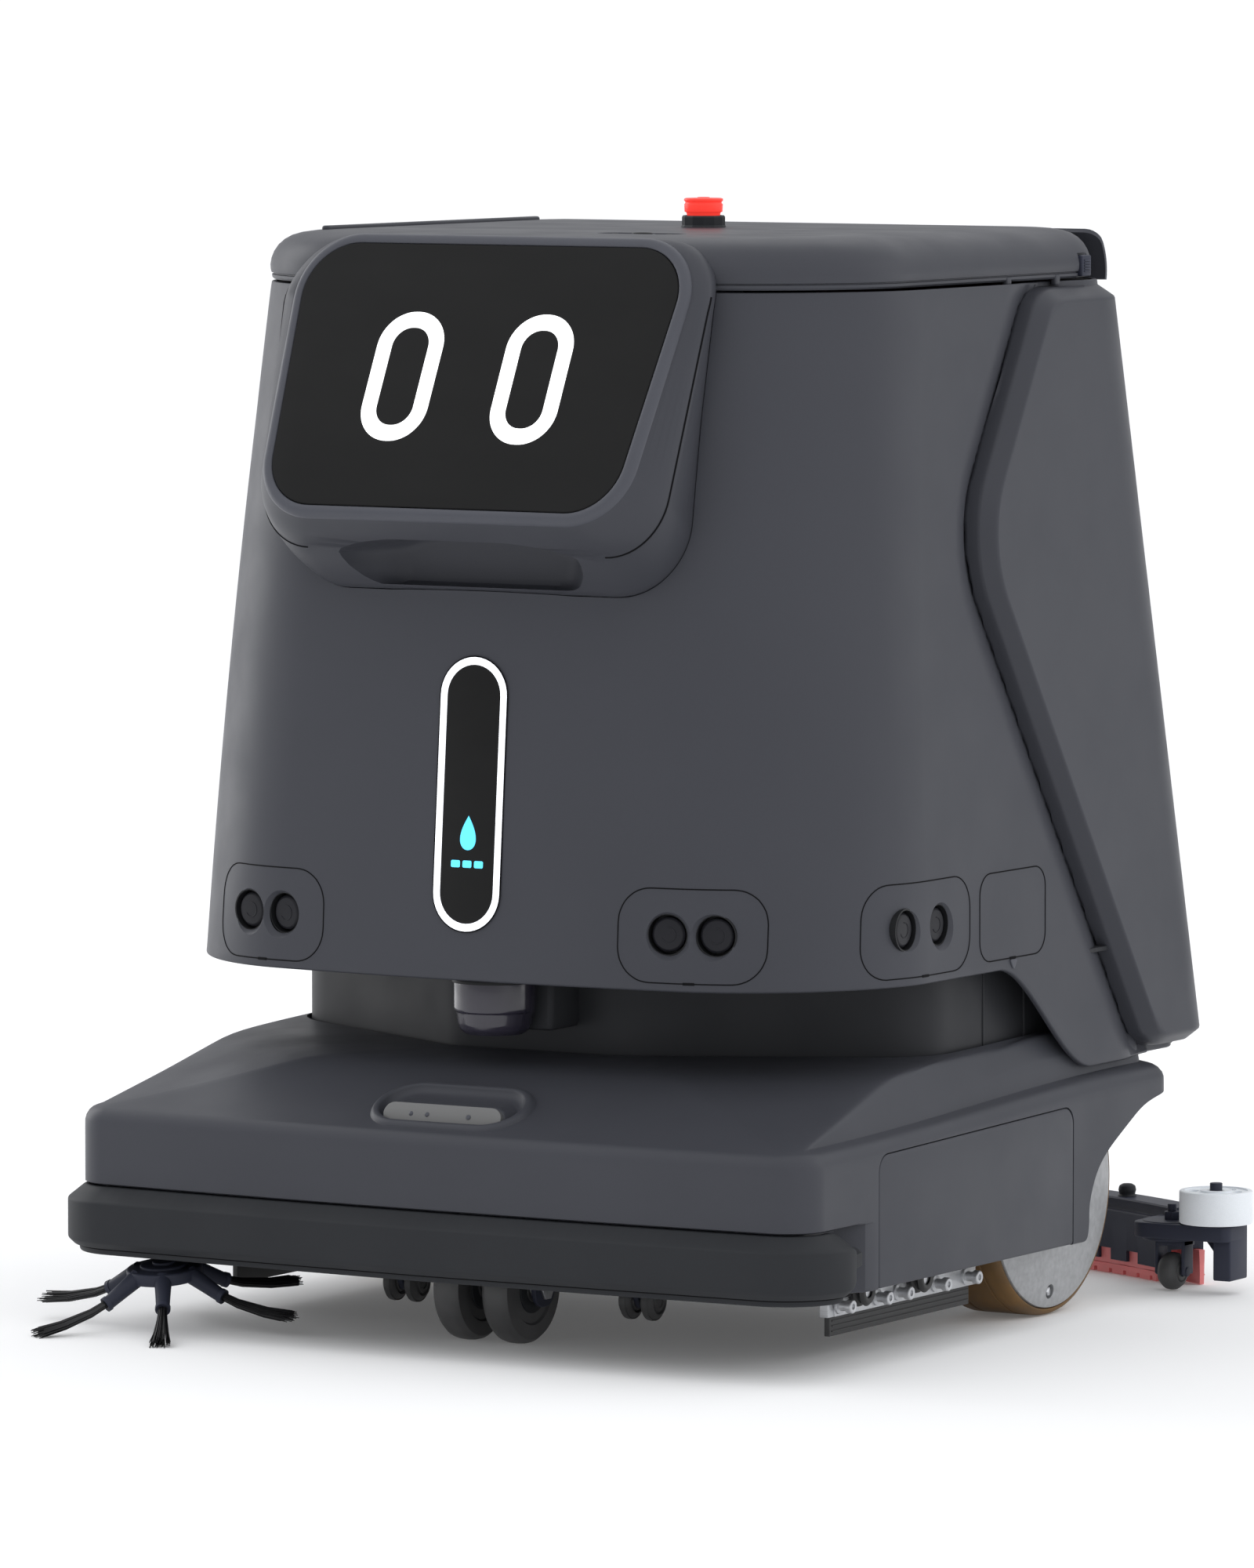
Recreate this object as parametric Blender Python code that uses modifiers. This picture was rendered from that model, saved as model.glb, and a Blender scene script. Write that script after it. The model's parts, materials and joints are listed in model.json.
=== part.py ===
"""Robotic floor cleaner, as an assembly of named pieces.

Metres, +Z up. The origin is on the floor under the centre of the footprint. The robot's front
faces -Y and its left side faces +X. Pieces that turn have their origin on their own axis.
"""
from math import acos, asin, atan2, cos, pi, radians, sin, sqrt

import bmesh
import bpy
from mathutils import Matrix, Vector

# Driving dimensions of the whole robot
GAP = 0.0003
WALL = 0.003
HEIGHT = 0.695
BUMPER_HALF_WIDTH = 0.276
FRONT_Y = -0.290

# Main body above the waist
BODY_BOTTOM_Z = 0.225
BODY_RIM_Z = 0.640
BODY_HALF_WIDTH_LOW = 0.251
BODY_HALF_WIDTH_RIM = 0.226
BODY_SIDE_SLOPE = (BODY_HALF_WIDTH_LOW - BODY_HALF_WIDTH_RIM) / (BODY_RIM_Z - BODY_BOTTOM_Z)
LEG_BOTTOM_Z = 0.156
LEG_START_Y = -0.010
LEG_END_Y = 0.102
BODY_SIDE_POINTS = 8

# Face plane that carries the screen, leaning back from the vertical
FACE_TILT = radians(26.1)
FACE_CENTRE = Vector((0.0, -0.2266, 0.5932))
GLASS_HALF_HEIGHT = 0.0873
GLASS_HALF_WIDTH_TOP = 0.1364
GLASS_HALF_WIDTH_LOW = 0.1219
FRAME_BORDER = 0.0075
FACE_BACK_Y = -0.150

# Lid and its hinge
LID_BOTTOM_Z = 0.6455
LID_TOP_Z = 0.678
LID_HALF_WIDTH = 0.222
LID_FRONT_Y = -0.187
LID_BACK_Y = 0.199
LID_HINGE = Vector((0.0, 0.178, 0.648))

# Base
BASE_HALF_WIDTH = 0.262
BASE_FRONT_Y = -0.279
BASE_CORNER = 0.035
BASE_RECESS = 0.0145
RECESS_END_Y = -0.197
BASE_BACK_Y = 0.200
BASE_BOTTOM_Z = 0.048
BUMPER_TOP_Z = 0.092
BUMPER_BOTTOM_Z = 0.0505
BUMPER_CORNER = 0.045
WAIST_FRONT_Y = -0.147
WAIST_HALF_WIDTH = 0.230
WAIST_BACK_Y = 0.180
WAIST_CORNER = 0.020
WAIST_DIAGONAL = [(0.056, WAIST_FRONT_Y), (0.212, -0.066), (0.228, -0.048), (0.230, 0.0)]
DOOR_FRONT_Y = -0.181
DOOR_BACK_Y = 0.065
DOOR_TOP_Z = 0.135

# Running gear
WHEEL_RADIUS = 0.080
WHEEL_Y = 0.085
WHEEL_INNER_X = 0.178
WHEEL_OUTER_X = 0.243
HUB_RADIUS = 0.0712
CASTER_Y = -0.205
CASTER_RADIUS = 0.034
CASTER_TRAIL = 0.012
GUIDE_X = 0.085
GUIDE_Y = -0.170

# Brush deck, drawn in its raised position
ROLLER_Y = -0.055
ROLLER_Z = 0.063
ROLLER_RADIUS = 0.048
SIDE_BAR_X = 0.224
SIDE_BAR_BACK_Y = 0.005
SIDE_BAR_LENGTH_LEFT = 0.176
SIDE_BAR_LENGTH_RIGHT = 0.154
SIDE_BRUSH_HUB = Vector((-0.206, -0.2500, 0.0365))
SIDE_BRUSH_TILT = radians(8.0)
SIDE_BRUSH_REACH = 0.0930

# Squeegee
ARC_RADIUS = 0.450
ARC_BACK_Y = 0.326
ARC_CENTRE_Y = ARC_BACK_Y - ARC_RADIUS
BEAM_HALF_WIDTH = 0.252
SWAY_PIN = Vector((0.0, 0.302, 0.066))
ARM_PIVOT = Vector((0.0, 0.150, 0.088))
BUMP_ROLLER = Vector((0.277, 0.228, 0.0605))
BUMP_ROLLER_RADIUS = 0.0235
SUPPORT_ROLLER = Vector((0.246, 0.2285, 0.012))

# Sensors, lights and buttons
LIGHT_CENTRE_Z = 0.3385
LIGHT_HALF_WIDTH = 0.0235
LIGHT_HALF_HEIGHT = 0.0835
LIGHT_RING = 0.0045
LIGHT_DEPTH = 0.003
FRONT_SONAR = ((0.1374, -0.2213), (0.1673, -0.2147))
SIDE_SONAR = (-0.121, -0.081)
SONAR_Z = 0.2592
SONAR_RADIUS = 0.0108
SONAR_HOLE = 0.0118
CAMERA_PLACE = Vector((0.0, -0.2595, 0.1465))
CAMERA_TILT = radians(62)
ESTOP_PLACE = Vector((0.0, 0.057, 0.0))
POWER_BUTTON = Vector((0.040, -0.086, LID_TOP_Z))
LATCH_PLACE = Vector((0.2165, 0.150, 0.6530))

FULL_TURN = 2 * pi
FINE = 40
MEDIUM = 28
COARSE = 16

COLOURS = {
    "shell": ((0.075, 0.077, 0.086), 0.45, 0.0),
    "shell_dark": ((0.022, 0.023, 0.025), 0.55, 0.0),
    "bumper": ((0.042, 0.045, 0.049), 0.60, 0.0),
    "glass": ((0.026, 0.026, 0.026), 0.08, 0.0),
    "light": ((0.90, 0.92, 0.95), 0.30, 0.0),
    "red": ((0.85, 0.06, 0.04), 0.35, 0.0),
    "lidar": ((0.10, 0.09, 0.13), 0.20, 0.0),
    "sensor": ((0.012, 0.012, 0.013), 0.40, 0.0),
    "window": ((0.19, 0.19, 0.19), 0.15, 0.0),
    "aluminium": ((0.62, 0.63, 0.65), 0.30, 1.0),
    "hub": ((0.38, 0.39, 0.41), 0.45, 0.6),
    "tyre": ((0.16, 0.065, 0.017), 0.70, 0.0),
    "rubber": ((0.058, 0.058, 0.058), 0.70, 0.0),
    "red_rubber": ((0.38, 0.065, 0.065), 0.60, 0.0),
    "blue_grey": ((0.038, 0.042, 0.060), 0.50, 0.0),
    "white": ((0.80, 0.84, 0.88), 0.35, 0.0),
    "bristle": ((0.010, 0.010, 0.011), 0.80, 0.0),
    "internal": ((0.10, 0.11, 0.12), 0.60, 0.0),
    "tank": ((0.45, 0.50, 0.52), 0.35, 0.0),
    "steel": ((0.45, 0.46, 0.47), 0.35, 1.0),
}


# ---------------------------------------------------------------- scene and objects

def clear_scene():
    for old in list(bpy.data.objects):
        bpy.data.objects.remove(old, do_unlink=True)


def new_collection(name):
    made = bpy.data.collections.new(name)
    bpy.context.scene.collection.children.link(made)
    return made


def finish_material(key):
    found = bpy.data.materials.get(key)
    if found:
        return found
    colour, roughness, metallic = COLOURS[key]
    made = bpy.data.materials.new(key)
    made.use_nodes = True
    shader = made.node_tree.nodes["Principled BSDF"]
    shader.inputs["Base Color"].default_value = (*colour, 1.0)
    shader.inputs["Roughness"].default_value = roughness
    shader.inputs["Metallic"].default_value = metallic
    return made


def add_part(name, mesh, key, location=(0, 0, 0), turn=None):
    """Link a mesh as a named part, with its origin at location."""
    made = bpy.data.objects.new(name, mesh)
    PARTS.objects.link(made)
    mesh.materials.clear()
    mesh.materials.append(finish_material(key))
    made.location = location
    if turn is not None:
        made.rotation_euler = turn.to_euler()
    return made


def add_cutter(name, mesh, location=(0, 0, 0), turn=None):
    made = bpy.data.objects.new(name, mesh)
    CUTTERS.objects.link(made)
    made.location = location
    if turn is not None:
        made.rotation_euler = turn.to_euler()
    made.hide_render = True
    made.display_type = "WIRE"
    return made


def combine(target, other, operation):
    step = target.modifiers.new(operation.lower() + "_" + other.name, "BOOLEAN")
    step.operation = operation
    step.object = other


def cut(target, cutter):
    combine(target, cutter, "DIFFERENCE")


def join(target, other):
    combine(target, other, "UNION")


def bevel(target, width, segments=2):
    step = target.modifiers.new("rounded_edges", "BEVEL")
    step.width = width
    step.segments = segments
    step.limit_method = "ANGLE"
    step.angle_limit = radians(35)


def solidify(target, thickness, offset=-1.0):
    step = target.modifiers.new("wall", "SOLIDIFY")
    step.thickness = thickness
    step.offset = offset
    step.use_even_offset = True


def shade(mesh, angle=35):
    mesh.shade_smooth()
    mesh.set_sharp_from_angle(angle=radians(angle))


# ---------------------------------------------------------------- mesh makers

def mesh_from(bm, name):
    mesh = bpy.data.meshes.new(name)
    bm.to_mesh(mesh)
    bm.free()
    return mesh


def box_mesh(name, size, centre=(0, 0, 0)):
    bm = bmesh.new()
    bmesh.ops.create_cube(bm, size=1.0)
    bmesh.ops.scale(bm, vec=size, verts=bm.verts)
    bmesh.ops.translate(bm, vec=centre, verts=bm.verts)
    return mesh_from(bm, name)


def rod_mesh(name, radius, length, segments=MEDIUM):
    """A cylinder along Z, centred on its origin."""
    bm = bmesh.new()
    bmesh.ops.create_cone(
        bm, cap_ends=True, segments=segments, radius1=radius, radius2=radius, depth=length)
    mesh = mesh_from(bm, name)
    shade(mesh)
    return mesh


def rework(mesh, joined, outward):
    """Join doubled corners and turn faces outward, as asked."""
    bm = bmesh.new()
    bm.from_mesh(mesh)
    if joined:
        bmesh.ops.remove_doubles(bm, verts=bm.verts, dist=0.00001)
    if outward:
        bmesh.ops.recalc_face_normals(bm, faces=bm.faces)
    bm.to_mesh(mesh)
    bm.free()


def weld(mesh):
    rework(mesh, True, False)


def face_outward(mesh):
    rework(mesh, False, True)


def move_origin(mesh, origin):
    mesh.transform(Matrix.Translation(-Vector(origin)))


def turned_part(name, profile, key, location, turn=None, segments=MEDIUM, closed=False):
    """Sweep an outline of (radius, height) points, listed down the outer side, about Z."""
    bm = bmesh.new()
    points = [bm.verts.new((radius, 0.0, height)) for radius, height in profile]
    for first, second in zip(points, points[1:]):
        bm.edges.new((first, second))
    if closed:
        bm.edges.new((points[-1], points[0]))
    made = add_part(name, mesh_from(bm, name), key, location, turn)
    add_screw(made, segments)
    return made


def add_screw(target, segments):
    step = target.modifiers.new("turned", "SCREW")
    step.axis = "Z"
    step.steps = segments
    step.render_steps = segments
    step.use_merge_vertices = True
    step.merge_threshold = 0.00001
    step.use_smooth_shade = True


def along_x(spin=0.0):
    """Turn that lays a part's own Z axis along +X, after a spin about that axis."""
    return Matrix.Rotation(pi / 2, 3, "Y") @ Matrix.Rotation(spin, 3, "Z")


def side_on():
    """Turn that stands a flat outline up, so its x runs along +Y and its y along +Z."""
    return Matrix(((0, 0, 1), (1, 0, 0), (0, 1, 0)))


def loft_mesh(name, rings, cap_low=True, cap_high=True):
    """Join rings of equal count, listed bottom to top, each counter-clockwise from above."""
    bm = bmesh.new()
    levels = [[bm.verts.new(point) for point in ring] for ring in rings]
    count = len(rings[0])
    for low, high in zip(levels, levels[1:]):
        for i in range(count):
            j = (i + 1) % count
            bm.faces.new((low[i], low[j], high[j], high[i]))
    if cap_low:
        bm.faces.new(list(reversed(levels[0])))
    if cap_high:
        bm.faces.new(levels[-1])
    caps = [face for face in bm.faces if len(face.verts) > 4]
    bmesh.ops.triangulate(bm, faces=caps)
    mesh = mesh_from(bm, name)
    shade(mesh)
    return mesh


def plate_mesh(name, outline, low, high):
    """A flat outline of (x, y) points, filled and given thickness from low to high."""
    data = bpy.data.curves.new(name, "CURVE")
    data.dimensions = "2D"
    data.fill_mode = "BOTH"
    data.extrude = (high - low) / 2
    line = data.splines.new("POLY")
    line.points.add(len(outline) - 1)
    for point, (x, y) in zip(line.points, outline):
        point.co = (x, y, 0.0, 1.0)
    line.use_cyclic_u = True
    holder = bpy.data.objects.new(name + "_outline", data)
    CUTTERS.objects.link(holder)
    holder.location.z = (low + high) / 2
    bpy.context.view_layer.update()
    evaluated = holder.evaluated_get(bpy.context.evaluated_depsgraph_get())
    mesh = bpy.data.meshes.new_from_object(evaluated)
    mesh.transform(holder.matrix_world)
    bpy.data.objects.remove(holder, do_unlink=True)
    rework(mesh, True, True)
    mesh.name = name
    return mesh


def wire_part(name, points, radius, key):
    """A round bar or hose along a line of points, as one closed mesh."""
    data = bpy.data.curves.new(name, "CURVE")
    data.dimensions = "3D"
    data.bevel_depth = radius
    data.bevel_resolution = 2
    data.use_fill_caps = True
    line = data.splines.new("POLY")
    line.points.add(len(points) - 1)
    for point, place in zip(line.points, points):
        point.co = (*place, 1.0)
    holder = bpy.data.objects.new(name + "_line", data)
    CUTTERS.objects.link(holder)
    bpy.context.view_layer.update()
    evaluated = holder.evaluated_get(bpy.context.evaluated_depsgraph_get())
    mesh = bpy.data.meshes.new_from_object(evaluated)
    mesh.transform(holder.matrix_world)
    bpy.data.objects.remove(holder, do_unlink=True)
    rework(mesh, True, True)
    shade(mesh)
    return add_part(name, mesh, key)


# ---------------------------------------------------------------- outlines

def arc(cx, cy, radius, start, end, steps):
    """Points on an arc from start to end, in degrees."""
    points = []
    for i in range(steps + 1):
        angle = radians(start + (end - start) * i / steps)
        points.append((cx + radius * cos(angle), cy + radius * sin(angle)))
    return points


def plan_outline(half_width, front, back, front_radius, back_radius, steps=6, sides=1, spots=None):
    """A rounded rectangle seen from above, from the front centre, counter-clockwise."""
    side_front = front + front_radius
    side_back = back - back_radius
    if spots is None:
        span = (side_back - side_front) / (sides + 1)
        spots = [side_front + span * (k + 1) for k in range(sides)]
    right = half_width - front_radius
    rear = half_width - back_radius
    points = [(0.0, front)]
    points += arc(right, side_front, front_radius, -90, 0, steps)
    points += [(half_width, y) for y in spots]
    points += arc(rear, side_back, back_radius, 0, 90, steps)
    points.append((0.0, back))
    points += arc(-rear, side_back, back_radius, 90, 180, steps)
    points += [(-half_width, y) for y in reversed(spots)]
    points += arc(-right, side_front, front_radius, 180, 270, steps)
    return points


def bowed(outline, radius):
    """Bend the front of an outline into a wide arc, fading out towards the middle."""
    bent = []
    for x, y in outline:
        fade = min(1.0, max(0.0, -y / 0.15))
        bent.append((x, y + fade * x * x / (2 * radius)))
    return bent


def ring_at(outline, z):
    return [Vector((x, y, z)) for x, y in outline]


def capsule(half_width, half_height, steps=8):
    """A vertical capsule outline about the origin, counter-clockwise."""
    straight = half_height - half_width
    points = arc(0, straight, half_width, 0, 180, steps)
    points += arc(0, -straight, half_width, 180, 360, steps)
    return points


def rounded_polygon(corners, radii, steps=4):
    """Round each corner of a counter-clockwise convex polygon with its own radius."""
    points = []
    count = len(corners)
    for i in range(count):
        here = Vector(corners[i])
        before = (Vector(corners[i - 1]) - here).normalized()
        after = (Vector(corners[(i + 1) % count]) - here).normalized()
        half = acos(max(-1.0, min(1.0, before.dot(after)))) / 2
        middle = (before + after).normalized()
        centre = here + middle * (radii[i] / sin(half))
        sweep = pi - 2 * half
        facing = atan2(-middle.y, -middle.x)
        for k in range(steps + 1):
            angle = facing + sweep * (k / steps - 0.5)
            points.append((centre.x + radii[i] * cos(angle), centre.y + radii[i] * sin(angle)))
    return points


# ---------------------------------------------------------------- body shell and pods

def body_front(z):
    t = (z - 0.261) / 0.381
    return -0.2285 + 0.0215 * t + 0.020 * t * t


def body_back(z):
    return 0.2506 - 0.0436 * (z - 0.159) / 0.478


def body_half_width(z):
    return BODY_HALF_WIDTH_LOW - (z - BODY_BOTTOM_Z) * BODY_SIDE_SLOPE


def body_back_radius(z):
    return 0.030 + 0.032 * (z - 0.159) / 0.478


def body_outline(z, inset=0.0):
    half = body_half_width(z) - inset
    front = body_front(z) + inset
    back = body_back(z) - inset
    corner = body_back_radius(z) - inset
    outline = plan_outline(half, front, back, 0.110 - inset, corner, 6, BODY_SIDE_POINTS)
    return bowed(outline, 1.3)


def leg_edge(y):
    """Height of the body's lower edge: level in front, dropping over the legs at the rear."""
    t = (y - LEG_START_Y) / (LEG_END_Y - LEG_START_Y)
    t = min(1.0, max(0.0, t))
    drop = t * t * (3 - 2 * t)
    return BODY_BOTTOM_Z - (BODY_BOTTOM_Z - LEG_BOTTOM_Z) * drop


def face_outline(border, steps=6):
    """The screen's rounded trapezoid in its own plane, grown by border."""
    low = GLASS_HALF_WIDTH_LOW + border
    high = GLASS_HALF_WIDTH_TOP + border
    top = GLASS_HALF_HEIGHT + border
    corners = [(low, -top), (high, top), (-high, top), (-low, -top)]
    radius = 0.034 + border
    return rounded_polygon(corners, [radius] * 4, steps)


def on_face(points, depth):
    """Lift flat points onto the face plane; depth is measured behind the screen."""
    up = Vector((0.0, sin(FACE_TILT), cos(FACE_TILT)))
    back = Vector((0.0, cos(FACE_TILT), -sin(FACE_TILT)))
    return [FACE_CENTRE + Vector((x, 0, 0)) + up * y + back * depth for x, y in points]


def housing_back(border):
    """Outline of the screen housing where it meets the lid, in the vertical plane."""
    corners = [(0.126, 0.474), (0.156, 0.672), (-0.156, 0.672), (-0.126, 0.474)]
    grown = []
    for x, z in corners:
        grown.append((x + (border if x > 0 else -border), z + (border if z > 0.6 else -border)))
    points = rounded_polygon(grown, [0.030, 0.012, 0.012, 0.030], 6)
    return points


def housing_mesh(name, border):
    """Loft from the housing's back outline to its front outline behind the screen frame."""
    back = [Vector((x, FACE_BACK_Y, z)) for x, z in housing_back(border)]
    front = on_face(face_outline(FRAME_BORDER + border), 0.0045 - border)
    return loft_mesh(name, [back, front])


def housing_cutter():
    """Clearance for the screen housing in the front wall, 1.5 mm larger all round."""
    return add_cutter("housing_cutter", housing_mesh("housing_cutter", 0.0015))


def lid_notch():
    """Straight-sided opening in the lid's front edge for the screen housing."""
    size = (2 * 0.1565, 0.150, 0.080)
    place = (0.0, FACE_BACK_Y + GAP - size[1] / 2, LID_TOP_Z)
    return add_cutter("lid_notch", box_mesh("lid_notch", size), place)


def body_shell():
    levels = (0.30, 0.38, 0.47, 0.56, BODY_RIM_Z)
    low = body_outline(BODY_BOTTOM_Z)
    rings = [[Vector((x, y, leg_edge(y))) for x, y in low]]
    for point in rings[0]:
        grow = body_half_width(point.z) / BODY_HALF_WIDTH_LOW
        point.x *= grow
        if point.y > 0.1:
            point.y += body_back(point.z) - body_back(BODY_BOTTOM_Z)
    rings += [ring_at(body_outline(z), z) for z in levels]
    shell = add_part("body_shell", loft_mesh("body_shell", rings, False, False), "shell")
    solidify(shell, WALL)
    floor = plan_outline(0.2495, body_front(0.23) + 0.0015, 0.235, 0.108, 0.03)
    floor = plate_mesh("body_floor", bowed(floor, 1.3), 0.2255, 0.2285)
    join(shell, add_cutter("body_floor", floor))
    cut(shell, housing_cutter())
    cut(shell, light_cutter())
    for side in (-1, 1):
        for cutter in front_sonar_holes(side) + side_sonar_holes(side):
            cut(shell, cutter)
    return shell


def pod_front(z):
    """Where the raised side pod starts, seen from the side."""
    if z > 0.49:
        return -0.026 + (z - 0.49) * 0.70
    return -0.026 + (0.49 - z) * 0.60


def pod_ring(z, side):
    """Closed section of a pod: out along the body wall, round the corner and back."""
    half = body_half_width(z)
    back = body_back(z)
    corner = body_back_radius(z)
    start = pod_front(z)
    stop = 0.150
    span = back - corner
    outer = []
    inner = []
    thick = 0.010
    for depth, store, taper in ((thick, outer, 0.008), (GAP * 1.5, inner, 0.0)):
        store.append((half + depth, start + taper))
        store.append((half + depth, (start + span) / 2))
        radius = corner + depth
        store += arc(half - corner, back - corner, radius, 0, 90, 6)
        store.append((stop + taper, back + depth))
    section = outer + list(reversed(inner))
    ring = [Vector((side * x, y, z)) for x, y in section]
    if side < 0:
        ring.reverse()
    return ring


def pod(name, side):
    levels = (0.160, 0.172, 0.24, 0.32, 0.41, 0.49, 0.56, 0.615, 0.634)
    rings = [pod_ring(z, side) for z in levels]
    return add_part(name, loft_mesh(name, rings), "shell")


# ---------------------------------------------------------------- base

def shoulder(y):
    """Height of the base's rounded shoulder, rising from front to back."""
    t = min(1.0, max(0.0, (y + 0.25) / 0.42))
    return 0.134 + 0.013 * t * t * (3 - 2 * t)


def rear_share(y):
    """Nought at the front of the base and one beside the drive wheels."""
    t = min(1.0, max(0.0, (y + 0.12) / 0.14))
    return t * t * (3 - 2 * t)


def base_outline(inset):
    outline = plan_outline(
        BASE_HALF_WIDTH - inset, BASE_FRONT_Y + inset, BASE_BACK_Y - inset,
        BASE_CORNER - inset, 0.020, 6, spots=[RECESS_END_Y, 0.0])
    return bowed(outline, 4.0)


def spaced_along(line, count):
    """Evenly spaced points along a bent line, both ends included."""
    lengths = [0.0]
    for first, second in zip(line, line[1:]):
        step = sqrt((second[0] - first[0]) ** 2 + (second[1] - first[1]) ** 2)
        lengths.append(lengths[-1] + step)
    points = []
    leg = 0
    for k in range(count):
        target = lengths[-1] * k / (count - 1)
        while leg < len(line) - 2 and target > lengths[leg + 1]:
            leg += 1
        share = (target - lengths[leg]) / (lengths[leg + 1] - lengths[leg])
        x = line[leg][0] + share * (line[leg + 1][0] - line[leg][0])
        y = line[leg][1] + share * (line[leg + 1][1] - line[leg][1])
        points.append((x, y))
    return points


def waist_outline(grow):
    """Waist plan: a short front face, long diagonal walls, then straight sides."""
    diagonal = spaced_along(WAIST_DIAGONAL, 7)
    diagonal = [(x + 0.55 * grow, y - 0.85 * grow) for x, y in diagonal]
    half = WAIST_HALF_WIDTH + grow
    back = WAIST_BACK_Y + grow
    centre = half - WAIST_CORNER
    points = [(0.0, WAIST_FRONT_Y - grow)]
    points += diagonal
    points += [(half, WAIST_BACK_Y / 4), (half, WAIST_BACK_Y / 2)]
    points += arc(centre, back - WAIST_CORNER, WAIST_CORNER, 0, 90, 6)
    points.append((0.0, back))
    points += arc(-centre, back - WAIST_CORNER, WAIST_CORNER, 90, 180, 6)
    points += [(-half, WAIST_BACK_Y / 2), (-half, WAIST_BACK_Y / 4)]
    points += [(-x, y) for x, y in reversed(diagonal)]
    return points


def base_cover():
    lower = base_outline(BASE_RECESS)
    full = base_outline(0.0)
    rings = [
        ring_at(lower, BASE_BOTTOM_Z),
        ring_at(lower, 0.0925),
        ring_at(full, 0.0960),
        [Vector((x, y, shoulder(y) - 0.007)) for x, y in full],
        [Vector((x, y, shoulder(y) - 0.001)) for x, y in base_outline(0.003)],
        [Vector((x, y, shoulder(y) + 0.004)) for x, y in base_outline(0.0125)],
        [Vector((x, y, shoulder(y) + 0.006 + 0.010 * rear_share(y)))
         for x, y in base_outline(0.0145)],
        [Vector((x, y, 0.175 + 0.004 * min(1.0, max(0.0, y / 0.15 + 0.5))))
         for x, y in waist_outline(0.0055)],
    ]
    for index in (0, 1):
        for point, (x, y) in zip(rings[index], full):
            if y >= RECESS_END_Y:
                point.x = x
                point.y = y
    shell = add_part("base_cover", loft_mesh("base_cover", rings, False, False), "shell")
    solidify(shell, WALL)
    cut(shell, arch_cutter())
    for side in (-1, 1):
        cut(shell, door_cutter(side))
    cut(shell, camera_cutter())
    return shell


def arch_cutter():
    """Opening over the drive wheels and under the rear of the base, as a side profile."""
    profile = [(0.0855, 0.0), (0.42, 0.0), (0.42, 0.140), (0.191, 0.133)]
    profile += [(0.158, 0.127), (0.131, 0.112), (0.108, 0.100), (0.094, 0.088), (0.0855, 0.070)]
    mesh = plate_mesh("arch_cutter", profile, -0.40, 0.40)
    return add_cutter("arch_cutter", mesh, turn=side_on())


def door_outline(gap):
    low = BASE_BOTTOM_Z - 0.010 if gap < 0 else BASE_BOTTOM_Z + 0.0005
    corners = [
        (DOOR_FRONT_Y + gap, low), (DOOR_BACK_Y - gap, low),
        (DOOR_BACK_Y - gap, DOOR_TOP_Z - gap), (DOOR_FRONT_Y + gap, DOOR_TOP_Z - gap - 0.006)]
    return rounded_polygon(corners, [0.002, 0.002, 0.010, 0.010], 3)


def door_cutter(side):
    depth = 0.025
    reach = BASE_HALF_WIDTH + 0.003
    mesh = plate_mesh("door_cutter", door_outline(-GAP), side * reach - depth, side * reach + depth)
    return add_cutter("door_cutter_%d" % (side + 1), mesh, turn=side_on())


def side_door(name, side):
    mesh = plate_mesh(name, door_outline(GAP), BASE_HALF_WIDTH - WALL, BASE_HALF_WIDTH)
    if side < 0:
        mesh.transform(Matrix.Translation((0, 0, WALL - 2 * BASE_HALF_WIDTH)))
    mesh.transform(side_on().to_4x4())
    hinge = Vector((side * BASE_HALF_WIDTH, 0.0, DOOR_TOP_Z))
    mesh.transform(Matrix.Translation(-hinge))
    return add_part(name, mesh, "shell", hinge)


def camera_place():
    """The depth camera's window lies on the sloping top of the base, facing forward."""
    return CAMERA_PLACE, Matrix.Rotation(CAMERA_TILT, 3, "X")


def camera_outline(grow):
    return [(y, x) for x, y in reversed(capsule(0.0105 + grow, 0.040 + grow, 6))]


def camera_cutter():
    place, turn = camera_place()
    mesh = plate_mesh("camera_cutter", camera_outline(0.001), -0.020, 0.030)
    return add_cutter("camera_cutter", mesh, place, turn)


def camera_window():
    place, turn = camera_place()
    mesh = plate_mesh("camera_window", camera_outline(0.0), -0.008, -0.002)
    return add_part("camera_window", mesh, "window", place, turn)


def waist_cover():
    levels = (0.166, 0.2250)
    rings = [ring_at(waist_outline(0.0), z) for z in levels]
    shell = add_part("waist_cover", loft_mesh("waist_cover", rings, False, False), "shell_dark")
    solidify(shell, WALL)
    return shell


def bumper_path(inset):
    """Half of the bumper's plan from the front centre to its end on the flank."""
    half = BUMPER_HALF_WIDTH - inset
    front = FRONT_Y + inset
    corner = BUMPER_CORNER - inset
    points = [(0.0, front), (0.12, front + 0.0025)]
    points += arc(half - corner, front + corner + 0.006, corner, -84, 0, 7)
    points.append((half - 0.002, -0.219 - inset * 0.2))
    return points


def bumper():
    tip = (BASE_HALF_WIDTH + 0.0045, -0.199)
    rings = []
    levels = (
        (BUMPER_BOTTOM_Z, 0.003), (BUMPER_BOTTOM_Z + 0.0035, 0.0),
        (BUMPER_TOP_Z - 0.008, 0.0), (BUMPER_TOP_Z, 0.0055))
    for z, inset in levels:
        outer = bumper_path(inset) + [tip]
        inner = list(reversed(bumper_path(0.0115)))
        outer_mirrored = [(-x, y) for x, y in reversed(outer[1:])]
        inner_mirrored = [(-x, y) for x, y in reversed(inner[:-1])]
        rings.append(ring_at(outer_mirrored + outer + inner + inner_mirrored, z))
    return add_part("bumper", loft_mesh("bumper", rings), "bumper")


# ---------------------------------------------------------------- front sensors and lights

def wall_tilt():
    return atan2(body_front(0.42) - body_front(0.255), 0.42 - 0.255)


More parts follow.
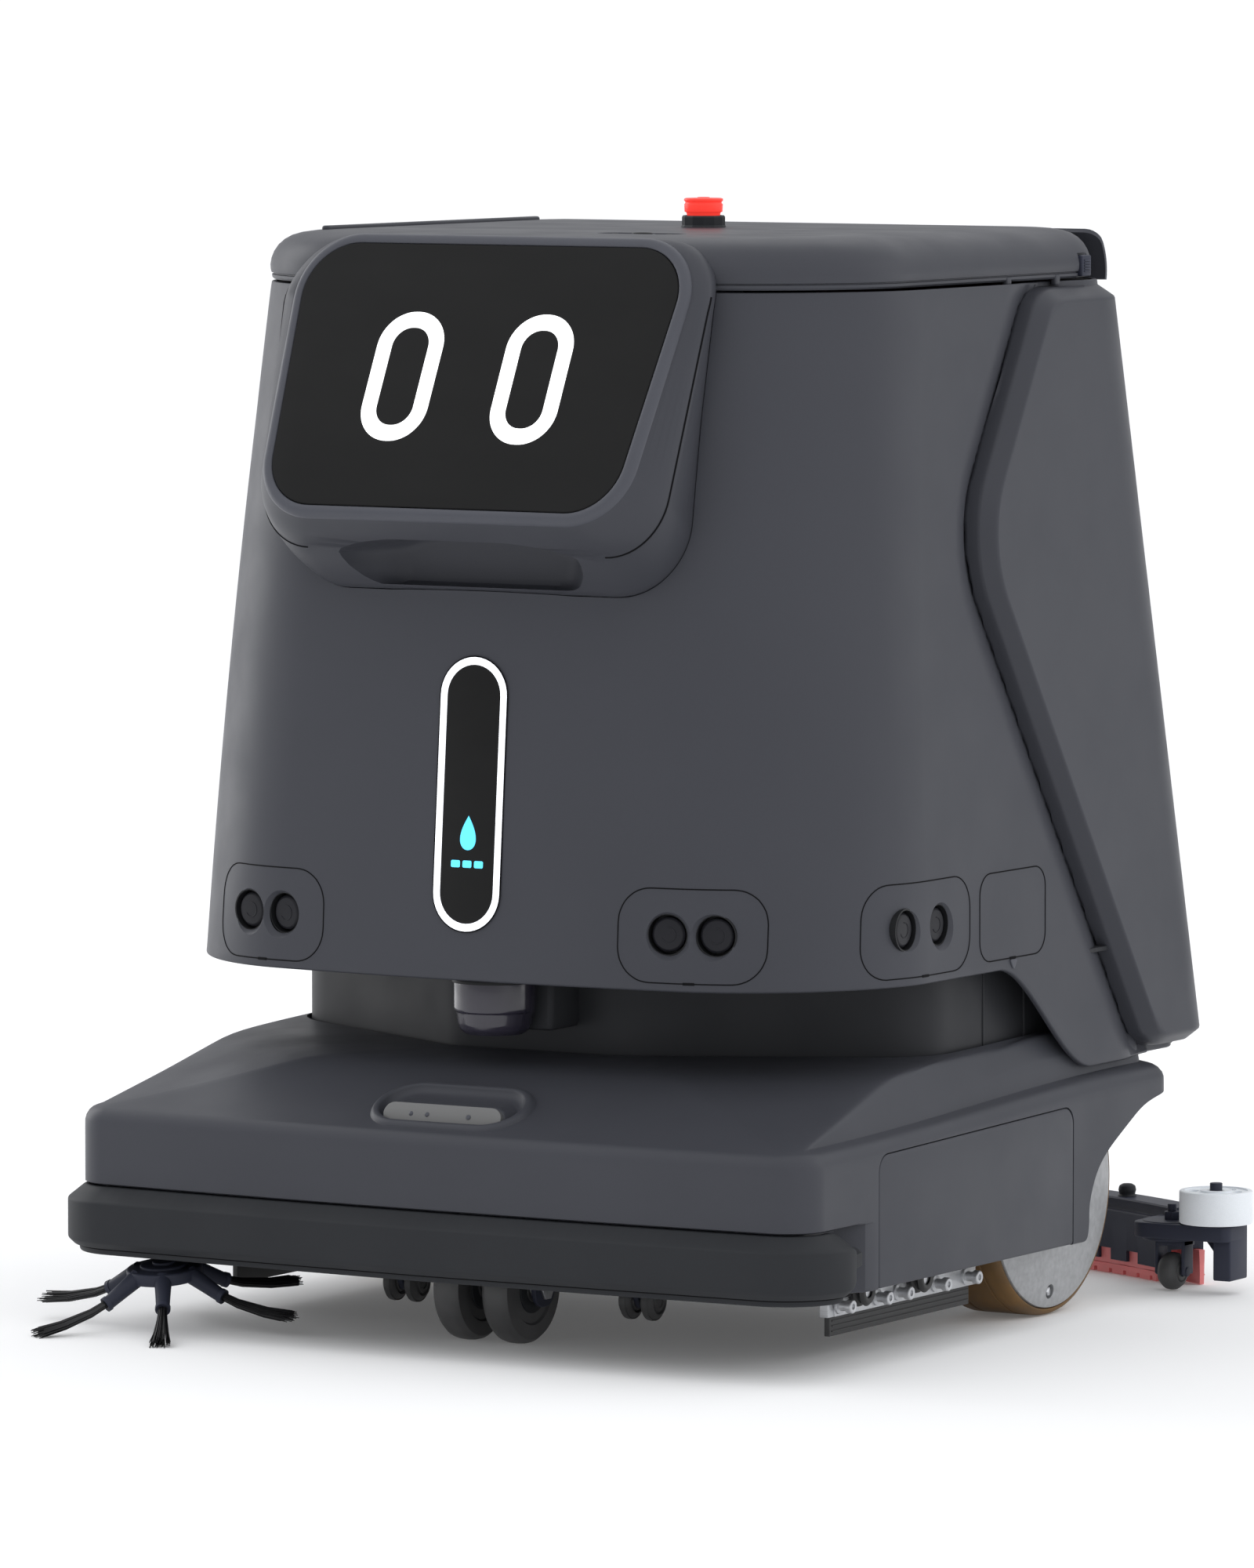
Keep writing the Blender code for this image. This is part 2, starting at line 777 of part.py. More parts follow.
def light_place():
    """Stands capsule plates upright on the front wall; their +Z faces forward."""
    turn = Matrix.Rotation(pi / 2 - wall_tilt(), 3, "X")
    return Vector((0.0, body_front(LIGHT_CENTRE_Z), LIGHT_CENTRE_Z)), turn


def light_cutter():
    place, turn = light_place()
    outline = capsule(LIGHT_HALF_WIDTH + GAP, LIGHT_HALF_HEIGHT + GAP)
    mesh = plate_mesh("light_cutter", outline, -0.012, 0.012)
    return add_cutter("light_cutter", mesh, place, turn)


def light_ring():
    place, turn = light_place()
    outer = capsule(LIGHT_HALF_WIDTH, LIGHT_HALF_HEIGHT)
    inner = capsule(LIGHT_HALF_WIDTH - LIGHT_RING, LIGHT_HALF_HEIGHT - LIGHT_RING)
    rings = [
        [(x, y, -LIGHT_DEPTH) for x, y in outer], [(x, y, 0.001) for x, y in outer],
        [(x, y, 0.001) for x, y in inner], [(x, y, -LIGHT_DEPTH) for x, y in inner]]
    rings.append(rings[0])
    mesh = loft_mesh("light_ring", rings, False, False)
    weld(mesh)
    return add_part("light_ring", mesh, "light", place, turn)


def light_window():
    place, turn = light_place()
    inset = LIGHT_RING + GAP
    outline = capsule(LIGHT_HALF_WIDTH - inset, LIGHT_HALF_HEIGHT - inset)
    mesh = plate_mesh("light_window", outline, -LIGHT_DEPTH, 0.0005)
    return add_part("light_window", mesh, "glass", place, turn)


def front_sonar_axis(side):
    """Horizontal direction that the front sensors face."""
    spread = atan2(FRONT_SONAR[1][1] - FRONT_SONAR[0][1], FRONT_SONAR[1][0] - FRONT_SONAR[0][0])
    return Matrix.Rotation(side * spread, 3, "Z") @ Matrix.Rotation(pi / 2, 3, "X")


def front_sonar_holes(side):
    cutters = []
    for index, (x, y) in enumerate(FRONT_SONAR):
        mesh = rod_mesh("sonar_cutter", SONAR_HOLE, 0.024, COARSE)
        name = "front_hole_%d_%d" % (side + 1, index)
        place = (side * x, y, SONAR_Z)
        cutters.append(add_cutter(name, mesh, place, front_sonar_axis(side)))
    return cutters


def side_sonar_holes(side):
    cutters = []
    for index, y in enumerate(SIDE_SONAR):
        mesh = rod_mesh("sonar_cutter", SONAR_HOLE, 0.024, COARSE)
        name = "side_hole_%d_%d" % (side + 1, index)
        place = (side * body_half_width(SONAR_Z), y, SONAR_Z)
        cutters.append(add_cutter(name, mesh, place, along_x()))
    return cutters


def sonar(name, eyes, turn, middle, inward, plate):
    """Two transducers on one mounting plate behind the wall."""
    eye = rod_mesh(name, SONAR_RADIUS, 0.012, COARSE)
    made = add_part(name, eye, "sensor", Vector(eyes[0]) + inward * 0.0075, turn)
    other = add_cutter(name + "_twin", eye, Vector(eyes[1]) + inward * 0.0075, turn)
    join(made, other)
    back = add_cutter(name + "_plate", box_mesh(name, plate), middle + inward * 0.0145, turn)
    join(made, back)
    return made


def front_sonar(name, side):
    turn = front_sonar_axis(side)
    inward = turn @ Vector((0, 0, -1))
    eyes = [(side * x, y, SONAR_Z) for x, y in FRONT_SONAR]
    middle = (Vector(eyes[0]) + Vector(eyes[1])) / 2
    return sonar(name, eyes, turn, middle, inward, (0.054, 0.026, 0.004))


def side_sonar(name, side):
    half = body_half_width(SONAR_Z)
    inward = Vector((-side, 0, 0))
    eyes = [(side * half, y, SONAR_Z) for y in SIDE_SONAR]
    middle = Vector((side * half, sum(SIDE_SONAR) / 2, SONAR_Z))
    return sonar(name, eyes, along_x(), middle, inward, (0.026, 0.066, 0.004))


def lidar():
    profile = [
        (0.0, 0.2252), (0.025, 0.2252), (0.025, 0.204), (0.0232, 0.2035), (0.0225, 0.194),
        (0.020, 0.190), (0.0, 0.190)]
    return turned_part("lidar", profile, "lidar", (0, -0.195, 0))


# ---------------------------------------------------------------- lid, screen and buttons

def lid_outline(inset):
    outline = plan_outline(
        LID_HALF_WIDTH - inset, LID_FRONT_Y + inset, LID_BACK_Y - inset * 0.6,
        0.100 - inset, 0.055 - inset, 6)
    return bowed(outline, 1.3)


def lid_shell():
    levels = ((LID_BOTTOM_Z, 0.001), (0.650, 0.0), (0.660, 0.002), (0.669, 0.008), (0.675, 0.018),
              (LID_TOP_Z, 0.036))
    rings = [ring_at(lid_outline(inset), z) for z, inset in levels]
    mesh = loft_mesh("lid_shell", rings, False, True)
    move_origin(mesh, LID_HINGE)
    lid = add_part("lid_shell", mesh, "shell", LID_HINGE)
    solidify(lid, WALL)
    cut(lid, lid_notch())
    cut(lid, button_recess_cutter())
    cut(lid, latch_notch())
    return lid


def face_cover():
    mesh = housing_mesh("face_cover", 0.0)
    move_origin(mesh, LID_HINGE)
    return add_part("face_cover", mesh, "shell", LID_HINGE)


def screen_frame():
    outer = face_outline(FRAME_BORDER)
    inner = face_outline(0.0)
    rings = [
        on_face(outer, 0.0042), on_face(outer, 0.001),
        on_face(inner, 0.0), on_face(inner, 0.0042)]
    rings = [list(reversed(ring)) for ring in rings]
    rings.append(rings[0])
    rings.reverse()
    mesh = loft_mesh("screen_frame", rings, False, False)
    weld(mesh)
    face_outward(mesh)
    move_origin(mesh, LID_HINGE)
    return add_part("screen_frame", mesh, "shell", LID_HINGE)


def screen_glass():
    outline = face_outline(-GAP)
    rings = [on_face(outline, 0.0041), on_face(outline, 0.001)]
    mesh = loft_mesh("screen_glass", rings)
    face_outward(mesh)
    move_origin(mesh, LID_HINGE)
    return add_part("screen_glass", mesh, "glass", LID_HINGE)


def estop_collar():
    low = LID_TOP_Z + GAP
    profile = [(0.013, 0.6835), (0.013, low), (0.0108, low), (0.0108, 0.6835)]
    return turned_part("estop_collar", profile, "bumper", ESTOP_PLACE, closed=True)


def estop_button():
    profile = [
        (0.0, HEIGHT), (0.0115, HEIGHT), (0.0123, 0.6944), (0.0123, 0.6925), (0.0115, 0.6918),
        (0.0115, 0.6902), (0.0123, 0.6895), (0.0123, 0.6878), (0.0104, 0.6876),
        (0.0104, LID_TOP_Z + 0.0045), (0.0, LID_TOP_Z + 0.0045)]
    return turned_part("estop_button", profile, "red", ESTOP_PLACE)


def button_recess_cutter():
    outline = [(y, x) for x, y in reversed(capsule(0.0125, 0.030, 6))]
    mesh = plate_mesh("button_recess", outline, LID_TOP_Z - 0.0015, LID_TOP_Z + 0.010)
    return add_cutter("button_recess", mesh, (POWER_BUTTON.x, POWER_BUTTON.y, 0.0))


def power_button():
    profile = [(0.0, 0.0006), (0.0062, 0.0006), (0.0066, 0.0002), (0.0066, -0.0004), (0.0, -0.0004)]
    return turned_part("power_button", profile, "bumper", POWER_BUTTON, segments=COARSE)


def latch_notch():
    return add_cutter("latch_notch", box_mesh("latch_notch", (0.008, 0.014, 0.016)),
                      LATCH_PLACE + Vector((0.0055, 0, 0)))


def lid_latch():
    """Small flip tab on the lid's edge, hinged along its top edge."""
    mesh = box_mesh("lid_latch", (0.004, 0.012, 0.013), (0.0, 0, -0.0065))
    place = LATCH_PLACE + Vector((0.0050, 0, 0.0065))
    made = add_part("lid_latch", mesh, "blue_grey", place)
    bevel(made, 0.0008)
    return made


def rear_hood():
    """Curved cap that closes the gap behind the lid, an arc about the lid's hinge."""
    rings = []
    for x in (-0.205, -0.120, 0.0, 0.120, 0.205):
        ends = 0.004 if abs(x) > 0.2 else 0.0
        outer = arc(LID_HINGE.y, LID_HINGE.z, 0.0345 - ends * 0.3, 50, -11, 6)
        inner = arc(LID_HINGE.y, LID_HINGE.z, 0.0313, -11, 50, 6)
        rings.append([Vector((x, y, z)) for y, z in reversed(outer + inner)])
    mesh = loft_mesh("rear_hood", rings)
    face_outward(mesh)
    return add_part("rear_hood", mesh, "shell")


# ---------------------------------------------------------------- inside the robot

def inner_box(name, low, high, key, radius=0.006):
    low = Vector(low)
    high = Vector(high)
    made = add_part(name, box_mesh(name, high - low), key, (low + high) / 2)
    bevel(made, radius, 1)
    return made


def internals():
    chassis_plate()
    inner_box("battery_pack", (-0.150, -0.080, 0.1285), (0.150, 0.090, 0.2200), "internal")
    inner_box("clean_water_tank", (-0.200, -0.120, 0.2300), (0.200, 0.060, 0.4200), "tank")
    inner_box("waste_water_tank", (-0.190, -0.130, 0.4220), (0.190, 0.170, 0.6300), "tank")
    inner_box("control_box", (-0.150, -0.190, 0.2850), (0.150, -0.1225, 0.4200), "internal")
    inner_box("water_pump", (-0.190, 0.080, 0.2300), (-0.110, 0.150, 0.3000), "internal")
    rod = rod_mesh("vacuum_motor", 0.058, 0.130, MEDIUM)
    add_part("vacuum_motor", rod, "internal", (0.060, 0.135, 0.2960))
    inner_box("drive_transaxle", (-0.1600, 0.060, 0.0550), (0.1600, 0.110, 0.1180), "internal")


def chassis_plate():
    """Deck plate that carries everything, notched for the drive wheels."""
    outline = [
        (-0.160, -0.250), (0.160, -0.250), (0.238, -0.190), (0.238, -0.020), (0.170, -0.010),
        (0.170, 0.185), (-0.170, 0.185), (-0.170, -0.010), (-0.238, -0.020), (-0.238, -0.190)]
    add_part("chassis_plate", plate_mesh("chassis_plate", outline, 0.1200, 0.1260), "steel")


# ---------------------------------------------------------------- wheels and casters

def wheel_profile(outer, inner, half_width, edge):
    return [
        (outer - edge, half_width), (outer, half_width - edge), (outer, -half_width + edge),
        (outer - edge, -half_width), (inner, -half_width), (inner, half_width)]


def flat_below(segments):
    """Radius factor and spin that put a flat facet, at full radius, straight below the axis."""
    return 1 / cos(pi / segments), pi / segments


def drive_wheel(side, label):
    grow, spin = flat_below(FINE)
    middle = side * (WHEEL_INNER_X + WHEEL_OUTER_X) / 2
    half = (WHEEL_OUTER_X - WHEEL_INNER_X) / 2
    place = (middle, WHEEL_Y, WHEEL_RADIUS)
    profile = wheel_profile(WHEEL_RADIUS * grow, HUB_RADIUS * grow, half, 0.004)
    turned_part("drive_tyre_" + label, profile, "tyre", place, along_x(spin), FINE, True)
    hub = HUB_RADIUS * grow - GAP
    shape = [
        (0.0, half - 0.001), (0.030, half - 0.002), (0.058, half - 0.007),
        (hub - 0.002, half - 0.009), (hub, half - 0.011), (hub, -half + 0.004),
        (0.026, -half + 0.004), (0.024, -half + 0.010), (0.0, -half + 0.010)]
    turn = along_x(spin)
    if side < 0:
        turn = Matrix.Rotation(pi, 3, "Z") @ turn
    turned_part("drive_hub_" + label, shape, "hub", place, turn, FINE)


def caster_fork():
    """Swivel fork of the twin front caster: stem, crown and two side plates with an axle."""
    top = 0.1195
    stem = rod_mesh("caster_fork", 0.012, 0.034, COARSE)
    fork = add_part("caster_fork", stem, "blue_grey", (0, CASTER_Y, top - 0.017))
    crown = box_mesh("caster_crown", (0.070, 0.028, 0.006))
    join(fork, add_cutter("caster_crown", crown, (0, CASTER_Y + CASTER_TRAIL * 0.5, 0.0835)))
    for side in (-1, 1):
        plate = plate_mesh("caster_cheek", rounded_polygon(
            [(-0.010, 0.024), (0.010, 0.024), (0.015, 0.085), (-0.015, 0.085)],
            [0.009, 0.009, 0.004, 0.004], 3), -0.0015, 0.0015)
        name = "caster_cheek_%d" % (side + 1)
        place = (side * 0.0335, CASTER_Y + CASTER_TRAIL * 0.7, 0.0)
        join(fork, add_cutter(name, plate, place, side_on()))
    axle = rod_mesh("caster_axle", 0.0050, 0.074, COARSE)
    place = (0, CASTER_Y + CASTER_TRAIL, CASTER_RADIUS)
    join(fork, add_cutter("caster_axle", axle, place, along_x()))
    return fork


def caster_wheel(name, side):
    grow, spin = flat_below(MEDIUM)
    profile = wheel_profile(CASTER_RADIUS * grow, 0.0056, 0.0095, 0.003)
    place = (side * 0.0175, CASTER_Y + CASTER_TRAIL, CASTER_RADIUS)
    return turned_part(name, profile, "rubber", place, along_x(spin), MEDIUM, True)


def guide_caster(side, label):
    """Small twin-roller caster that keeps the brush deck level."""
    place = Vector((side * GUIDE_X, GUIDE_Y, 0.0))
    stem = rod_mesh("guide_fork_" + label, 0.006, 0.042, COARSE)
    fork = add_part("guide_fork_" + label, stem, "blue_grey", place + Vector((0, 0, 0.0625)))
    web = box_mesh("guide_web_" + label, (0.004, 0.018, 0.024))
    join(fork, add_cutter("guide_web_" + label, web, place + Vector((0, 0.003, 0.0370))))
    grow, spin = flat_below(COARSE)
    outer = 0.0120 * grow
    half = 0.0125
    notch = 0.0026
    rollers = [
        (0.0, half), (outer - 0.002, half), (outer, half - 0.002), (outer, notch + 0.001),
        (outer - 0.001, notch), (0.0035, notch), (0.0035, -notch), (outer - 0.001, -notch),
        (outer, -notch - 0.001), (outer, -half + 0.002), (outer - 0.002, -half), (0.0, -half)]
    axle_place = place + Vector((0, 0.009, 0.0272))
    bore = rod_mesh("guide_bore_" + label, 0.0042, 0.012, COARSE)
    cut(fork, add_cutter("guide_bore_" + label, bore, axle_place, along_x()))
    name = "guide_rollers_" + label
    return turned_part(name, rollers, "rubber", axle_place, along_x(spin), COARSE)


# ---------------------------------------------------------------- brush deck

def brush_deck():
    """Half-pipe cover over the roller brush, with arms for the guide casters and side hangers."""
    radius = ROLLER_RADIUS + 0.0065
    line = arc(ROLLER_Y, ROLLER_Z, radius, 195, -15, 12)
    bm = bmesh.new()
    sides = []
    for x in (-0.2065, 0.2065):
        sides.append([bm.verts.new((x, y, z)) for y, z in line])
    for i in range(len(line) - 1):
        bm.faces.new((sides[0][i], sides[1][i], sides[1][i + 1], sides[0][i + 1]))
    bmesh.ops.recalc_face_normals(bm, faces=bm.faces)
    mesh = mesh_from(bm, "brush_deck")
    shade(mesh)
    deck = add_part("brush_deck", mesh, "bumper")
    solidify(deck, 0.0025, 0.0)
    for side in (-1, 1):
        arm = box_mesh("deck_arm", (0.024, 0.078, 0.008))
        name = "deck_arm_%d" % (side + 1)
        join(deck, add_cutter(name, arm, (side * GUIDE_X, GUIDE_Y + 0.026, 0.0882)))
        plate = box_mesh("deck_end", (0.004, 0.100, 0.012))
        name = "deck_end_%d" % (side + 1)
        join(deck, add_cutter(name, plate, (side * 0.2050, ROLLER_Y, 0.1120)))
        hanger = box_mesh("deck_hanger", (0.016, 0.020, 0.004))
        name = "deck_hanger_%d" % (side + 1)
        join(deck, add_cutter(name, hanger, (side * 0.2130, ROLLER_Y, 0.1120)))
    return deck


def bar_place(side):
    """Length and middle of a side rail; the right one is shorter, to clear the side brush."""
    length = SIDE_BAR_LENGTH_LEFT if side > 0 else SIDE_BAR_LENGTH_RIGHT
    return length, SIDE_BAR_BACK_Y - length / 2


def side_bar(name, side):
    """Aluminium rail that clamps the side blade, hung from the deck, with its fixing studs."""
    length, middle_y = bar_place(side)
    middle = (side * SIDE_BAR_X, middle_y, 0.0440)
    bar = add_part(name, box_mesh(name, (0.0040, length, 0.032)), "aluminium", middle)
    post = box_mesh("bar_post", (0.0040, 0.020, 0.060))
    place = (side * SIDE_BAR_X, ROLLER_Y, 0.0850)
    join(bar, add_cutter(name + "_post", post, place))
    for index in range(5):
        y = middle_y + (index - 2) * length * 0.225
        bolt = rod_mesh("bar_bolt", 0.0045, 0.012, 12)
        place = (side * (SIDE_BAR_X + 0.0070), y, 0.0375)
        join(bar, add_cutter("%s_bolt_%d" % (name, index), bolt, place, along_x()))
    return bar


def side_blade(name, side):
    length, middle_y = bar_place(side)
    place = (side * (SIDE_BAR_X - 0.0044), middle_y, 0.0285)
    return add_part(name, box_mesh(name, (0.0040, length, 0.0260)), "rubber", place)


def roller_brush():
    shaft = 0.0088
    profile = [
        (0.0, 0.2045), (shaft, 0.2045), (shaft, 0.198), (ROLLER_RADIUS - 0.004, 0.198),
        (ROLLER_RADIUS, 0.194), (ROLLER_RADIUS, -0.194), (ROLLER_RADIUS - 0.004, -0.198),
        (shaft, -0.198), (shaft, -0.2045), (0.0, -0.2045)]
    place = (0, ROLLER_Y, ROLLER_Z)
    return turned_part("roller_brush", profile, "bristle", place, along_x(), MEDIUM)


def side_brush_turn():
    return Matrix.Rotation(SIDE_BRUSH_TILT, 3, "X")


def side_brush_hub():
    """Hub disc with six sloping sockets for the tufts."""
    turn = side_brush_turn()
    profile = [
        (0.0, 0.0060), (0.007, 0.0060), (0.007, 0.0035),
        (0.024, 0.0030), (0.024, -0.005), (0.0, -0.005)]
    hub = turned_part("side_brush_hub", profile, "blue_grey", SIDE_BRUSH_HUB, turn, COARSE)
    for index in range(6):
        spin = Matrix.Rotation(radians(180 + 60 * index), 3, "Z")
        lean = spin @ Matrix.Rotation(radians(90 + 28), 3, "Y")
        socket = rod_mesh("socket", 0.0055, 0.026, 12)
        middle = spin @ Vector((0.029, 0, -0.0060))
        name = "socket_%d" % index
        place = SIDE_BRUSH_HUB + turn @ middle
        join(hub, add_cutter(name, socket, place, turn @ lean))
    return hub


def side_brush_tufts():
    """Six flared tufts set in the sockets, joined under the hub by a thin moulded ring."""
    turn = side_brush_turn()
    profile = [
        (0.0, -0.0057), (0.015, -0.0057), (0.015, -0.0100), (0.0, -0.0100)]
    ring = turned_part("side_brush_tufts", profile, "bristle", SIDE_BRUSH_HUB, turn, COARSE)
    for index in range(6):
        spin = Matrix.Rotation(radians(180 + 60 * index), 3, "Z")
        tuft = tuft_mesh(spin)
        name = "tuft_%d" % index
        join(ring, add_cutter(name, tuft, SIDE_BRUSH_HUB, turn))
    return ring


def tuft_mesh(spin):
    """A bundle that leaves its socket, slopes down and flares towards the tip."""
    stations = (
        (0.012, -0.0090, 0.0018, 0.0022), (0.036, -0.0206, 0.0030, 0.0022),
        (0.048, -0.0226, 0.0042, 0.0026), (0.070, -0.0222, 0.0060, 0.0035),
        (SIDE_BRUSH_REACH, -0.0190, 0.0080, 0.0030))
    rings = []
    for reach, drop, wide, tall in stations:
        ring = []
        for k in range(8):
            angle = FULL_TURN * k / 8
            ring.append(spin @ Vector((reach, wide * cos(angle), drop + tall * sin(angle))))
        rings.append(ring)
    mesh = loft_mesh("tuft", rings)
    face_outward(mesh)
    return mesh


# ---------------------------------------------------------------- squeegee

def arc_strip(name, radius, thickness, low, high, half_width, steps=20):
    """A strip that follows the squeegee's plan arc."""
    reach = asin(half_width / ARC_RADIUS)
    rings = []
    for i in range(steps + 1):
        angle = -reach + 2 * reach * i / steps
        out = Vector((sin(angle), cos(angle), 0.0))
        middle = Vector((0.0, ARC_CENTRE_Y, 0.0))
        near = middle + out * (radius - thickness / 2)
        far = middle + out * (radius + thickness / 2)
        up = Vector((0, 0, 1))
        rings.append([near + up * low, far + up * low, far + up * high, near + up * high])
    mesh = loft_mesh(name, rings)
    face_outward(mesh)
    return mesh


def squeegee_beam():
    mesh = arc_strip("squeegee_beam", ARC_RADIUS, 0.026, 0.0225, 0.0500, BEAM_HALF_WIDTH)
    beam = add_part("squeegee_beam", mesh, "blue_grey")
    pin = rod_mesh("sway_boss", 0.016, 0.016, COARSE)
    join(beam, add_cutter("sway_boss", pin, (0, SWAY_PIN.y, 0.0525)))
    hole = rod_mesh("sway_bore", 0.0083, 0.060, COARSE)
    cut(beam, add_cutter("sway_bore", hole, (0, SWAY_PIN.y, 0.0525)))
    for side in (-1, 1):
        tag = "%d" % (side + 1)
        corners = [(0.226, 0.222), (0.2925, 0.214), (0.2925, 0.238), (0.226, 0.260)]
        radii = [0.002, 0.008, 0.008, 0.002]
        if side < 0:
            corners = [(-x, y) for x, y in reversed(corners)]
            radii.reverse()
        ear = rounded_polygon(corners, radii, 3)
        ear = plate_mesh("roller_ear", ear, 0.0440, 0.0500)
        join(beam, add_cutter("roller_ear_" + tag, ear))
        stud = rod_mesh("roller_stud", 0.0045, 0.026, COARSE)
        place = (side * BUMP_ROLLER.x, BUMP_ROLLER.y, 0.0600)
        join(beam, add_cutter("roller_stud_" + tag, stud, place))
        leg = box_mesh("support_leg", (0.0050, 0.0120, 0.0380))
        place = (side * (SUPPORT_ROLLER.x - 0.0125), SUPPORT_ROLLER.y, 0.0280)
        join(beam, add_cutter("support_leg_" + tag, leg, place))
        axle = rod_mesh("support_axle", 0.0030, 0.022, 12)
        place = (side * (SUPPORT_ROLLER.x - 0.0030), SUPPORT_ROLLER.y, SUPPORT_ROLLER.z + 0.0005)
        join(beam, add_cutter("support_axle_" + tag, axle, place, along_x()))
    return beam


def squeegee_blade():
    """Front and rear rubber blades, moulded as one strip with a joining web."""
    offset = 0.0085
    reach = 0.230
    mesh = arc_strip("squeegee_blade", ARC_RADIUS + offset, 0.003, 0.0005, 0.0220, reach)
    blade = add_part("squeegee_blade", mesh, "red_rubber")
    front = arc_strip("front_blade", ARC_RADIUS - offset, 0.003, 0.0005, 0.0220, reach)
    web = arc_strip("blade_web", ARC_RADIUS, 0.018, 0.0190, 0.0220, reach)
    join(blade, add_cutter("front_blade", front))
    join(blade, add_cutter("blade_web", web))
    return blade


def squeegee_arm():
    """Lift arm from the chassis pivot to the sway pin on the beam."""
    width = 0.070
    length = SWAY_PIN.y - ARM_PIVOT.y
    mid_z = (SWAY_PIN.z + ARM_PIVOT.z) / 2
    tilt = atan2(SWAY_PIN.z + 0.0010 - ARM_PIVOT.z, length)
    bar = box_mesh("squeegee_arm", (width, length, 0.007))
    middle = (0, ARM_PIVOT.y + length / 2, mid_z)
    arm = add_part("squeegee_arm", bar, "blue_grey", middle, Matrix.Rotation(tilt, 3, "X"))
    tube = rod_mesh("arm_tube", 0.010, 0.110, COARSE)
    join(arm, add_cutter("arm_tube", tube, ARM_PIVOT, along_x()))
    pad = rod_mesh("arm_pad", 0.018, 0.006, COARSE)
    join(arm, add_cutter("arm_pad", pad, (0, SWAY_PIN.y, 0.0640)))
    pin = rod_mesh("sway_pin", 0.0080, 0.036, COARSE)
    join(arm, add_cutter("sway_pin", pin, (0, SWAY_PIN.y, 0.0490)))
    return arm


def bumper_roller(name, side):
    profile = [
        (BUMP_ROLLER_RADIUS - 0.002, 0.0085), (BUMP_ROLLER_RADIUS, 0.0065),
        (BUMP_ROLLER_RADIUS, -0.0065), (BUMP_ROLLER_RADIUS - 0.002, -0.0085),
        (0.0049, -0.0085), (0.0049, 0.0085)]
    place = (side * BUMP_ROLLER.x, BUMP_ROLLER.y, BUMP_ROLLER.z)
    return turned_part(name, profile, "white", place, None, MEDIUM, True)


def squeegee_roller(name, side):
    grow, spin = flat_below(COARSE)
    profile = wheel_profile(0.0118 * grow, 0.0034, 0.0070, 0.0015)
    place = (side * SUPPORT_ROLLER.x, SUPPORT_ROLLER.y, SUPPORT_ROLLER.z + 0.0005)
    return turned_part(name, profile, "rubber", place, along_x(spin), COARSE, True)


def suction_hose():
    """Hose from the squeegee's suction port to the chassis, close over the arm's pivot."""
    points = []
    for i in range(9):
        t = i / 8
        y = 0.278 - 0.106 * t
        z = 0.0800 + 0.008 * sin(pi * t) + 0.004 * t
        points.append((0.052 + 0.006 * sin(pi * t), y, z))
    return wire_part("suction_hose", points, 0.0125, "bristle")


# ---------------------------------------------------------------- build

def build():
    internals()
    base_cover()
    waist_cover()
    bumper()
    side_door("side_door_left", 1)
    side_door("side_door_right", -1)
    camera_window()
    body_shell()
    pod("pod_left", 1)
    pod("pod_right", -1)
    light_ring()
    light_window()
    front_sonar("sonar_front_left", 1)
    front_sonar("sonar_front_right", -1)
    side_sonar("sonar_side_left", 1)
    side_sonar("sonar_side_right", -1)
    lidar()
    lid_shell()
    face_cover()
    screen_frame()
    screen_glass()
    estop_collar()
    estop_button()
    power_button()
    lid_latch()
    rear_hood()
    drive_wheel(1, "left")
    drive_wheel(-1, "right")
    caster_fork()
    caster_wheel("caster_wheel_left", 1)
    caster_wheel("caster_wheel_right", -1)
    guide_caster(1, "left")
    guide_caster(-1, "right")
    brush_deck()
    side_bar("side_bar_left", 1)
    side_bar("side_bar_right", -1)
    side_blade("side_blade_left", 1)
    side_blade("side_blade_right", -1)
    roller_brush()
    side_brush_hub()
    side_brush_tufts()
    squeegee_arm()
    squeegee_beam()
    squeegee_blade()
    bumper_roller("bumper_roller_left", 1)
    bumper_roller("bumper_roller_right", -1)
    squeegee_roller("squeegee_roller_left", 1)
    squeegee_roller("squeegee_roller_right", -1)
    suction_hose()


clear_scene()
PARTS = new_collection("robotic_floor_cleaner")
CUTTERS = new_collection("cutters")
build()
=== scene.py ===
"""Looks for the robotic floor cleaner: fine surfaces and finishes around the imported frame.

Metres, +Z up. The robot's front faces -Y and its left side faces +X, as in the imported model.
"""

import json
import random
from math import acos, atan2, cos, pi, radians, sin

import bmesh
import bpy
import numpy as np
from mathutils import Matrix, Vector

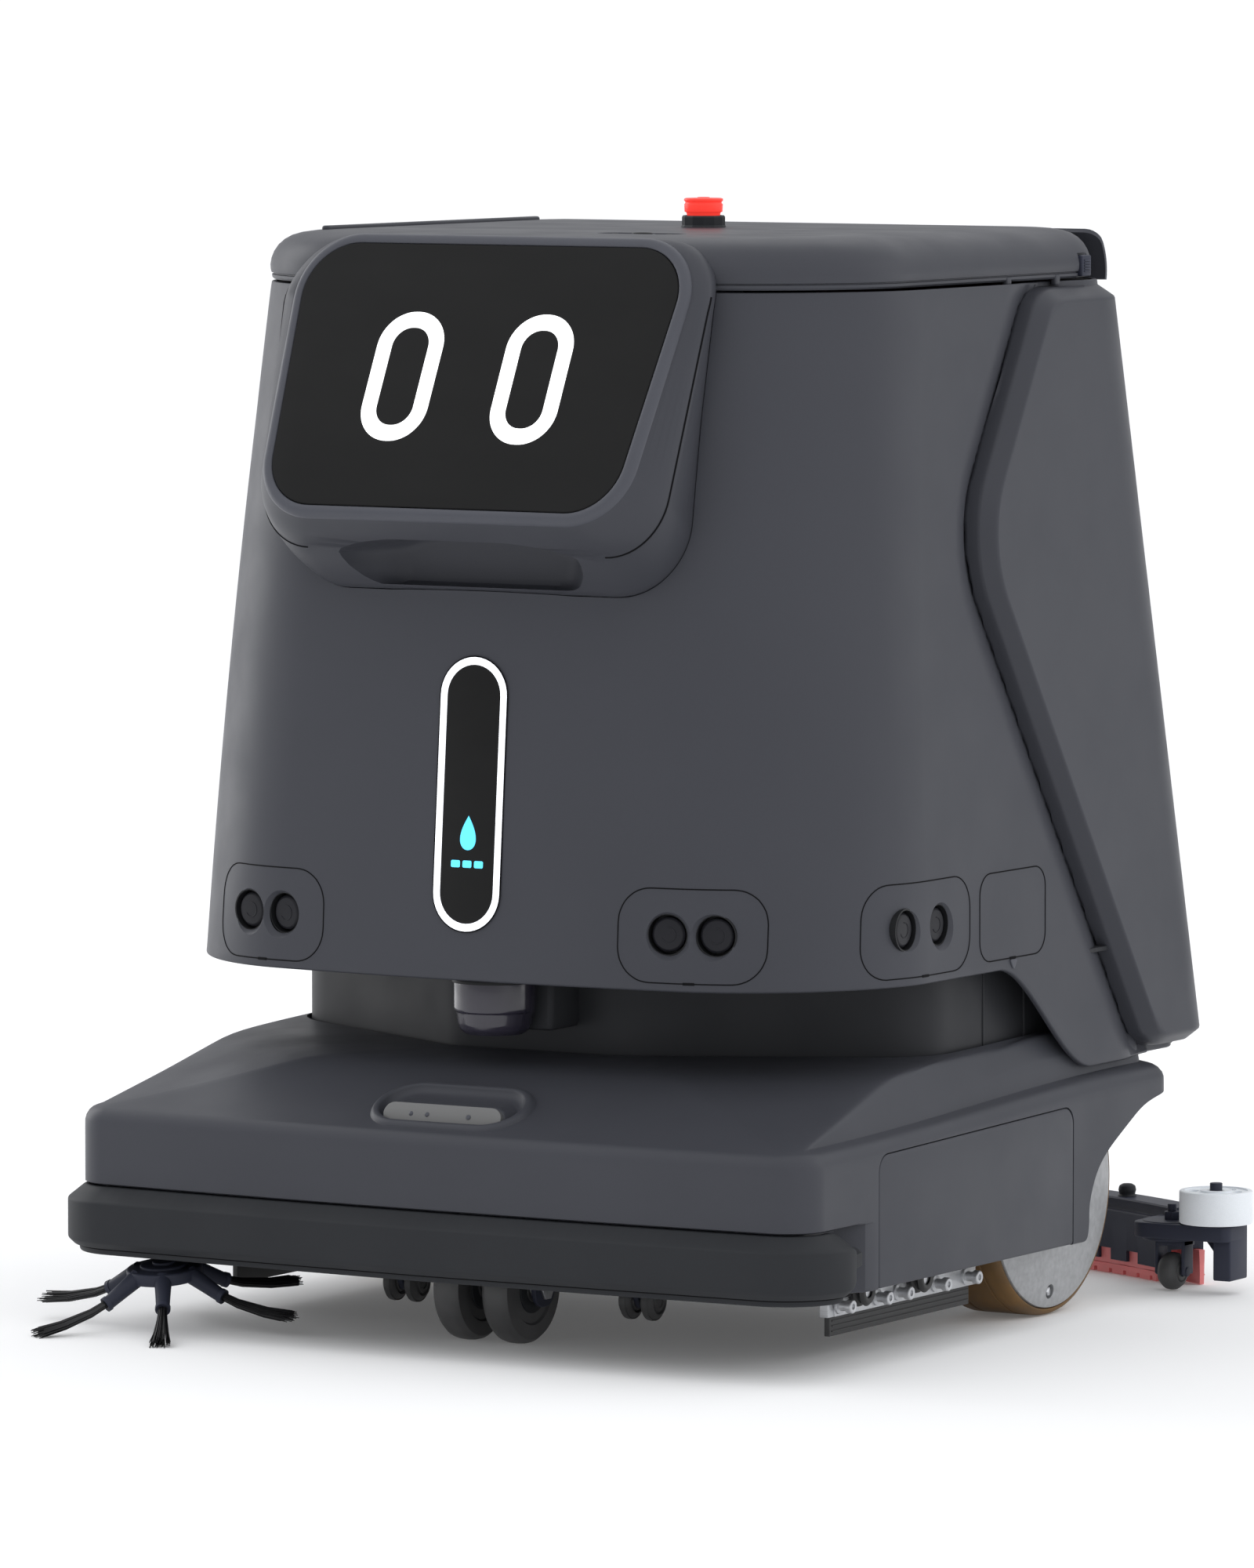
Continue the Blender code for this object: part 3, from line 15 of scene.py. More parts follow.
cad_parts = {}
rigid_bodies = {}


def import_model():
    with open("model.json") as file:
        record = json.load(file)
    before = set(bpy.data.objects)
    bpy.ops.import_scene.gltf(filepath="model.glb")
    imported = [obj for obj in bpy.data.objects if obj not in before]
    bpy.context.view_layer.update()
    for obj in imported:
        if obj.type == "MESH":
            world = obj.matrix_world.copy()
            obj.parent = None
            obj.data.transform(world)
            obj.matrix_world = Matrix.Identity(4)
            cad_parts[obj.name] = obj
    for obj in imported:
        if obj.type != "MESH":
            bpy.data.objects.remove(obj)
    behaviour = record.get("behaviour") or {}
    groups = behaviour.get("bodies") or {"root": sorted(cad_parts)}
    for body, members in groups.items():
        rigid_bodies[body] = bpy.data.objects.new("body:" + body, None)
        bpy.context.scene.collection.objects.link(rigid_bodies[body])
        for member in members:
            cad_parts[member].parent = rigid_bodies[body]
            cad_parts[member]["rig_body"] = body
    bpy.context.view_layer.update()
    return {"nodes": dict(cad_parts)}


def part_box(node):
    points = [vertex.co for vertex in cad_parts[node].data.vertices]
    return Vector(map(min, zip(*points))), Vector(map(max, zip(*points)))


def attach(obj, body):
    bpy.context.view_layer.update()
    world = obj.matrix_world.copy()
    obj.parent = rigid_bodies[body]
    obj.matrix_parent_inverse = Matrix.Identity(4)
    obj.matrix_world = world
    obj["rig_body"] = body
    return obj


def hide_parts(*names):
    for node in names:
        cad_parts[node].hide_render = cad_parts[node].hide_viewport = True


for start_object in list(bpy.data.objects):
    bpy.data.objects.remove(start_object, do_unlink=True)
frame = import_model()
FULL_TURN = 2 * pi
SIDES = (("left", 1), ("right", -1))
PAIR = (-1, 1)
WELD = 1e-6
BOW_DEPTH = 0.15
ARC_STEPS = 60


# ---------------------------------------------------------------- finishes

class Nodes:
    """A few shorthands for wiring one material."""

    def __init__(self, name):
        self.material = bpy.data.materials.new(name)
        self.material.use_nodes = True
        self.tree = self.material.node_tree
        self.shader = self.tree.nodes["Principled BSDF"]
        self.place = self.add("ShaderNodeTexCoord").outputs["Object"]

    def add(self, kind, **values):
        made = self.tree.nodes.new(kind)
        for key, value in values.items():
            setattr(made, key, value)
        return made

    def link(self, source, target):
        self.tree.links.new(source, target)

    def noise(self, scale, detail=2.0, stretch=(1, 1, 1)):
        spread = self.add("ShaderNodeMapping")
        spread.inputs["Scale"].default_value = stretch
        self.link(self.place, spread.inputs["Vector"])
        made = self.add("ShaderNodeTexNoise")
        made.inputs["Scale"].default_value = scale
        made.inputs["Detail"].default_value = detail
        self.link(spread.outputs["Vector"], made.inputs["Vector"])
        return made.outputs["Fac"]

    def remap(self, source, low, high, start=0.3, stop=0.7):
        made = self.add("ShaderNodeMapRange")
        made.inputs["From Min"].default_value = start
        made.inputs["From Max"].default_value = stop
        made.inputs["To Min"].default_value = low
        made.inputs["To Max"].default_value = high
        self.link(source, made.inputs["Value"])
        return made.outputs["Result"]

    def math(self, operation, first, second):
        made = self.add("ShaderNodeMath", operation=operation)
        for socket, value in zip(made.inputs, (first, second)):
            if isinstance(value, (int, float)):
                socket.default_value = value
            else:
                self.link(value, socket)
        return made.outputs["Value"]

    def mix(self, share, first, second):
        made = self.add("ShaderNodeMix", data_type="RGBA")
        for socket, value in ((made.inputs[0], share), (made.inputs[6], first), (made.inputs[7], second)):
            if isinstance(value, tuple):
                socket.default_value = (*value, 1.0)
            elif isinstance(value, (int, float)):
                socket.default_value = value
            else:
                self.link(value, socket)
        return made.outputs[2]

    def bump(self, height, strength, distance, before=None):
        made = self.add("ShaderNodeBump")
        made.inputs["Strength"].default_value = strength
        made.inputs["Distance"].default_value = distance
        self.link(height, made.inputs["Height"])
        if before is not None:
            self.link(before, made.inputs["Normal"])
        return made.outputs["Normal"]


def tint(colour, factor):
    return tuple(min(1.0, part * factor) for part in colour)


def moulded(name, colour, rough, grain=1400, bump=0.12, mottle=0.04, wear=0.12, coat=0.0, specular=0.18,
            painted_glow=0.0):
    """Moulded plastic: spark-eroded grain, slight tone drift, patchy sheen and rubbed edges; an optional
    emission adds a painted glow, standing in for light on parts that hold no lamp.
    """
    made = Nodes(name)
    drift = made.noise(7.0, 3.0)
    tone = made.mix(made.remap(drift, 0, 1), tint(colour, 1 - mottle), tint(colour, 1 + mottle))
    fine = made.noise(grain, 2.0)
    tone = made.mix(made.remap(fine, 0, 0.35), tone, tint(colour, 0.86))
    if wear:
        edge = made.add("ShaderNodeNewGeometry").outputs["Pointiness"]
        edge = made.remap(edge, 0, 1, 0.515, 0.60)
        edge = made.math("MULTIPLY", edge, made.remap(made.noise(45.0, 4.0), 0.2, 1))
        tone = made.mix(made.math("MULTIPLY", edge, wear), tone, tint(colour, 1.9))
    made.link(tone, made.shader.inputs["Base Color"])
    sheen = made.remap(made.noise(22.0, 4.0), rough - 0.05, rough + 0.06)
    made.link(sheen, made.shader.inputs["Roughness"])
    made.shader.inputs["Specular IOR Level"].default_value = specular
    made.shader.inputs["Coat Weight"].default_value = coat
    made.shader.inputs["Coat Roughness"].default_value = 0.12
    made.shader.inputs["Emission Color"].default_value = (*colour, 1.0)
    # emission of the plastic's own colour: a painted glow, not a lamp
    made.shader.inputs["Emission Strength"].default_value = painted_glow
    waves = made.bump(made.noise(60.0, 2.0), 0.05, 0.0004)
    made.link(made.bump(fine, bump, 0.00012, waves), made.shader.inputs["Normal"])
    return made.material


def rubbery(name, colour, rough, mottle=0.12):
    """Soft rubber: dusty patches and fine pores."""
    made = Nodes(name)
    dust = made.remap(made.noise(38.0, 5.0), 0, 1, 0.42, 0.66)
    tone = made.mix(dust, tint(colour, 1 - mottle), tint(colour, 1 + 2 * mottle))
    made.link(tone, made.shader.inputs["Base Color"])
    made.link(made.remap(dust, rough - 0.06, rough + 0.06, 0, 1), made.shader.inputs["Roughness"])
    normal = made.bump(made.noise(900.0, 3.0), 0.25, 0.0002)
    made.link(normal, made.shader.inputs["Normal"])
    return made.material


def brushed(name, colour, rough, metallic=1.0, stretch=(1, 40, 40), scale=60.0, depth=0.10):
    """Machined or brushed metal: streaks along one direction, light scuffs and smudges."""
    made = Nodes(name)
    streak = made.noise(scale, 4.0, stretch)
    smudge = made.noise(28.0, 3.0)
    made.link(made.mix(made.remap(streak, 0, 1), tint(colour, 0.86), tint(colour, 1.12)),
              made.shader.inputs["Base Color"])
    level = made.math("ADD", made.remap(streak, -0.05, 0.05), made.remap(smudge, rough - 0.05, rough + 0.08))
    made.link(level, made.shader.inputs["Roughness"])
    made.shader.inputs["Metallic"].default_value = metallic
    made.link(made.bump(streak, depth, 0.0002), made.shader.inputs["Normal"])
    return made.material


def glossy(name, colour, rough=0.06, smear=0.05, coat=0.6, specular=0.5):
    """Glass or lacquer: near mirror with faint finger smears."""
    made = Nodes(name)
    smears = made.noise(16.0, 6.0, (1, 1, 2.5))
    made.link(made.mix(made.remap(smears, 0, 1), tint(colour, 0.97), tint(colour, 1.05)),
              made.shader.inputs["Base Color"])
    made.link(made.remap(smears, rough, rough + smear, 0.45, 0.75), made.shader.inputs["Roughness"])
    made.shader.inputs["Specular IOR Level"].default_value = specular
    made.shader.inputs["Coat Weight"].default_value = coat
    made.shader.inputs["Coat Roughness"].default_value = 0.04
    made.link(made.bump(made.noise(9.0, 1.0), 0.02, 0.0004), made.shader.inputs["Normal"])
    return made.material


def glowing(name, colour, strength):
    """A lit surface behind a diffuser, slightly uneven along its length."""
    made = Nodes(name)
    made.shader.inputs["Base Color"].default_value = (*tint(colour, 0.8), 1.0)
    made.shader.inputs["Roughness"].default_value = 0.35
    made.shader.inputs["Emission Color"].default_value = (*colour, 1.0)
    uneven = made.remap(made.noise(30.0, 2.0), strength * 0.94, strength * 1.06)
    made.link(uneven, made.shader.inputs["Emission Strength"])
    return made.material


SHELL = (0.0560, 0.0580, 0.0685)
FINISH = {
    "shell": moulded("shell_plastic", SHELL, 0.42),
    "bezel": moulded("bezel_plastic", tint(SHELL, 1.45), 0.36, wear=0.1),
    "waist": moulded("waist_plastic", (0.0290, 0.0300, 0.0335), 0.50, wear=0.1),
    "bumper": moulded("bumper_rubber", (0.0255, 0.0272, 0.0308), 0.56, grain=1000, bump=0.2, wear=0.15),
    "dark": moulded("dark_plastic", (0.0130, 0.0135, 0.0150), 0.45, wear=0.1),
    "seam": moulded("seam_shadow", (0.0060, 0.0060, 0.0070), 0.80, wear=0.0, specular=0.1),
    "sensor": moulded("sensor_plastic", (0.0150, 0.0152, 0.0190), 0.38, grain=1800, wear=0.2),
    "navy": moulded("navy_plastic", (0.0300, 0.0330, 0.0500), 0.46, grain=1100, wear=0.3),
    "lidar": glossy("lidar_lacquer", (0.0240, 0.0215, 0.0340), 0.16, coat=0.3),
    "glass": glossy("black_glass", (0.0150, 0.0150, 0.0150), 0.30, smear=0.08, coat=0.0, specular=0.08),
    "window": glossy("grey_window", (0.1400, 0.1400, 0.1390), 0.20, coat=0.15),
    "light": glowing("light_guide", (0.93, 0.95, 1.0), 1.15),
    "eyes": glowing("display_white", (1.0, 1.0, 1.0), 1.2),
    "cyan": glowing("display_cyan", (0.10, 0.62, 0.90), 0.9),
    # painted glow: the red stop button, drain plug and tank handle glow through emission although they hold
    # no lamp
    "red": moulded("signal_red_painted_glow", (0.92, 0.050, 0.036), 0.34, wear=0.0, coat=0.1, mottle=0.03, painted_glow=0.6),
    "aluminium": brushed("machined_aluminium", (0.60, 0.61, 0.63), 0.40, metallic=0.7),
    "steel": brushed("zinc_steel", (0.52, 0.53, 0.55), 0.30, stretch=(20, 20, 1)),
    "hub": brushed("cast_hub", (0.37, 0.375, 0.385), 0.42, metallic=0.35, stretch=(1, 1, 1), scale=240.0,
                   depth=0.03),
    "tyre": rubbery("brown_polyurethane", (0.132, 0.066, 0.013), 0.56),
    "rubber": rubbery("grey_rubber", (0.0480, 0.0480, 0.0490), 0.62),
    "caster": rubbery("dark_caster", (0.0720, 0.0720, 0.0735), 0.50),
    "red_rubber": rubbery("red_rubber", (0.92, 0.25, 0.25), 0.46, mottle=0.06),
    "white": moulded("white_nylon", (0.84, 0.875, 0.91), 0.36, wear=0.0, mottle=0.02),
    "bristle": rubbery("black_bristle", (0.0090, 0.0090, 0.0100), 0.40, mottle=0.3),
    "internal": moulded("inner_plastic", (0.10, 0.11, 0.12), 0.50),
    "tank": moulded("translucent_tank", (0.46, 0.51, 0.53), 0.30, wear=0.0, coat=0.2),
    "copper": brushed("contact_copper", (0.75, 0.42, 0.20), 0.28),
}


# ---------------------------------------------------------------- mesh helpers

def mesh_of(name, points, faces):
    made = bpy.data.meshes.new(name)
    made.from_pydata([tuple(point) for point in points], [], faces)
    made.update()
    return made


def distances(points):
    """How far along a line of points each one lies."""
    return np.concatenate([[0.0], np.cumsum(np.linalg.norm(np.diff(points, axis=0), axis=1))])


def tidy(mesh):
    """Weld points that coincide and turn every face outward."""
    bm = bmesh.new()
    bm.from_mesh(mesh)
    bmesh.ops.remove_doubles(bm, verts=bm.verts, dist=WELD)
    bmesh.ops.recalc_face_normals(bm, faces=bm.faces)
    bm.to_mesh(mesh)
    bm.free()
    return mesh


def skin(name, rings, caps=True, loop=False):
    """Quads between rings of equal count; loop joins the last ring to the first."""
    rings = [np.asarray(ring, float) for ring in rings]
    count = len(rings[0])
    levels = len(rings)
    faces = []
    for level in range(levels if loop else levels - 1):
        low = level * count
        high = ((level + 1) % levels) * count
        for i in range(count):
            j = (i + 1) % count
            faces.append((low + i, low + j, high + j, high + i))
    if caps and not loop:
        faces.append(tuple(range(count - 1, -1, -1)))
        faces.append(tuple(range((levels - 1) * count, levels * count)))
    return tidy(mesh_of(name, np.vstack(rings), faces))


def sheet(name, rows):
    """An open grid surface through rows of equal count."""
    rows = [np.asarray(row, float) for row in rows]
    count = len(rows[0])
    faces = []
    for level in range(len(rows) - 1):
        for i in range(count - 1):
            low = level * count + i
            faces.append((low, low + 1, low + 1 + count, low + count))
    return tidy(mesh_of(name, np.vstack(rows), faces))


def arc(cx, cy, radius, start, end, steps):
    """Points on an arc from start to end, in degrees."""
    angles = np.radians(np.linspace(start, end, steps + 1))
    return [(cx + radius * cos(a), cy + radius * sin(a)) for a in angles]


def rounded_polygon(corners, radii, steps=8):
    """Round each corner of a counter-clockwise convex polygon with its own radius."""
    points = []
    for i, corner in enumerate(corners):
        here = Vector(corner)
        before = (Vector(corners[i - 1]) - here).normalized()
        after = (Vector(corners[(i + 1) % len(corners)]) - here).normalized()
        half = acos(max(-1.0, min(1.0, before.dot(after)))) / 2
        middle = (before + after).normalized()
        centre = here + middle * (radii[i] / sin(half))
        facing = atan2(-middle.y, -middle.x)
        for k in range(steps + 1):
            angle = facing + (pi - 2 * half) * (k / steps - 0.5)
            points.append((centre.x + radii[i] * cos(angle), centre.y + radii[i] * sin(angle)))
    return points


def rounded_box(half_width, half_height, radius, steps=6):
    corners = [(-half_width, -half_height), (half_width, -half_height),
               (half_width, half_height), (-half_width, half_height)]
    return rounded_polygon(corners, [radius] * 4, steps)


def capsule(half_width, half_height, steps=16):
    straight = half_height - half_width
    return arc(0, straight, half_width, 0, 180, steps) + arc(0, -straight, half_width, 180, 360, steps)


def inward(outline, distance):
    """Move each point of a counter-clockwise outline inward by distance."""
    ring = np.asarray(outline, float)
    ahead = np.roll(ring, -1, 0) - ring
    behind = ring - np.roll(ring, 1, 0)
    size = np.maximum(np.linalg.norm(ahead, axis=1), 1e-9)[:, None]
    back_size = np.maximum(np.linalg.norm(behind, axis=1), 1e-9)[:, None]
    along = ahead / size + behind / back_size
    along /= np.maximum(np.linalg.norm(along, axis=1), 1e-9)[:, None]
    return ring + np.stack([-along[:, 1], along[:, 0]], 1) * distance


def flat_ring(outline, height):
    ring = np.asarray(outline, float)
    return np.column_stack([ring, np.full(len(ring), height)])


def slab(name, outline, low, high, edge=0.0006, steps=3):
    """A flat outline given thickness, with rounded edges above and below."""
    rings = []
    for k in range(steps + 1):
        angle = pi / 2 * k / steps
        rings.append(flat_ring(inward(outline, edge * (1 - sin(angle))), low + edge * (1 - cos(angle))))
    for k in range(steps, -1, -1):
        angle = pi / 2 * k / steps
        rings.append(flat_ring(inward(outline, edge * (1 - sin(angle))), high - edge * (1 - cos(angle))))
    return skin(name, rings)


def softened(points, radius, steps=3):
    """Replace each inner corner of a line of points with a small curve."""
    points = [np.asarray(point, float) for point in points]
    out = [points[0]]
    for before, here, after in zip(points, points[1:], points[2:]):
        reach_in = min(radius, np.linalg.norm(here - before) * 0.45)
        reach_out = min(radius, np.linalg.norm(after - here) * 0.45)
        if reach_in < 1e-7 or reach_out < 1e-7:
            out.append(here)
            continue
        start = here + (before - here) / np.linalg.norm(before - here) * reach_in
        stop = here + (after - here) / np.linalg.norm(after - here) * reach_out
        for k in range(steps + 1):
            t = k / steps
            out.append(start * (1 - t) ** 2 + here * 2 * t * (1 - t) + stop * t ** 2)
    out.append(points[-1])
    return out


def turned(name, profile, segments=64, closed=False):
    """Sweep (radius, height) points about Z."""
    rings = []
    for radius, height in profile:
        angles = np.linspace(0, FULL_TURN, segments, endpoint=False)
        across = [radius * np.cos(angles), radius * np.sin(angles), np.full(segments, height)]
        rings.append(np.column_stack(across))
    return skin(name, rings, caps=False, loop=closed)


def tube(name, points, radius, sides=10, closed=False, radii=None):
    """A round bar along a line of points, with frames carried smoothly from one to the next."""
    points = [Vector(point) for point in points]
    count = len(points)
    rings = []
    side = None
    for i, point in enumerate(points):
        after = points[(i + 1) % count] if closed or i < count - 1 else point
        before = points[i - 1] if closed or i > 0 else point
        along = (after - before).normalized()
        if side is None:
            side = along.orthogonal().normalized()
        side = (side - along * side.dot(along)).normalized()
        other = along.cross(side)
        size = radius if radii is None else radii[i]
        angles = [FULL_TURN * k / sides for k in range(sides)]
        rings.append([point + side * (size * cos(angle)) + other * (size * sin(angle)) for angle in angles])
    return skin(name, rings, caps=not closed, loop=closed)


def box(name, size, centre=(0, 0, 0), edge=0.0008):
    """A block with rounded edges."""
    half = [part / 2 for part in size]
    edge = min(edge, min(half) * 0.8)
    outline = rounded_box(half[0], half[1], edge, 3)
    made = slab(name, outline, -half[2], half[2], edge * 0.9, 2)
    made.transform(Matrix.Translation(centre))
    return made


def aim(direction):
    """Turn that points a shape's own Z axis along a direction."""
    return Vector(direction).to_track_quat("Z", "Y").to_matrix().to_4x4()


def moved(mesh, place=(0, 0, 0), turn=None):
    if turn is not None:
        mesh.transform(turn.to_4x4())
    mesh.transform(Matrix.Translation(place))
    return mesh


def mirrored(mesh, side):
    """The same shape on the other side of the robot when side is -1."""
    if side < 0:
        mesh.transform(Matrix.Scale(-1, 4, (1, 0, 0)))
        mesh.flip_normals()
    return mesh


def merged(name, meshes):
    """One mesh from several that touch or sit inside each other."""
    bm = bmesh.new()
    for mesh in meshes:
        bm.from_mesh(mesh)
        bpy.data.meshes.remove(mesh)
    made = bpy.data.meshes.new(name)
    bm.to_mesh(made)
    bm.free()
    return made


def carved(mesh, cutters):
    """Cut closed shapes out of a closed mesh and return the result."""
    target = bpy.data.objects.new("carve_target", mesh)
    bpy.context.scene.collection.objects.link(target)
    tools = []
    for index, cutter in enumerate(cutters):
        tool = bpy.data.objects.new("carve_tool_%d" % index, cutter)
        bpy.context.scene.collection.objects.link(tool)
        step = target.modifiers.new("carve", "BOOLEAN")
        step.operation = "DIFFERENCE"
        step.object = tool
        tools.append(tool)
    bpy.context.view_layer.update()
    evaluated = target.evaluated_get(bpy.context.evaluated_depsgraph_get())
    made = bpy.data.meshes.new_from_object(evaluated)
    made.name = mesh.name
    for done in tools + [target]:
        bpy.data.objects.remove(done, do_unlink=True)
    return made


def piece(name, mesh, finish, body, nodes=(), sharp=38):
    """Show a mesh with its finish, riding on a body, in place of CAD nodes."""
    made = bpy.data.objects.new(name, mesh)
    bpy.context.scene.collection.objects.link(made)
    mesh.materials.clear()
    mesh.materials.append(FINISH[finish])
    for face in mesh.polygons:
        face.material_index = 0
    mesh.shade_smooth()
    mesh.set_sharp_from_angle(angle=radians(sharp))
    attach(made, body)
    if nodes:
        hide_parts(*nodes)
    return made


def middle(node):
    low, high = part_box(node)
    return (low + high) / 2


def repaint(node, finish):
    """A CAD node whose shape is right keeps it and takes a finer finish."""
    shown = frame["nodes"][node]
    shown.data.materials.clear()
    shown.data.materials.append(FINISH[finish])
    shown.data.shade_smooth()
    shown.data.set_sharp_from_angle(angle=radians(35))


# ---------------------------------------------------------------- the body wall as formulas

BODY_LOW_Z = 0.225
RIM_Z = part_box("body_shell")[1].z + 0.0042
HALF_LOW = 0.251
SIDE_SLOPE = 0.025 / 0.414
LEG_LOW_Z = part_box("body_shell")[0].z
LEG_START_Y = -0.010
LEG_END_Y = 0.102
WALL = 0.003
DIP_REACH = 0.030
DIP_DEPTH = 0.0100
POD_LOW_Z, POD_HIGH_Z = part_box("pod_left")[0].z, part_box("pod_left")[1].z + 0.0075
POD_END_X = 0.150
POD_PROUD = 0.0098
POD_STEP = 0.0013
POD_CHAMFER = 0.0082
PLAN_COUNTS = (24, 28, 120, 16, 18)


def body_front(z):
    t = (z - 0.261) / 0.381
    return -0.2285 + 0.0215 * t + 0.020 * t * t


def body_back(z):
    return 0.2506 - 0.0436 * (z - 0.159) / 0.478


def body_half(z):
    return HALF_LOW - (z - BODY_LOW_Z) * SIDE_SLOPE


def body_corner(z):
    return 0.030 + 0.032 * (z - 0.159) / 0.478


def smooth(t):
    t = np.clip(t, 0.0, 1.0)
    return t * t * (3 - 2 * t)


def leg_edge(y):
    drop = smooth((y - LEG_START_Y) / (LEG_END_Y - LEG_START_Y))
    return BODY_LOW_Z - (BODY_LOW_Z - LEG_LOW_Z) * drop


def half_plan(half, front, back, front_radius, back_radius, counts=PLAN_COUNTS):
    """Right half of a rounded rectangle, from the front centre round to the back centre."""
    part = np.repeat(np.arange(5), counts)
    t = np.concatenate([np.arange(n) / n for n in counts])
    part = np.append(part, 4)
    t = np.append(t, 1.0)
    turn = pi / 2 * t
    side_front = front + front_radius
    side_back = back - back_radius
    xs = [(half - front_radius) * t, half - front_radius + front_radius * np.sin(turn), half + 0 * t,
          half - back_radius + back_radius * np.cos(turn), (half - back_radius) * (1 - t)]
    ys = [front + 0 * t, side_front - front_radius * np.cos(turn), side_front + (side_back - side_front) * t,
          side_back + back_radius * np.sin(turn), back + 0 * t]
    x = np.choose(part, xs)
    y = np.choose(part, ys)
    return x, y


def bowed(x, y, radius):
    """Bend the front of an outline into a wide arc, fading out towards the middle."""
    return y + np.clip(-y / BOW_DEPTH, 0, 1) * x * x / (2 * radius)


def whole(half_ring):
    """Close a right-half ring of points with its mirror image."""
    mirror = half_ring[-2:0:-1] * np.array([-1.0] + [1.0] * (half_ring.shape[1] - 1))
    return np.vstack([half_ring, mirror])


def outward(x, y):
    """Outward unit normals of a plan line that runs from the front centre to the back centre."""
    tx = np.gradient(x)
    ty = np.gradient(y)
    size = np.hypot(tx, ty)
    return ty / size, -tx / size


def pod_outline():
    """Side view of a pod's front edge, as a rounded line of (y, z) points from bottom to top."""
    low_front = (-0.026 + (0.49 - POD_LOW_Z) * 0.60, POD_LOW_Z)
    high_front = (-0.026 + (POD_HIGH_Z - 0.49) * 0.70, POD_HIGH_Z)
    corners = [low_front, (0.9, POD_LOW_Z), (0.9, POD_HIGH_Z), high_front, (-0.026, 0.49)]
    outline = np.array(rounded_polygon(corners, [0.034, 0.001, 0.001, 0.036, 0.075], 16))
    front = outline[outline[:, 0] < 0.4]
    front = front[np.argsort(front[:, 1])]
    length = distances(front)
    at = np.linspace(0, length[-1], 900)
    return np.column_stack([np.interp(at, length, front[:, k]) for k in range(2)])


POD_EDGE = pod_outline()


def ahead_of_pod(y, z):
    """Distance from points on the flank to the pod's front edge."""
    gaps = np.hypot(np.subtract.outer(y, POD_EDGE[:, 0]), np.subtract.outer(z, POD_EDGE[:, 1]))
    return gaps.min(axis=1)


def dip(x, y, z):
    """How far the flank sinks as it runs in under the pod's front edge."""
    near = np.interp(z, POD_EDGE[:, 1], POD_EDGE[:, 0])
    flank = x > body_half(z) - 0.020
    distance = np.where(y < near, ahead_of_pod(y, z), 0.0)
    sunk = DIP_DEPTH * (1 - np.clip(distance / DIP_REACH, 0, 1)) ** 1.8
    under = np.clip((0.145 - y) / 0.03, 0, 1) * (y > near) + (y <= near)
    return np.where(flank, sunk * np.minimum(1.0, under + (z < 0.33)), 0.0)


def wall_ring(share, inset=0.0, lift=0.0):
    """Right half of the wall at a share of the height from its lower edge to its rim."""
    z = np.full(sum(PLAN_COUNTS) + 1, BODY_LOW_Z)
    for _ in range(3):
        x, y = half_plan(body_half(z), body_front(z), body_back(z), 0.110, body_corner(z))
        y = bowed(x, y, 1.3)
        edge = leg_edge(y)
        z = edge + (RIM_Z - edge) * share
    nx, ny = outward(x, y)
    depth = inset + dip(x, y, z)
    return np.column_stack([x - nx * depth, y - ny * depth, z + lift])


def wall_at(z, along):
    """Point and outward direction on the wall, along its plan from the front centre at height z."""
    level = np.full(sum(PLAN_COUNTS) + 1, float(z))
    x, y = half_plan(body_half(level), body_front(level), body_back(level), 0.110, body_corner(level))
    y = bowed(x, y, 1.3)
    nx, ny = outward(x, y)
    length = np.concatenate([[0.0], np.cumsum(np.hypot(np.diff(x), np.diff(y)))])
    at = abs(along)
    side = 1 if along >= 0 else -1
    point = Vector((side * np.interp(at, length, x), np.interp(at, length, y), z))
    facing = Vector((side * np.interp(at, length, nx), np.interp(at, length, ny), 0.0)).normalized()
    return point, facing


def along_at(z, y=None, x=None):
    """Distance along the wall's plan to the flank point at y, or to the front point at x."""
    level = np.full(sum(PLAN_COUNTS) + 1, float(z))
    px, py = half_plan(body_half(level), body_front(level), body_back(level), 0.110, body_corner(level))
    py = bowed(px, py, 1.3)
    length = np.concatenate([[0.0], np.cumsum(np.hypot(np.diff(px), np.diff(py)))])
    if x is not None:
        return float(np.interp(x, px[:52], length[:52]))
    return float(np.interp(y, py, length))


def seam(name, points, body, radius=0.00055, closed=True):
    """A panel joint: a thin dark line let into the surface."""
    return piece(name, tube(name, points, radius, 6, closed), "seam", body, sharp=80)


# ---------------------------------------------------------------- body wall, pockets and pods

SONAR_Z = 0.2592
FRONT_EYES = ((0.1374, -0.2213), (0.1673, -0.2147))
SIDE_EYES = (-0.121, -0.081)
EYE_RADIUS = 0.0106
POCKET_RADIUS = 0.0123


def front_eye_facing(side):
    spread = atan2(FRONT_EYES[1][1] - FRONT_EYES[0][1], FRONT_EYES[1][0] - FRONT_EYES[0][0])
    return Vector((side * sin(spread), -cos(spread), 0.0))


def eyes(side):
    """Mouth point and facing of the four distance sensors on one side."""
    out = [(Vector((side * x, y, SONAR_Z)), front_eye_facing(side)) for x, y in FRONT_EYES]
    for y in SIDE_EYES:
        out.append((Vector((side * body_half(SONAR_Z), y, SONAR_Z)), Vector((side, 0, 0))))
    return out


def pocket_cutter(mouth, facing):
    """A flared round pocket, its mouth a little wider than its bore."""
    flare = POCKET_RADIUS + 0.0016
    profile = [(0, 0.012), (flare + 0.0135, 0.012), (flare, -0.0006), (POCKET_RADIUS, -0.0030),
               (POCKET_RADIUS, -0.0140), (0, -0.0140)]
    return moved(turned("pocket", profile, 40), mouth, aim(facing))


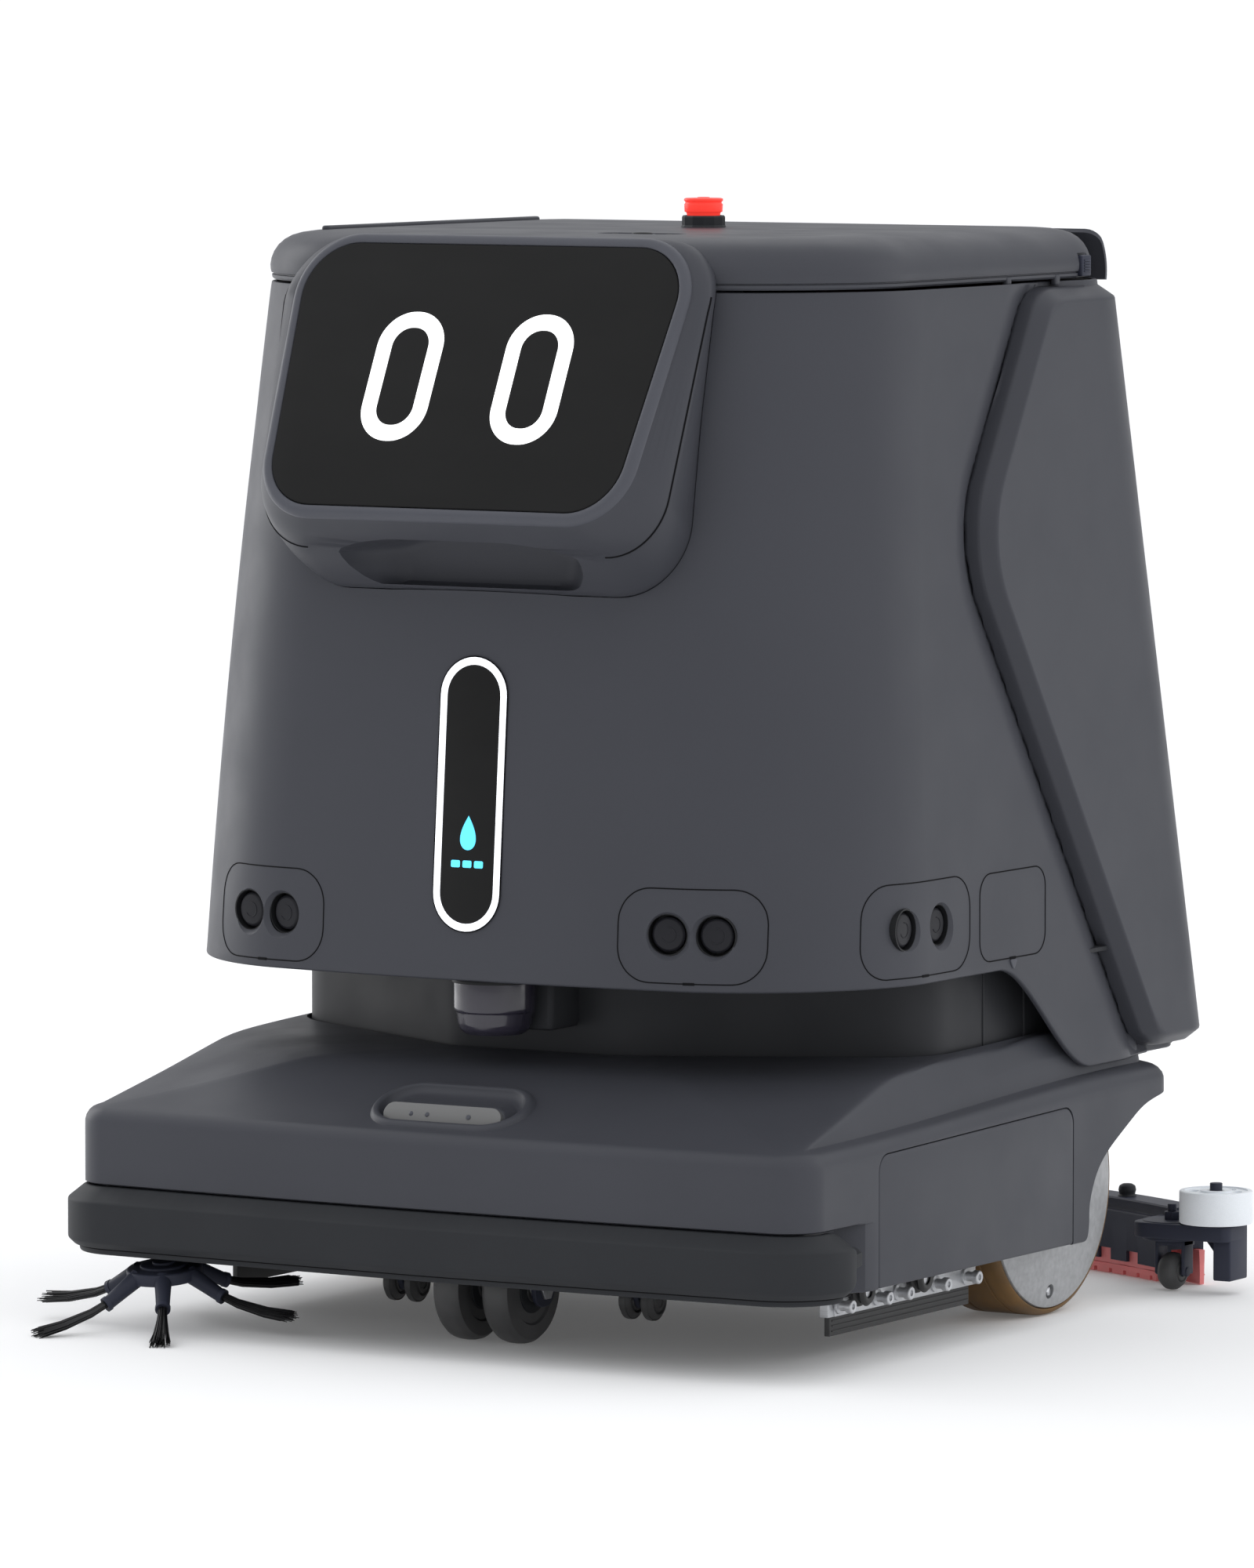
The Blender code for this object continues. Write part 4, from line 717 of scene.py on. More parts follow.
FACE_TILT = radians(26.1)
FACE_CENTRE = Vector((0.0, -0.2266, 0.5932))
FACE_UP = Vector((0.0, sin(FACE_TILT), cos(FACE_TILT)))
FACE_IN = Vector((0.0, cos(FACE_TILT), -sin(FACE_TILT)))
GLASS_HALF_HEIGHT = 0.0873
GLASS_HALF_TOP = 0.1364
GLASS_HALF_LOW = 0.1219
FRAME_BORDER = 0.0075
HOUSING_BACK_Y = -0.137


def face_outline(border):
    """The screen's rounded trapezoid in its own plane, grown by border."""
    low = GLASS_HALF_LOW + border
    high = GLASS_HALF_TOP + border
    top = GLASS_HALF_HEIGHT + border
    corners = [(low, -top), (high, top), (-high, top), (-low, -top)]
    return rounded_polygon(corners, [0.034 + border] * 4, 14)


def on_face(points, depth):
    return [FACE_CENTRE + Vector((x, 0, 0)) + FACE_UP * y + FACE_IN * depth for x, y in points]


def housing_outline(low_half, high_half, low, corner, grow):
    """Upright section of the screen housing as (x, z) points, in the same order as face_outline."""
    corners = [(low_half + grow, low - grow), (high_half + grow, 0.672 + grow),
               (-high_half - grow, 0.672 + grow), (-low_half - grow, low - grow)]
    return rounded_polygon(corners, [corner + grow, 0.036 + grow, 0.036 + grow, corner + grow], 14)


def joint_plane_y(z):
    """The joint between the housing's two halves leans forward towards the bottom."""
    return -0.240 + 0.30 * (z - 0.487) + 9.0 * max(0.0, z - 0.625) ** 2


def contact_y(z):
    """Where the housing comes out of the body wall."""
    return -0.2100 + 0.20 * (z - 0.461) + 6.0 * max(0.0, z - 0.625) ** 2


def housing_rings(grow=0.0):
    """Sections of the screen housing: hidden back, contact with the wall, joint, then the screen frame."""
    inner = [(x, HOUSING_BACK_Y, z) for x, z in housing_outline(0.1405, 0.1430, 0.461, 0.046, grow)]
    contact = [(x, contact_y(z), z)
               for x, z in housing_outline(0.1405, 0.1430, 0.461, 0.046, grow)]
    joint = [(x, joint_plane_y(z), z) for x, z in housing_outline(0.1415, 0.1535, 0.4868, 0.038, grow)]
    front = on_face(face_outline(FRAME_BORDER + grow), 0.0044)
    inner, contact, joint, front = [np.array([tuple(point) for point in ring]) for ring in (inner, contact,
                                                                                            joint, front)]
    rings = [inner, contact]
    for share in (0.15, 0.35, 0.6, 0.85):
        swell = 1.0 + 0.012 * sin(pi * share)
        rings.append(scaled(contact * (1 - share) + joint * share, swell))
    rings.append(joint)
    for share in (0.12, 0.3, 0.5, 0.7, 0.88):
        swell = 1.0 + 0.016 * sin(pi * share)
        rings.append(scaled(joint * (1 - share) + front * share, swell))
    rings.append(front)
    return rings


def scaled(ring, factor):
    centre = ring.mean(axis=0)
    return centre + (ring - centre) * np.array([factor, 1.0, factor])


def resampled(outline, count):
    """Spread count points evenly by length round a closed outline, keeping its start."""
    ring = np.asarray(outline, float)
    closed = np.vstack([ring, ring[:1]])
    length = distances(closed)
    at = np.linspace(0, length[-1], count, endpoint=False)
    return np.column_stack([np.interp(at, length, closed[:, k]) for k in range(closed.shape[1])])


def body_wall():
    rings = []
    fillet = 0.0016
    for k in range(5):
        angle = pi / 2 * k / 4
        rings.append(wall_ring(0.0, fillet * (1 - sin(angle)) * 1.2, fillet * (1 - cos(angle))))
    for share in np.linspace(0.0, 1.0, 66)[1:-1]:
        rings.append(wall_ring(share))
    for k in range(4, -1, -1):
        angle = pi / 2 * k / 4
        rings.append(wall_ring(1.0, 0.0010 * (1 - sin(angle)), -0.0010 * (1 - cos(angle))))
    for share in np.linspace(1.0, 0.0, 16):
        rings.append(wall_ring(share, WALL))
    mesh = skin("body_wall", [whole(ring) for ring in rings], loop=True)
    housing = skin("housing_gap", housing_rings(0.0006))
    cutters = [housing] + [pocket_cutter(*eye) for side in PAIR for eye in eyes(side)]
    piece("body_wall", carved(mesh, cutters), "shell", "chassis", ["body_shell"], sharp=32)
    level = np.full(sum(PLAN_COUNTS) + 1, 0.23)
    x, y = half_plan(body_half(level) - 0.0015, body_front(level) + 0.0015, 0.235 + 0 * level, 0.108, 0.03)
    outline = whole(np.column_stack([x, bowed(x, y, 1.3)]))
    piece("body_floor", slab("body_floor", outline, 0.2257, 0.2285, 0.0004), "waist", "chassis")


def sensor_eye(name, mouth, facing):
    """One distance sensor: dark sleeve, domed disc and a raised open ring on its face."""
    turn = aim(facing)
    cup = [(POCKET_RADIUS + 0.0008, -0.0025), (POCKET_RADIUS + 0.0008, -0.0115), (0.0, -0.0115),
           (0.0, -0.0100), (POCKET_RADIUS - 0.0002, -0.0100), (POCKET_RADIUS - 0.0002, -0.0025)]
    cup.append(cup[0])
    piece(name + "_cup", moved(turned(name, cup, 40), mouth, turn), "dark", "chassis")
    disc = softened([(0.0, -0.0036), (EYE_RADIUS - 0.0016, -0.0037), (EYE_RADIUS, -0.0050),
                     (EYE_RADIUS, -0.0100), (0.0, -0.0100)], 0.0005)
    ring = [(0.0046 * cos(a), 0.0046 * sin(a), -0.0037) for a in np.radians(np.linspace(-150, 95, 26))]
    face = merged(name, [turned(name, disc, 40), tube(name + "_ring", ring, 0.0004, 8)])
    return moved(face, mouth, turn)


def sensors():
    for label, side in SIDES:
        spots = eyes(side)
        for place, pair in (("front", spots[:2]), ("side", spots[2:])):
            node = "sonar_%s_%s" % (place, label)
            for index, (mouth, facing) in enumerate(pair):
                name = "%s_eye_%d" % (node, index)
                stands_for = [node] if index == 0 else []
                piece(name, sensor_eye(name, mouth, facing), "sensor", "chassis", stands_for)


def wall_line(outline, centre_along, centre_z):
    """Lay a flat outline on the wall, its first axis running along the wall's plan."""
    return [wall_at(centre_z + b, centre_along + a)[0] for a, b in outline]


def wall_panels():
    """Flush sensor panels and the plain square cover, with their joints and catches."""
    front = along_at(SONAR_Z, x=(FRONT_EYES[0][0] + FRONT_EYES[1][0]) / 2)
    flank = along_at(SONAR_Z, y=sum(SIDE_EYES) / 2)
    cover = along_at(SONAR_Z, y=0.009)
    for label, side in SIDES:
        panels = (("front", front, 0.0475, 0.0285, 0.021), ("side", flank, 0.0555, 0.0285, 0.020),
                  ("cover", cover, 0.0420, 0.0268, 0.013))
        for place, along, wide, tall, corner in panels:
            name = "panel_%s_%s" % (place, label)
            outline = resampled(rounded_box(wide, tall, corner, 8), 96)
            seam(name + "_joint", wall_line(outline, side * along, SONAR_Z - 0.0005), "chassis", 0.00042)
            low = SONAR_Z - 0.0005 - tall
            point, facing = wall_at(low, side * along)
            catch = box(name, (0.0075, 0.0016, 0.0010), edge=0.0003)
            turn = Matrix.Rotation(atan2(facing.x, -facing.y), 4, "Z") @ Matrix.Rotation(pi / 2, 4, "X")
            piece(name + "_notch", moved(catch, point, turn), "seam", "chassis")
            if place == "cover":
                tongue = slab(name, rounded_polygon([(-0.0045, 0), (0, -0.0075), (0.0045, 0)],
                                                    [0.0008, 0.0016, 0.0008], 4), -0.0006, 0.0012, 0.0005)
                below, _ = wall_at(low - 0.0008, side * along)
                piece(name + "_tongue", moved(tongue, below, turn), "bezel", "chassis")


def pod_row(z, side):
    """One level of a pod's outer surface, from its front edge round the rear corner."""
    half, back, corner = body_half(z), body_back(z), body_corner(z)
    arc_start = back - corner
    stop = arc_start + corner * pi / 2 + half - corner - POD_END_X
    start = float(np.interp(z, POD_EDGE[:, 1], POD_EDGE[:, 0]))
    near = np.array([0, 0.35, 0.7, 1.05, 1.4, 1.8, 2.6, 4.0, 5.6, 7.2, 8.4, 9.2, 9.8, 10.4, 11.2, 13.0,
                     17.0]) / 1000
    s = np.concatenate([start + near, np.linspace(start + 0.024, stop - 0.022, 58), stop - near[::-1]])
    ends = np.minimum(np.minimum(stop - s, z - POD_LOW_Z), POD_HIGH_Z - z)
    edge = np.minimum(ends, ahead_of_pod(s, np.full_like(s, z)) + 0 * s)
    sunk = np.where(s - start < 0.05, DIP_DEPTH + 0.0006, 0.0020)
    step = 0.0004 - (0.0004 + sunk) * np.clip(1 - edge / POD_STEP, 0, 1)
    t = np.clip((edge - POD_STEP) / (POD_CHAMFER - POD_STEP), 0, 1.12)
    rise = np.where(t < 0.88, t, 1 - (1.12 - t) ** 2 / 0.48)
    proud = step + (POD_PROUD - 0.0004) * rise
    a = np.clip((s - arc_start) / corner, 0, pi / 2)
    beyond = np.clip(s - arc_start - corner * pi / 2, 0, None)
    x = half - corner + corner * np.cos(a) - beyond + proud * np.cos(a)
    y = np.where(s < arc_start, s, arc_start + corner * np.sin(a)) + proud * np.sin(a)
    return np.column_stack([side * x, y, np.full_like(s, z)])


def pods():
    near = np.array([0.0, 0.45, 0.9, 1.4, 2.2, 4.0, 6.0, 8.0, 9.3, 10.4, 12.0, 15.0]) / 1000
    levels = np.concatenate([POD_LOW_Z + near, np.linspace(POD_LOW_Z + 0.022, POD_HIGH_Z - 0.022, 64),
                             POD_HIGH_Z - near[::-1]])
    for label, side in SIDES:
        name = "side_pod_" + label
        mesh = sheet(name, [pod_row(z, side) for z in levels])
        shell = piece(name, mesh, "shell", "chassis", ["pod_" + label], sharp=50)
        wall = shell.modifiers.new("wall", "SOLIDIFY")
        wall.thickness = 0.0016
        wall.offset = -1.0 if pod_faces_out(mesh, side) else 1.0


def pod_faces_out(mesh, side):
    """True when most of a sheet's area already faces away from the robot's middle."""
    return sum(face.normal.x * face.area for face in mesh.polygons) * side > 0


# ---------------------------------------------------------------- light bar

LIGHT_Z = 0.3385
LIGHT_HALF_WIDTH = 0.0235
LIGHT_HALF_HEIGHT = 0.0835
LIGHT_RING = 0.0046


def front_place(z):
    """Stand a flat shape upright on the front wall at height z; its +Z faces forward."""
    tilt = atan2(body_front(0.42) - body_front(0.255), 0.42 - 0.255)
    return Matrix.Translation((0, body_front(z), z)) @ Matrix.Rotation(pi / 2 - tilt, 4, "X")


def light_bar():
    stand = front_place(LIGHT_Z)
    outer = capsule(LIGHT_HALF_WIDTH, LIGHT_HALF_HEIGHT, 20)
    steps = ((0.0, -0.0040), (0.0, 0.0002), (0.0006, 0.0009), (LIGHT_RING * 0.5, 0.0012),
             (LIGHT_RING - 0.0006, 0.0008), (LIGHT_RING, 0.0001), (LIGHT_RING, -0.0040))
    rings = [flat_ring(inward(outer, inset), height) for inset, height in steps]
    piece("light_ring_guide", moved(skin("light_ring_guide", rings, loop=True), turn=stand), "light",
          "chassis", ["light_ring"])
    pane = slab("light_pane", inward(outer, LIGHT_RING), -0.0035, 0.0004, 0.0005)
    piece("light_pane", moved(pane, turn=stand), "glass", "chassis", ["light_window"])
    groove = flat_ring(inward(outer, -0.0004), 0.0)
    seam("light_ring_joint", [stand @ Vector(point) for point in groove], "chassis", 0.0005)
    status_mark(stand)
    hole = softened([(0.0, 0.0003), (0.0014, 0.0003), (0.0016, -0.0010), (0.0, -0.0010)], 0.0002)
    pin = turned("microphone_hole", hole, 20)
    piece("microphone_hole", moved(pin, turn=front_place(0.2581)), "seam", "chassis")


def status_mark(stand):
    """A plain water drop over a charge bar, lit behind the pane."""
    drop = []
    for k in range(40):
        a = FULL_TURN * k / 40
        width = 0.0074 * sin(a) * sin(a / 2) ** 1.1
        drop.append((-width, 0.0105 * cos(a)))
    lift = Matrix.Translation((0, -0.0235, 0.00045))
    piece("status_drop", moved(slab("status_drop", drop, 0.0, 0.0002, 0.00005, 1), turn=stand @ lift),
          "cyan", "chassis")
    for index in range(3):
        bar = slab("status_bar", rounded_box(0.0032, 0.0022, 0.0010, 4), 0.0, 0.0002, 0.00005, 1)
        lift = Matrix.Translation((-0.0082 + 0.0082 * index, -0.0425, 0.00045))
        piece("status_bar_%d" % index, moved(bar, turn=stand @ lift), "cyan", "chassis")


# ---------------------------------------------------------------- lidar and waist

def lidar():
    low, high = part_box("lidar")
    place = middle("lidar")
    top = high.z
    profile = softened([
        (0.0, top), (0.0250, top), (0.0250, top - 0.0195), (0.0246, top - 0.0212), (0.0236, top - 0.0214),
        (0.0234, top - 0.0226), (0.0226, top - 0.0290), (0.0214, low.z + 0.0028), (0.0180, low.z),
                        (0.0, low.z)],
        0.0007)
    head = turned("lidar_head", profile, 96)
    head = moved(head, (place.x, place.y, 0))
    piece("lidar_head", head, "lidar", "chassis", ["lidar"], sharp=25)
    band = turned("lidar_band", softened([(0.0249, top - 0.0012), (0.0262, top - 0.0012),
                                          (0.0262, top - 0.0034),
                                          (0.0249, top - 0.0034)], 0.0004) , 96)
    piece("lidar_band", moved(band, (place.x, place.y, 0)), "dark", "chassis")
    bracket = box("lidar_bracket", (0.062, 0.060, 0.034), (0, place.y + 0.046, top - 0.017), 0.004)
    piece("lidar_bracket", bracket, "waist", "chassis")


WAIST_FRONT_Y = -0.147
WAIST_BACK_Y = 0.180
WAIST_DIAGONAL = [(0.056, WAIST_FRONT_Y), (0.212, -0.066), (0.228, -0.048), (0.2300, 0.0)]


def waist_half(grow):
    """Right half of the waist: short front face, long diagonal, straight side, rounded rear."""
    line = [(0.0, WAIST_FRONT_Y)] + WAIST_DIAGONAL + [(0.2300, 0.160), (0.2100, WAIST_BACK_Y),
                                                      (0.0, WAIST_BACK_Y)]
    path = np.array(softened(line, 0.012, 6))
    length = distances(path)
    at = np.linspace(0, length[-1], 150)
    x = np.interp(at, length, path[:, 0])
    y = np.interp(at, length, path[:, 1])
    nx, ny = outward(x, y)
    nx[0] = nx[-1] = 0.0
    return np.column_stack([x + nx * grow, y + ny * grow])


def waist():
    low, high = 0.160, 0.2270
    steps = ((0.0, low), (0.0, low + 0.002), (0.0, high), (-WALL, high), (-WALL, low))
    rings = [np.column_stack([whole(waist_half(grow)), np.full(298, z)]) for grow, z in steps]
    piece("waist_wall", skin("waist_wall", rings, loop=True), "waist", "chassis", ["waist_cover"])
    for side in PAIR:
        spots = ((0.2298, 0.006), (0.2300, 0.058))
        for index, (x, y) in enumerate(spots):
            rib = box("waist_rib", (0.0022, 0.0022, high - low - 0.002), (side * x, y, (low + high) / 2),
                      0.0006)
            piece("waist_rib_%d_%d" % (side + 1, index), rib, "waist", "chassis")


# ---------------------------------------------------------------- base, doors and bumper

BASE_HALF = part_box("side_door_left")[1].x
BASE_FRONT_Y = -0.279
BASE_CORNER = 0.024
BASE_RECESS = 0.0135
BASE_BACK_Y = 0.200
BASE_LOW_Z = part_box("base_cover")[0].z
DOOR_FRONT_Y = -0.181
DOOR_BACK_Y = 0.065
DOOR_TOP_Z = 0.135
BUMPER_TOP_Z = 0.0888
BASE_COUNTS = (24, 30, 60, 12, 18)
HALF_COUNT = sum(BASE_COUNTS) + 1
SIDE_ON = Matrix(((0, 0, 1), (1, 0, 0), (0, 1, 0)))


def base_half(inset):
    """Right half of the base's plan, pulled in by inset (a number or one value per point)."""
    inset = np.zeros(HALF_COUNT) + inset
    x, y = half_plan(BASE_HALF - inset, BASE_FRONT_Y + inset, BASE_BACK_Y - inset, BASE_CORNER - inset,
                     0.020 + 0 * inset,
                     BASE_COUNTS)
    return x, bowed(x, y, 4.0)


def waist_half_plan(grow):
    """Right half of the waist with the same spacing of points as the base's plan."""
    parts = [np.arange(n) / n for n in BASE_COUNTS]
    diagonal = np.array(softened(WAIST_DIAGONAL, 0.012, 6))
    length = distances(diagonal)
    x = [0.056 * parts[0], np.interp(parts[1] * length[-1], length, diagonal[:, 0]), 0.230 + 0 * parts[2],
         0.210 + 0.020 * np.cos(parts[3] * pi / 2), 0.210 * (1 - parts[4]), [0.0]]
    y = [WAIST_FRONT_Y + 0 * parts[0], np.interp(parts[1] * length[-1], length, diagonal[:, 1]),
         0.160 * parts[2],
         0.160 + 0.020 * np.sin(parts[3] * pi / 2), WAIST_BACK_Y + 0 * parts[4], [WAIST_BACK_Y]]
    x = np.concatenate(x)
    y = np.concatenate(y)
    nx, ny = outward(x, y)
    return x + nx * grow, y + ny * grow


def shoulder(y):
    return 0.1335 + 0.013 * smooth((y + 0.25) / 0.42)


def rear_share(y):
    return smooth((y + 0.12) / 0.14)


def top_profile():
    """Rise of the base's top from its shoulder (0) to the waist (1), with a soft knee."""
    line = np.array(softened([(0.0, 0.0), (0.30, 0.40), (0.62, 0.87), (1.0, 1.0)], 0.13, 8))
    return np.linspace(0, 1, 22), np.interp(np.linspace(0, 1, 22), line[:, 0], line[:, 1])


def base_rings():
    """Closed loop of rings: up the outside from the lower edge to the waist, then down the inside."""
    _, fy = base_half(0.0)
    recess = BASE_RECESS * np.clip((-0.1945 - fy) / 0.014, 0, 1)
    rings = []

    def level(inset, z):
        x, y = base_half(inset)
        rings.append(np.column_stack([x, y, z + 0 * x]))

    for k in range(4):
        angle = pi / 2 * k / 3
        level(recess + 0.0015 * (1 - sin(angle)), BASE_LOW_Z + 0.0015 * (1 - cos(angle)))
    level(recess, 0.066)
    level(recess, BUMPER_TOP_Z + 0.0006)
    level(recess * 0.15, BUMPER_TOP_Z + 0.0008)
    level(0.0, BUMPER_TOP_Z + 0.0018)
    level(0.0, 0.108)
    edge = shoulder(fy)
    level(0.0, edge - 0.010)
    for turn in (8, 25, 45, 62, 74):
        level(0.0095 * (1 - cos(radians(turn))), edge - 0.0065 + 0.0105 * sin(radians(turn)))
    start_x, start_y = base_half(0.0115)
    end_x, end_y = waist_half_plan(0.0035)
    start_z = edge + 0.0052
    end_z = 0.1750 + 0.004 * np.clip(end_y / 0.15 + 0.5, 0, 1)
    lifted = 0.010 * rear_share(start_y)
    top = []
    for share, rise in zip(*top_profile()):
        x = start_x + (end_x - start_x) * share
        y = start_y + (end_y - start_y) * share
        z = start_z + (end_z - start_z) * rise + lifted * np.clip(share / 0.15, 0, 1) * (1 - share)
        top.append(np.column_stack([x, y, z]))
    rings += top
    rings += [ring - (0, 0, 0.0032) for ring in reversed(top)]
    level(0.0145, edge + 0.0005)
    level(recess + WALL + 0.0030, edge - 0.0060)
    level(recess + WALL, edge - 0.0160)
    level(recess + WALL, BASE_LOW_Z)
    return rings


def arch_cutter():
    """Opening over the drive wheels and under the rear of the base, seen from the side."""
    line = [(0.0775, -0.02), (0.0775, 0.0470), (0.0840, 0.0500), (0.0860, 0.0580), (0.0860, 0.0720),
            (0.0950, 0.0900), (0.1090, 0.1020), (0.1320, 0.1140), (0.1580, 0.1270), (0.1910, 0.1330),
            (0.45, 0.1400)]
    outline = softened(line, 0.012, 4) + [np.array((0.45, -0.02))]
    mesh = skin("arch_cutter", [flat_ring(outline[::-1], 0.40), flat_ring(outline[::-1], -0.40)])
    mesh.transform(SIDE_ON.to_4x4())
    return tidy(mesh)


def door_outline(gap):
    low = BASE_LOW_Z - 0.010 if gap < 0 else BASE_LOW_Z + 0.0006
    corners = [(DOOR_FRONT_Y + gap, low), (DOOR_BACK_Y - gap, low), (DOOR_BACK_Y - gap, DOOR_TOP_Z - gap),
               (DOOR_FRONT_Y + gap, DOOR_TOP_Z - gap - 0.006)]
    return rounded_polygon(corners, [0.0025, 0.0025, 0.011, 0.011], 8)


def door_slab(name, gap, inner, outer, edge):
    mesh = slab(name, door_outline(gap), inner, outer, edge)
    mesh.transform(SIDE_ON.to_4x4())
    return mesh


CAMERA_SLOPE = radians(24.6)
CAMERA_RIM = Vector((0.0, -0.2445, 0.1492))


def camera_ring(half_width, half_depth, lift, place=CAMERA_RIM, slope=CAMERA_SLOPE):
    """A long capsule on the sloping top of the base, lifted off the slope."""
    outline = [(-y, x) for x, y in capsule(half_depth, half_width, 18)]
    turn = Matrix.Rotation(slope, 4, "X")
    return [place + turn @ Vector((x, y, lift)) for x, y in outline]


def camera():
    pane_place = Vector((0.0, -0.2560, 0.1446))
    pane_tilt = radians(68)
    rings = [
        camera_ring(0.0400, 0.0070, -0.004, pane_place, pane_tilt),
        camera_ring(0.0425, 0.0078, 0.0000, pane_place, pane_tilt),
        camera_ring(0.0455, 0.0140, -0.0070, CAMERA_RIM + Vector((0, -0.003, 0)), CAMERA_SLOPE * 1.4),
        camera_ring(0.0485, 0.0195, 0.0000), camera_ring(0.0492, 0.0203, 0.0016),
             camera_ring(0.0502, 0.0213, 0.0024),
        camera_ring(0.0520, 0.0232, 0.0025), camera_ring(0.0538, 0.0252, 0.0016),
             camera_ring(0.0552, 0.0268, -0.0004),
        camera_ring(0.0572, 0.0288, -0.0040), camera_ring(0.0590, 0.0304, -0.0085),
             camera_ring(0.0550, 0.0270, -0.0100)]
    rim = skin("camera_rim", rings, caps=False)
    made = piece("camera_rim", rim, "shell", "chassis", sharp=60)
    made.modifiers.new("smooth", "SUBSURF").levels = 1
    outline = [(-y, x) for x, y in capsule(0.0074, 0.0418, 18)]
    pane = slab("camera_pane", outline, -0.0035, 0.0008, 0.0004)
    turn = Matrix.Rotation(pane_tilt, 4, "X")
    piece("camera_pane", moved(pane, pane_place, turn), "window", "chassis", ["camera_window"])
    for index, x in enumerate((-0.022, -0.0105, 0.019)):
        lens = turned("camera_lens", softened([(0, 0.0012), (0.0007 + 0.0004 * index % 2, 0.0012),
                                               (0.0016, 0.0006), (0, 0.0006)], 0.0002), 24)
        spot = pane_place + turn @ Vector((x, 0.0005, 0.0002))
        piece("camera_lens_%d" % index, moved(lens, spot, turn), "bezel", "chassis")


def base():
    mesh = skin("base_housing", [whole(ring) for ring in base_rings()], loop=True)
    hole = skin("camera_hole", [camera_ring(0.0535, 0.0248, -0.030), camera_ring(0.0535, 0.0248, 0.030)])
    cutters = [arch_cutter(), hole]
    for side in PAIR:
        panel = door_slab("door_hole", -0.00035, 0.240, 0.290, 0.0)
        cutters.append(mirrored(panel, side))
    piece("base_housing", carved(mesh, cutters), "shell", "chassis", ["base_cover"], sharp=30)
    for label, side in SIDES:
        body = "door_" + label
        panel = door_slab("side_panel_" + label, 0.00035, BASE_HALF - WALL, BASE_HALF, 0.0007)
        piece("side_panel_" + label, mirrored(panel, side), "shell", body, ["side_door_" + label])
        for place in (-0.140, 0.020):
            knuckle = turned("hinge", softened([(0, 0.012), (0.0022, 0.012), (0.0022, -0.012), (0, -0.012)],
                                               0.0006), 20)
            turn = aim((0, 1, 0))
            spot = (side * (BASE_HALF - 0.0045), place, DOOR_TOP_Z - 0.009)
            piece("panel_hinge_%s_%d" % (label, place > 0), moved(knuckle, spot, turn), "steel", body)


def bumper_line():
    """Plan of the bumper's outer face from its right end round the front to its left end."""
    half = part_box("bumper")[1].x
    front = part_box("bumper")[0].y
    corner = 0.045
    line = [(0.0, front), (0.12, front + 0.0025)]
    line += arc(half - corner, front + corner + 0.006, corner, -84, 0, 16)
    line += [(half - 0.0015, -0.2220), (BASE_HALF + 0.0085, -0.2060)]
    line = np.array(softened(line, 0.010, 5))
    line = np.vstack([(line[1:] * (-1, 1))[::-1], line])
    length = distances(line)
    ends = np.array([0, 0.4, 1.2, 3, 6, 10, 14, 18, 19.3, 20, 21, 22.5, 24, 26, 28.5, 31, 34]) / 1000
    at = np.concatenate([ends, np.linspace(0.038, length[-1] - 0.038, 150), length[-1] - ends[::-1]])
    x = np.interp(at, length, line[:, 0])
    y = np.interp(at, length, line[:, 1])
    return x, y, np.minimum(at, length[-1] - at)


def bumper():
    low, top = 0.0508, BUMPER_TOP_Z
    profile = [(-0.0135, low - 0.0040), (-0.0082, low - 0.0040), (-0.0074, low - 0.0030), (-0.0070, low),
               (-0.0044, low + 0.0002), (-0.0004, low + 0.0040), (0.0, low + 0.0055), (0.0, top - 0.0096),
               (-0.0008, top - 0.0084), (-0.0112, top - 0.0004), (-0.0124, top), (-0.0140, top)]
    profile = np.array(softened(profile, 0.0009, 3))
    x, y, end = bumper_line()
    nx, ny = outward(x, y)
    wall_x, wall_y = base_half(0.0)
    to_wall = np.hypot(np.subtract.outer(np.abs(x), wall_x), np.subtract.outer(y, wall_y)).min(axis=1)
    stretch = np.clip((to_wall + 0.0006) / 0.0124, 0.5, 1.4)
    middle_z = (low + top) / 2 + 0.002
    rings = []
    for i in range(len(x)):
        tip = min(1.0, max(0.0, (0.034 - end[i]) / 0.0145))
        shrink = 0.0125 * (1 - (1 - tip ** 2) ** 0.5) + 0.004 * max(0.0, 1 - end[i] / 0.004) ** 2
        tall = (top - low) / 2
        factor = (tall - shrink) / tall
        z = middle_z + (profile[:, 1] - middle_z) * factor
        upper = (profile[:, 1] > middle_z)
        reach = profile[:, 0] * np.where(upper, stretch[i], 1.0) - 0.35 * shrink * (profile[:, 0] > -0.010)
        rings.append(np.column_stack([x[i] + nx[i] * reach, y[i] + ny[i] * reach, z]))
    piece("bumper_bar", skin("bumper_bar", rings), "bumper", "bumper_bar", ["bumper"], sharp=28)
    under = [(px - n * 0.0071, py - m * 0.0071, low - 0.0002) for px, py, n,
             m in zip(x[8:-8], y[8:-8], nx[8:-8], ny[8:-8])]
    seam("bumper_lower_joint", under, "bumper_bar", 0.0007, False)
    lip_ring = base_half(BASE_RECESS + 0.0025)
    lip = [(a, b, BASE_LOW_Z - 0.0005) for a, b in zip(*lip_ring) if b < 0.07]
    mesh = tube("base_lower_lip", [(-a, b, c) for a, b, c in lip[:0:-1]] + lip, 0.0022, 8)
    piece("base_lower_lip", mesh, "dark", "chassis", sharp=60)


# ---------------------------------------------------------------- lid

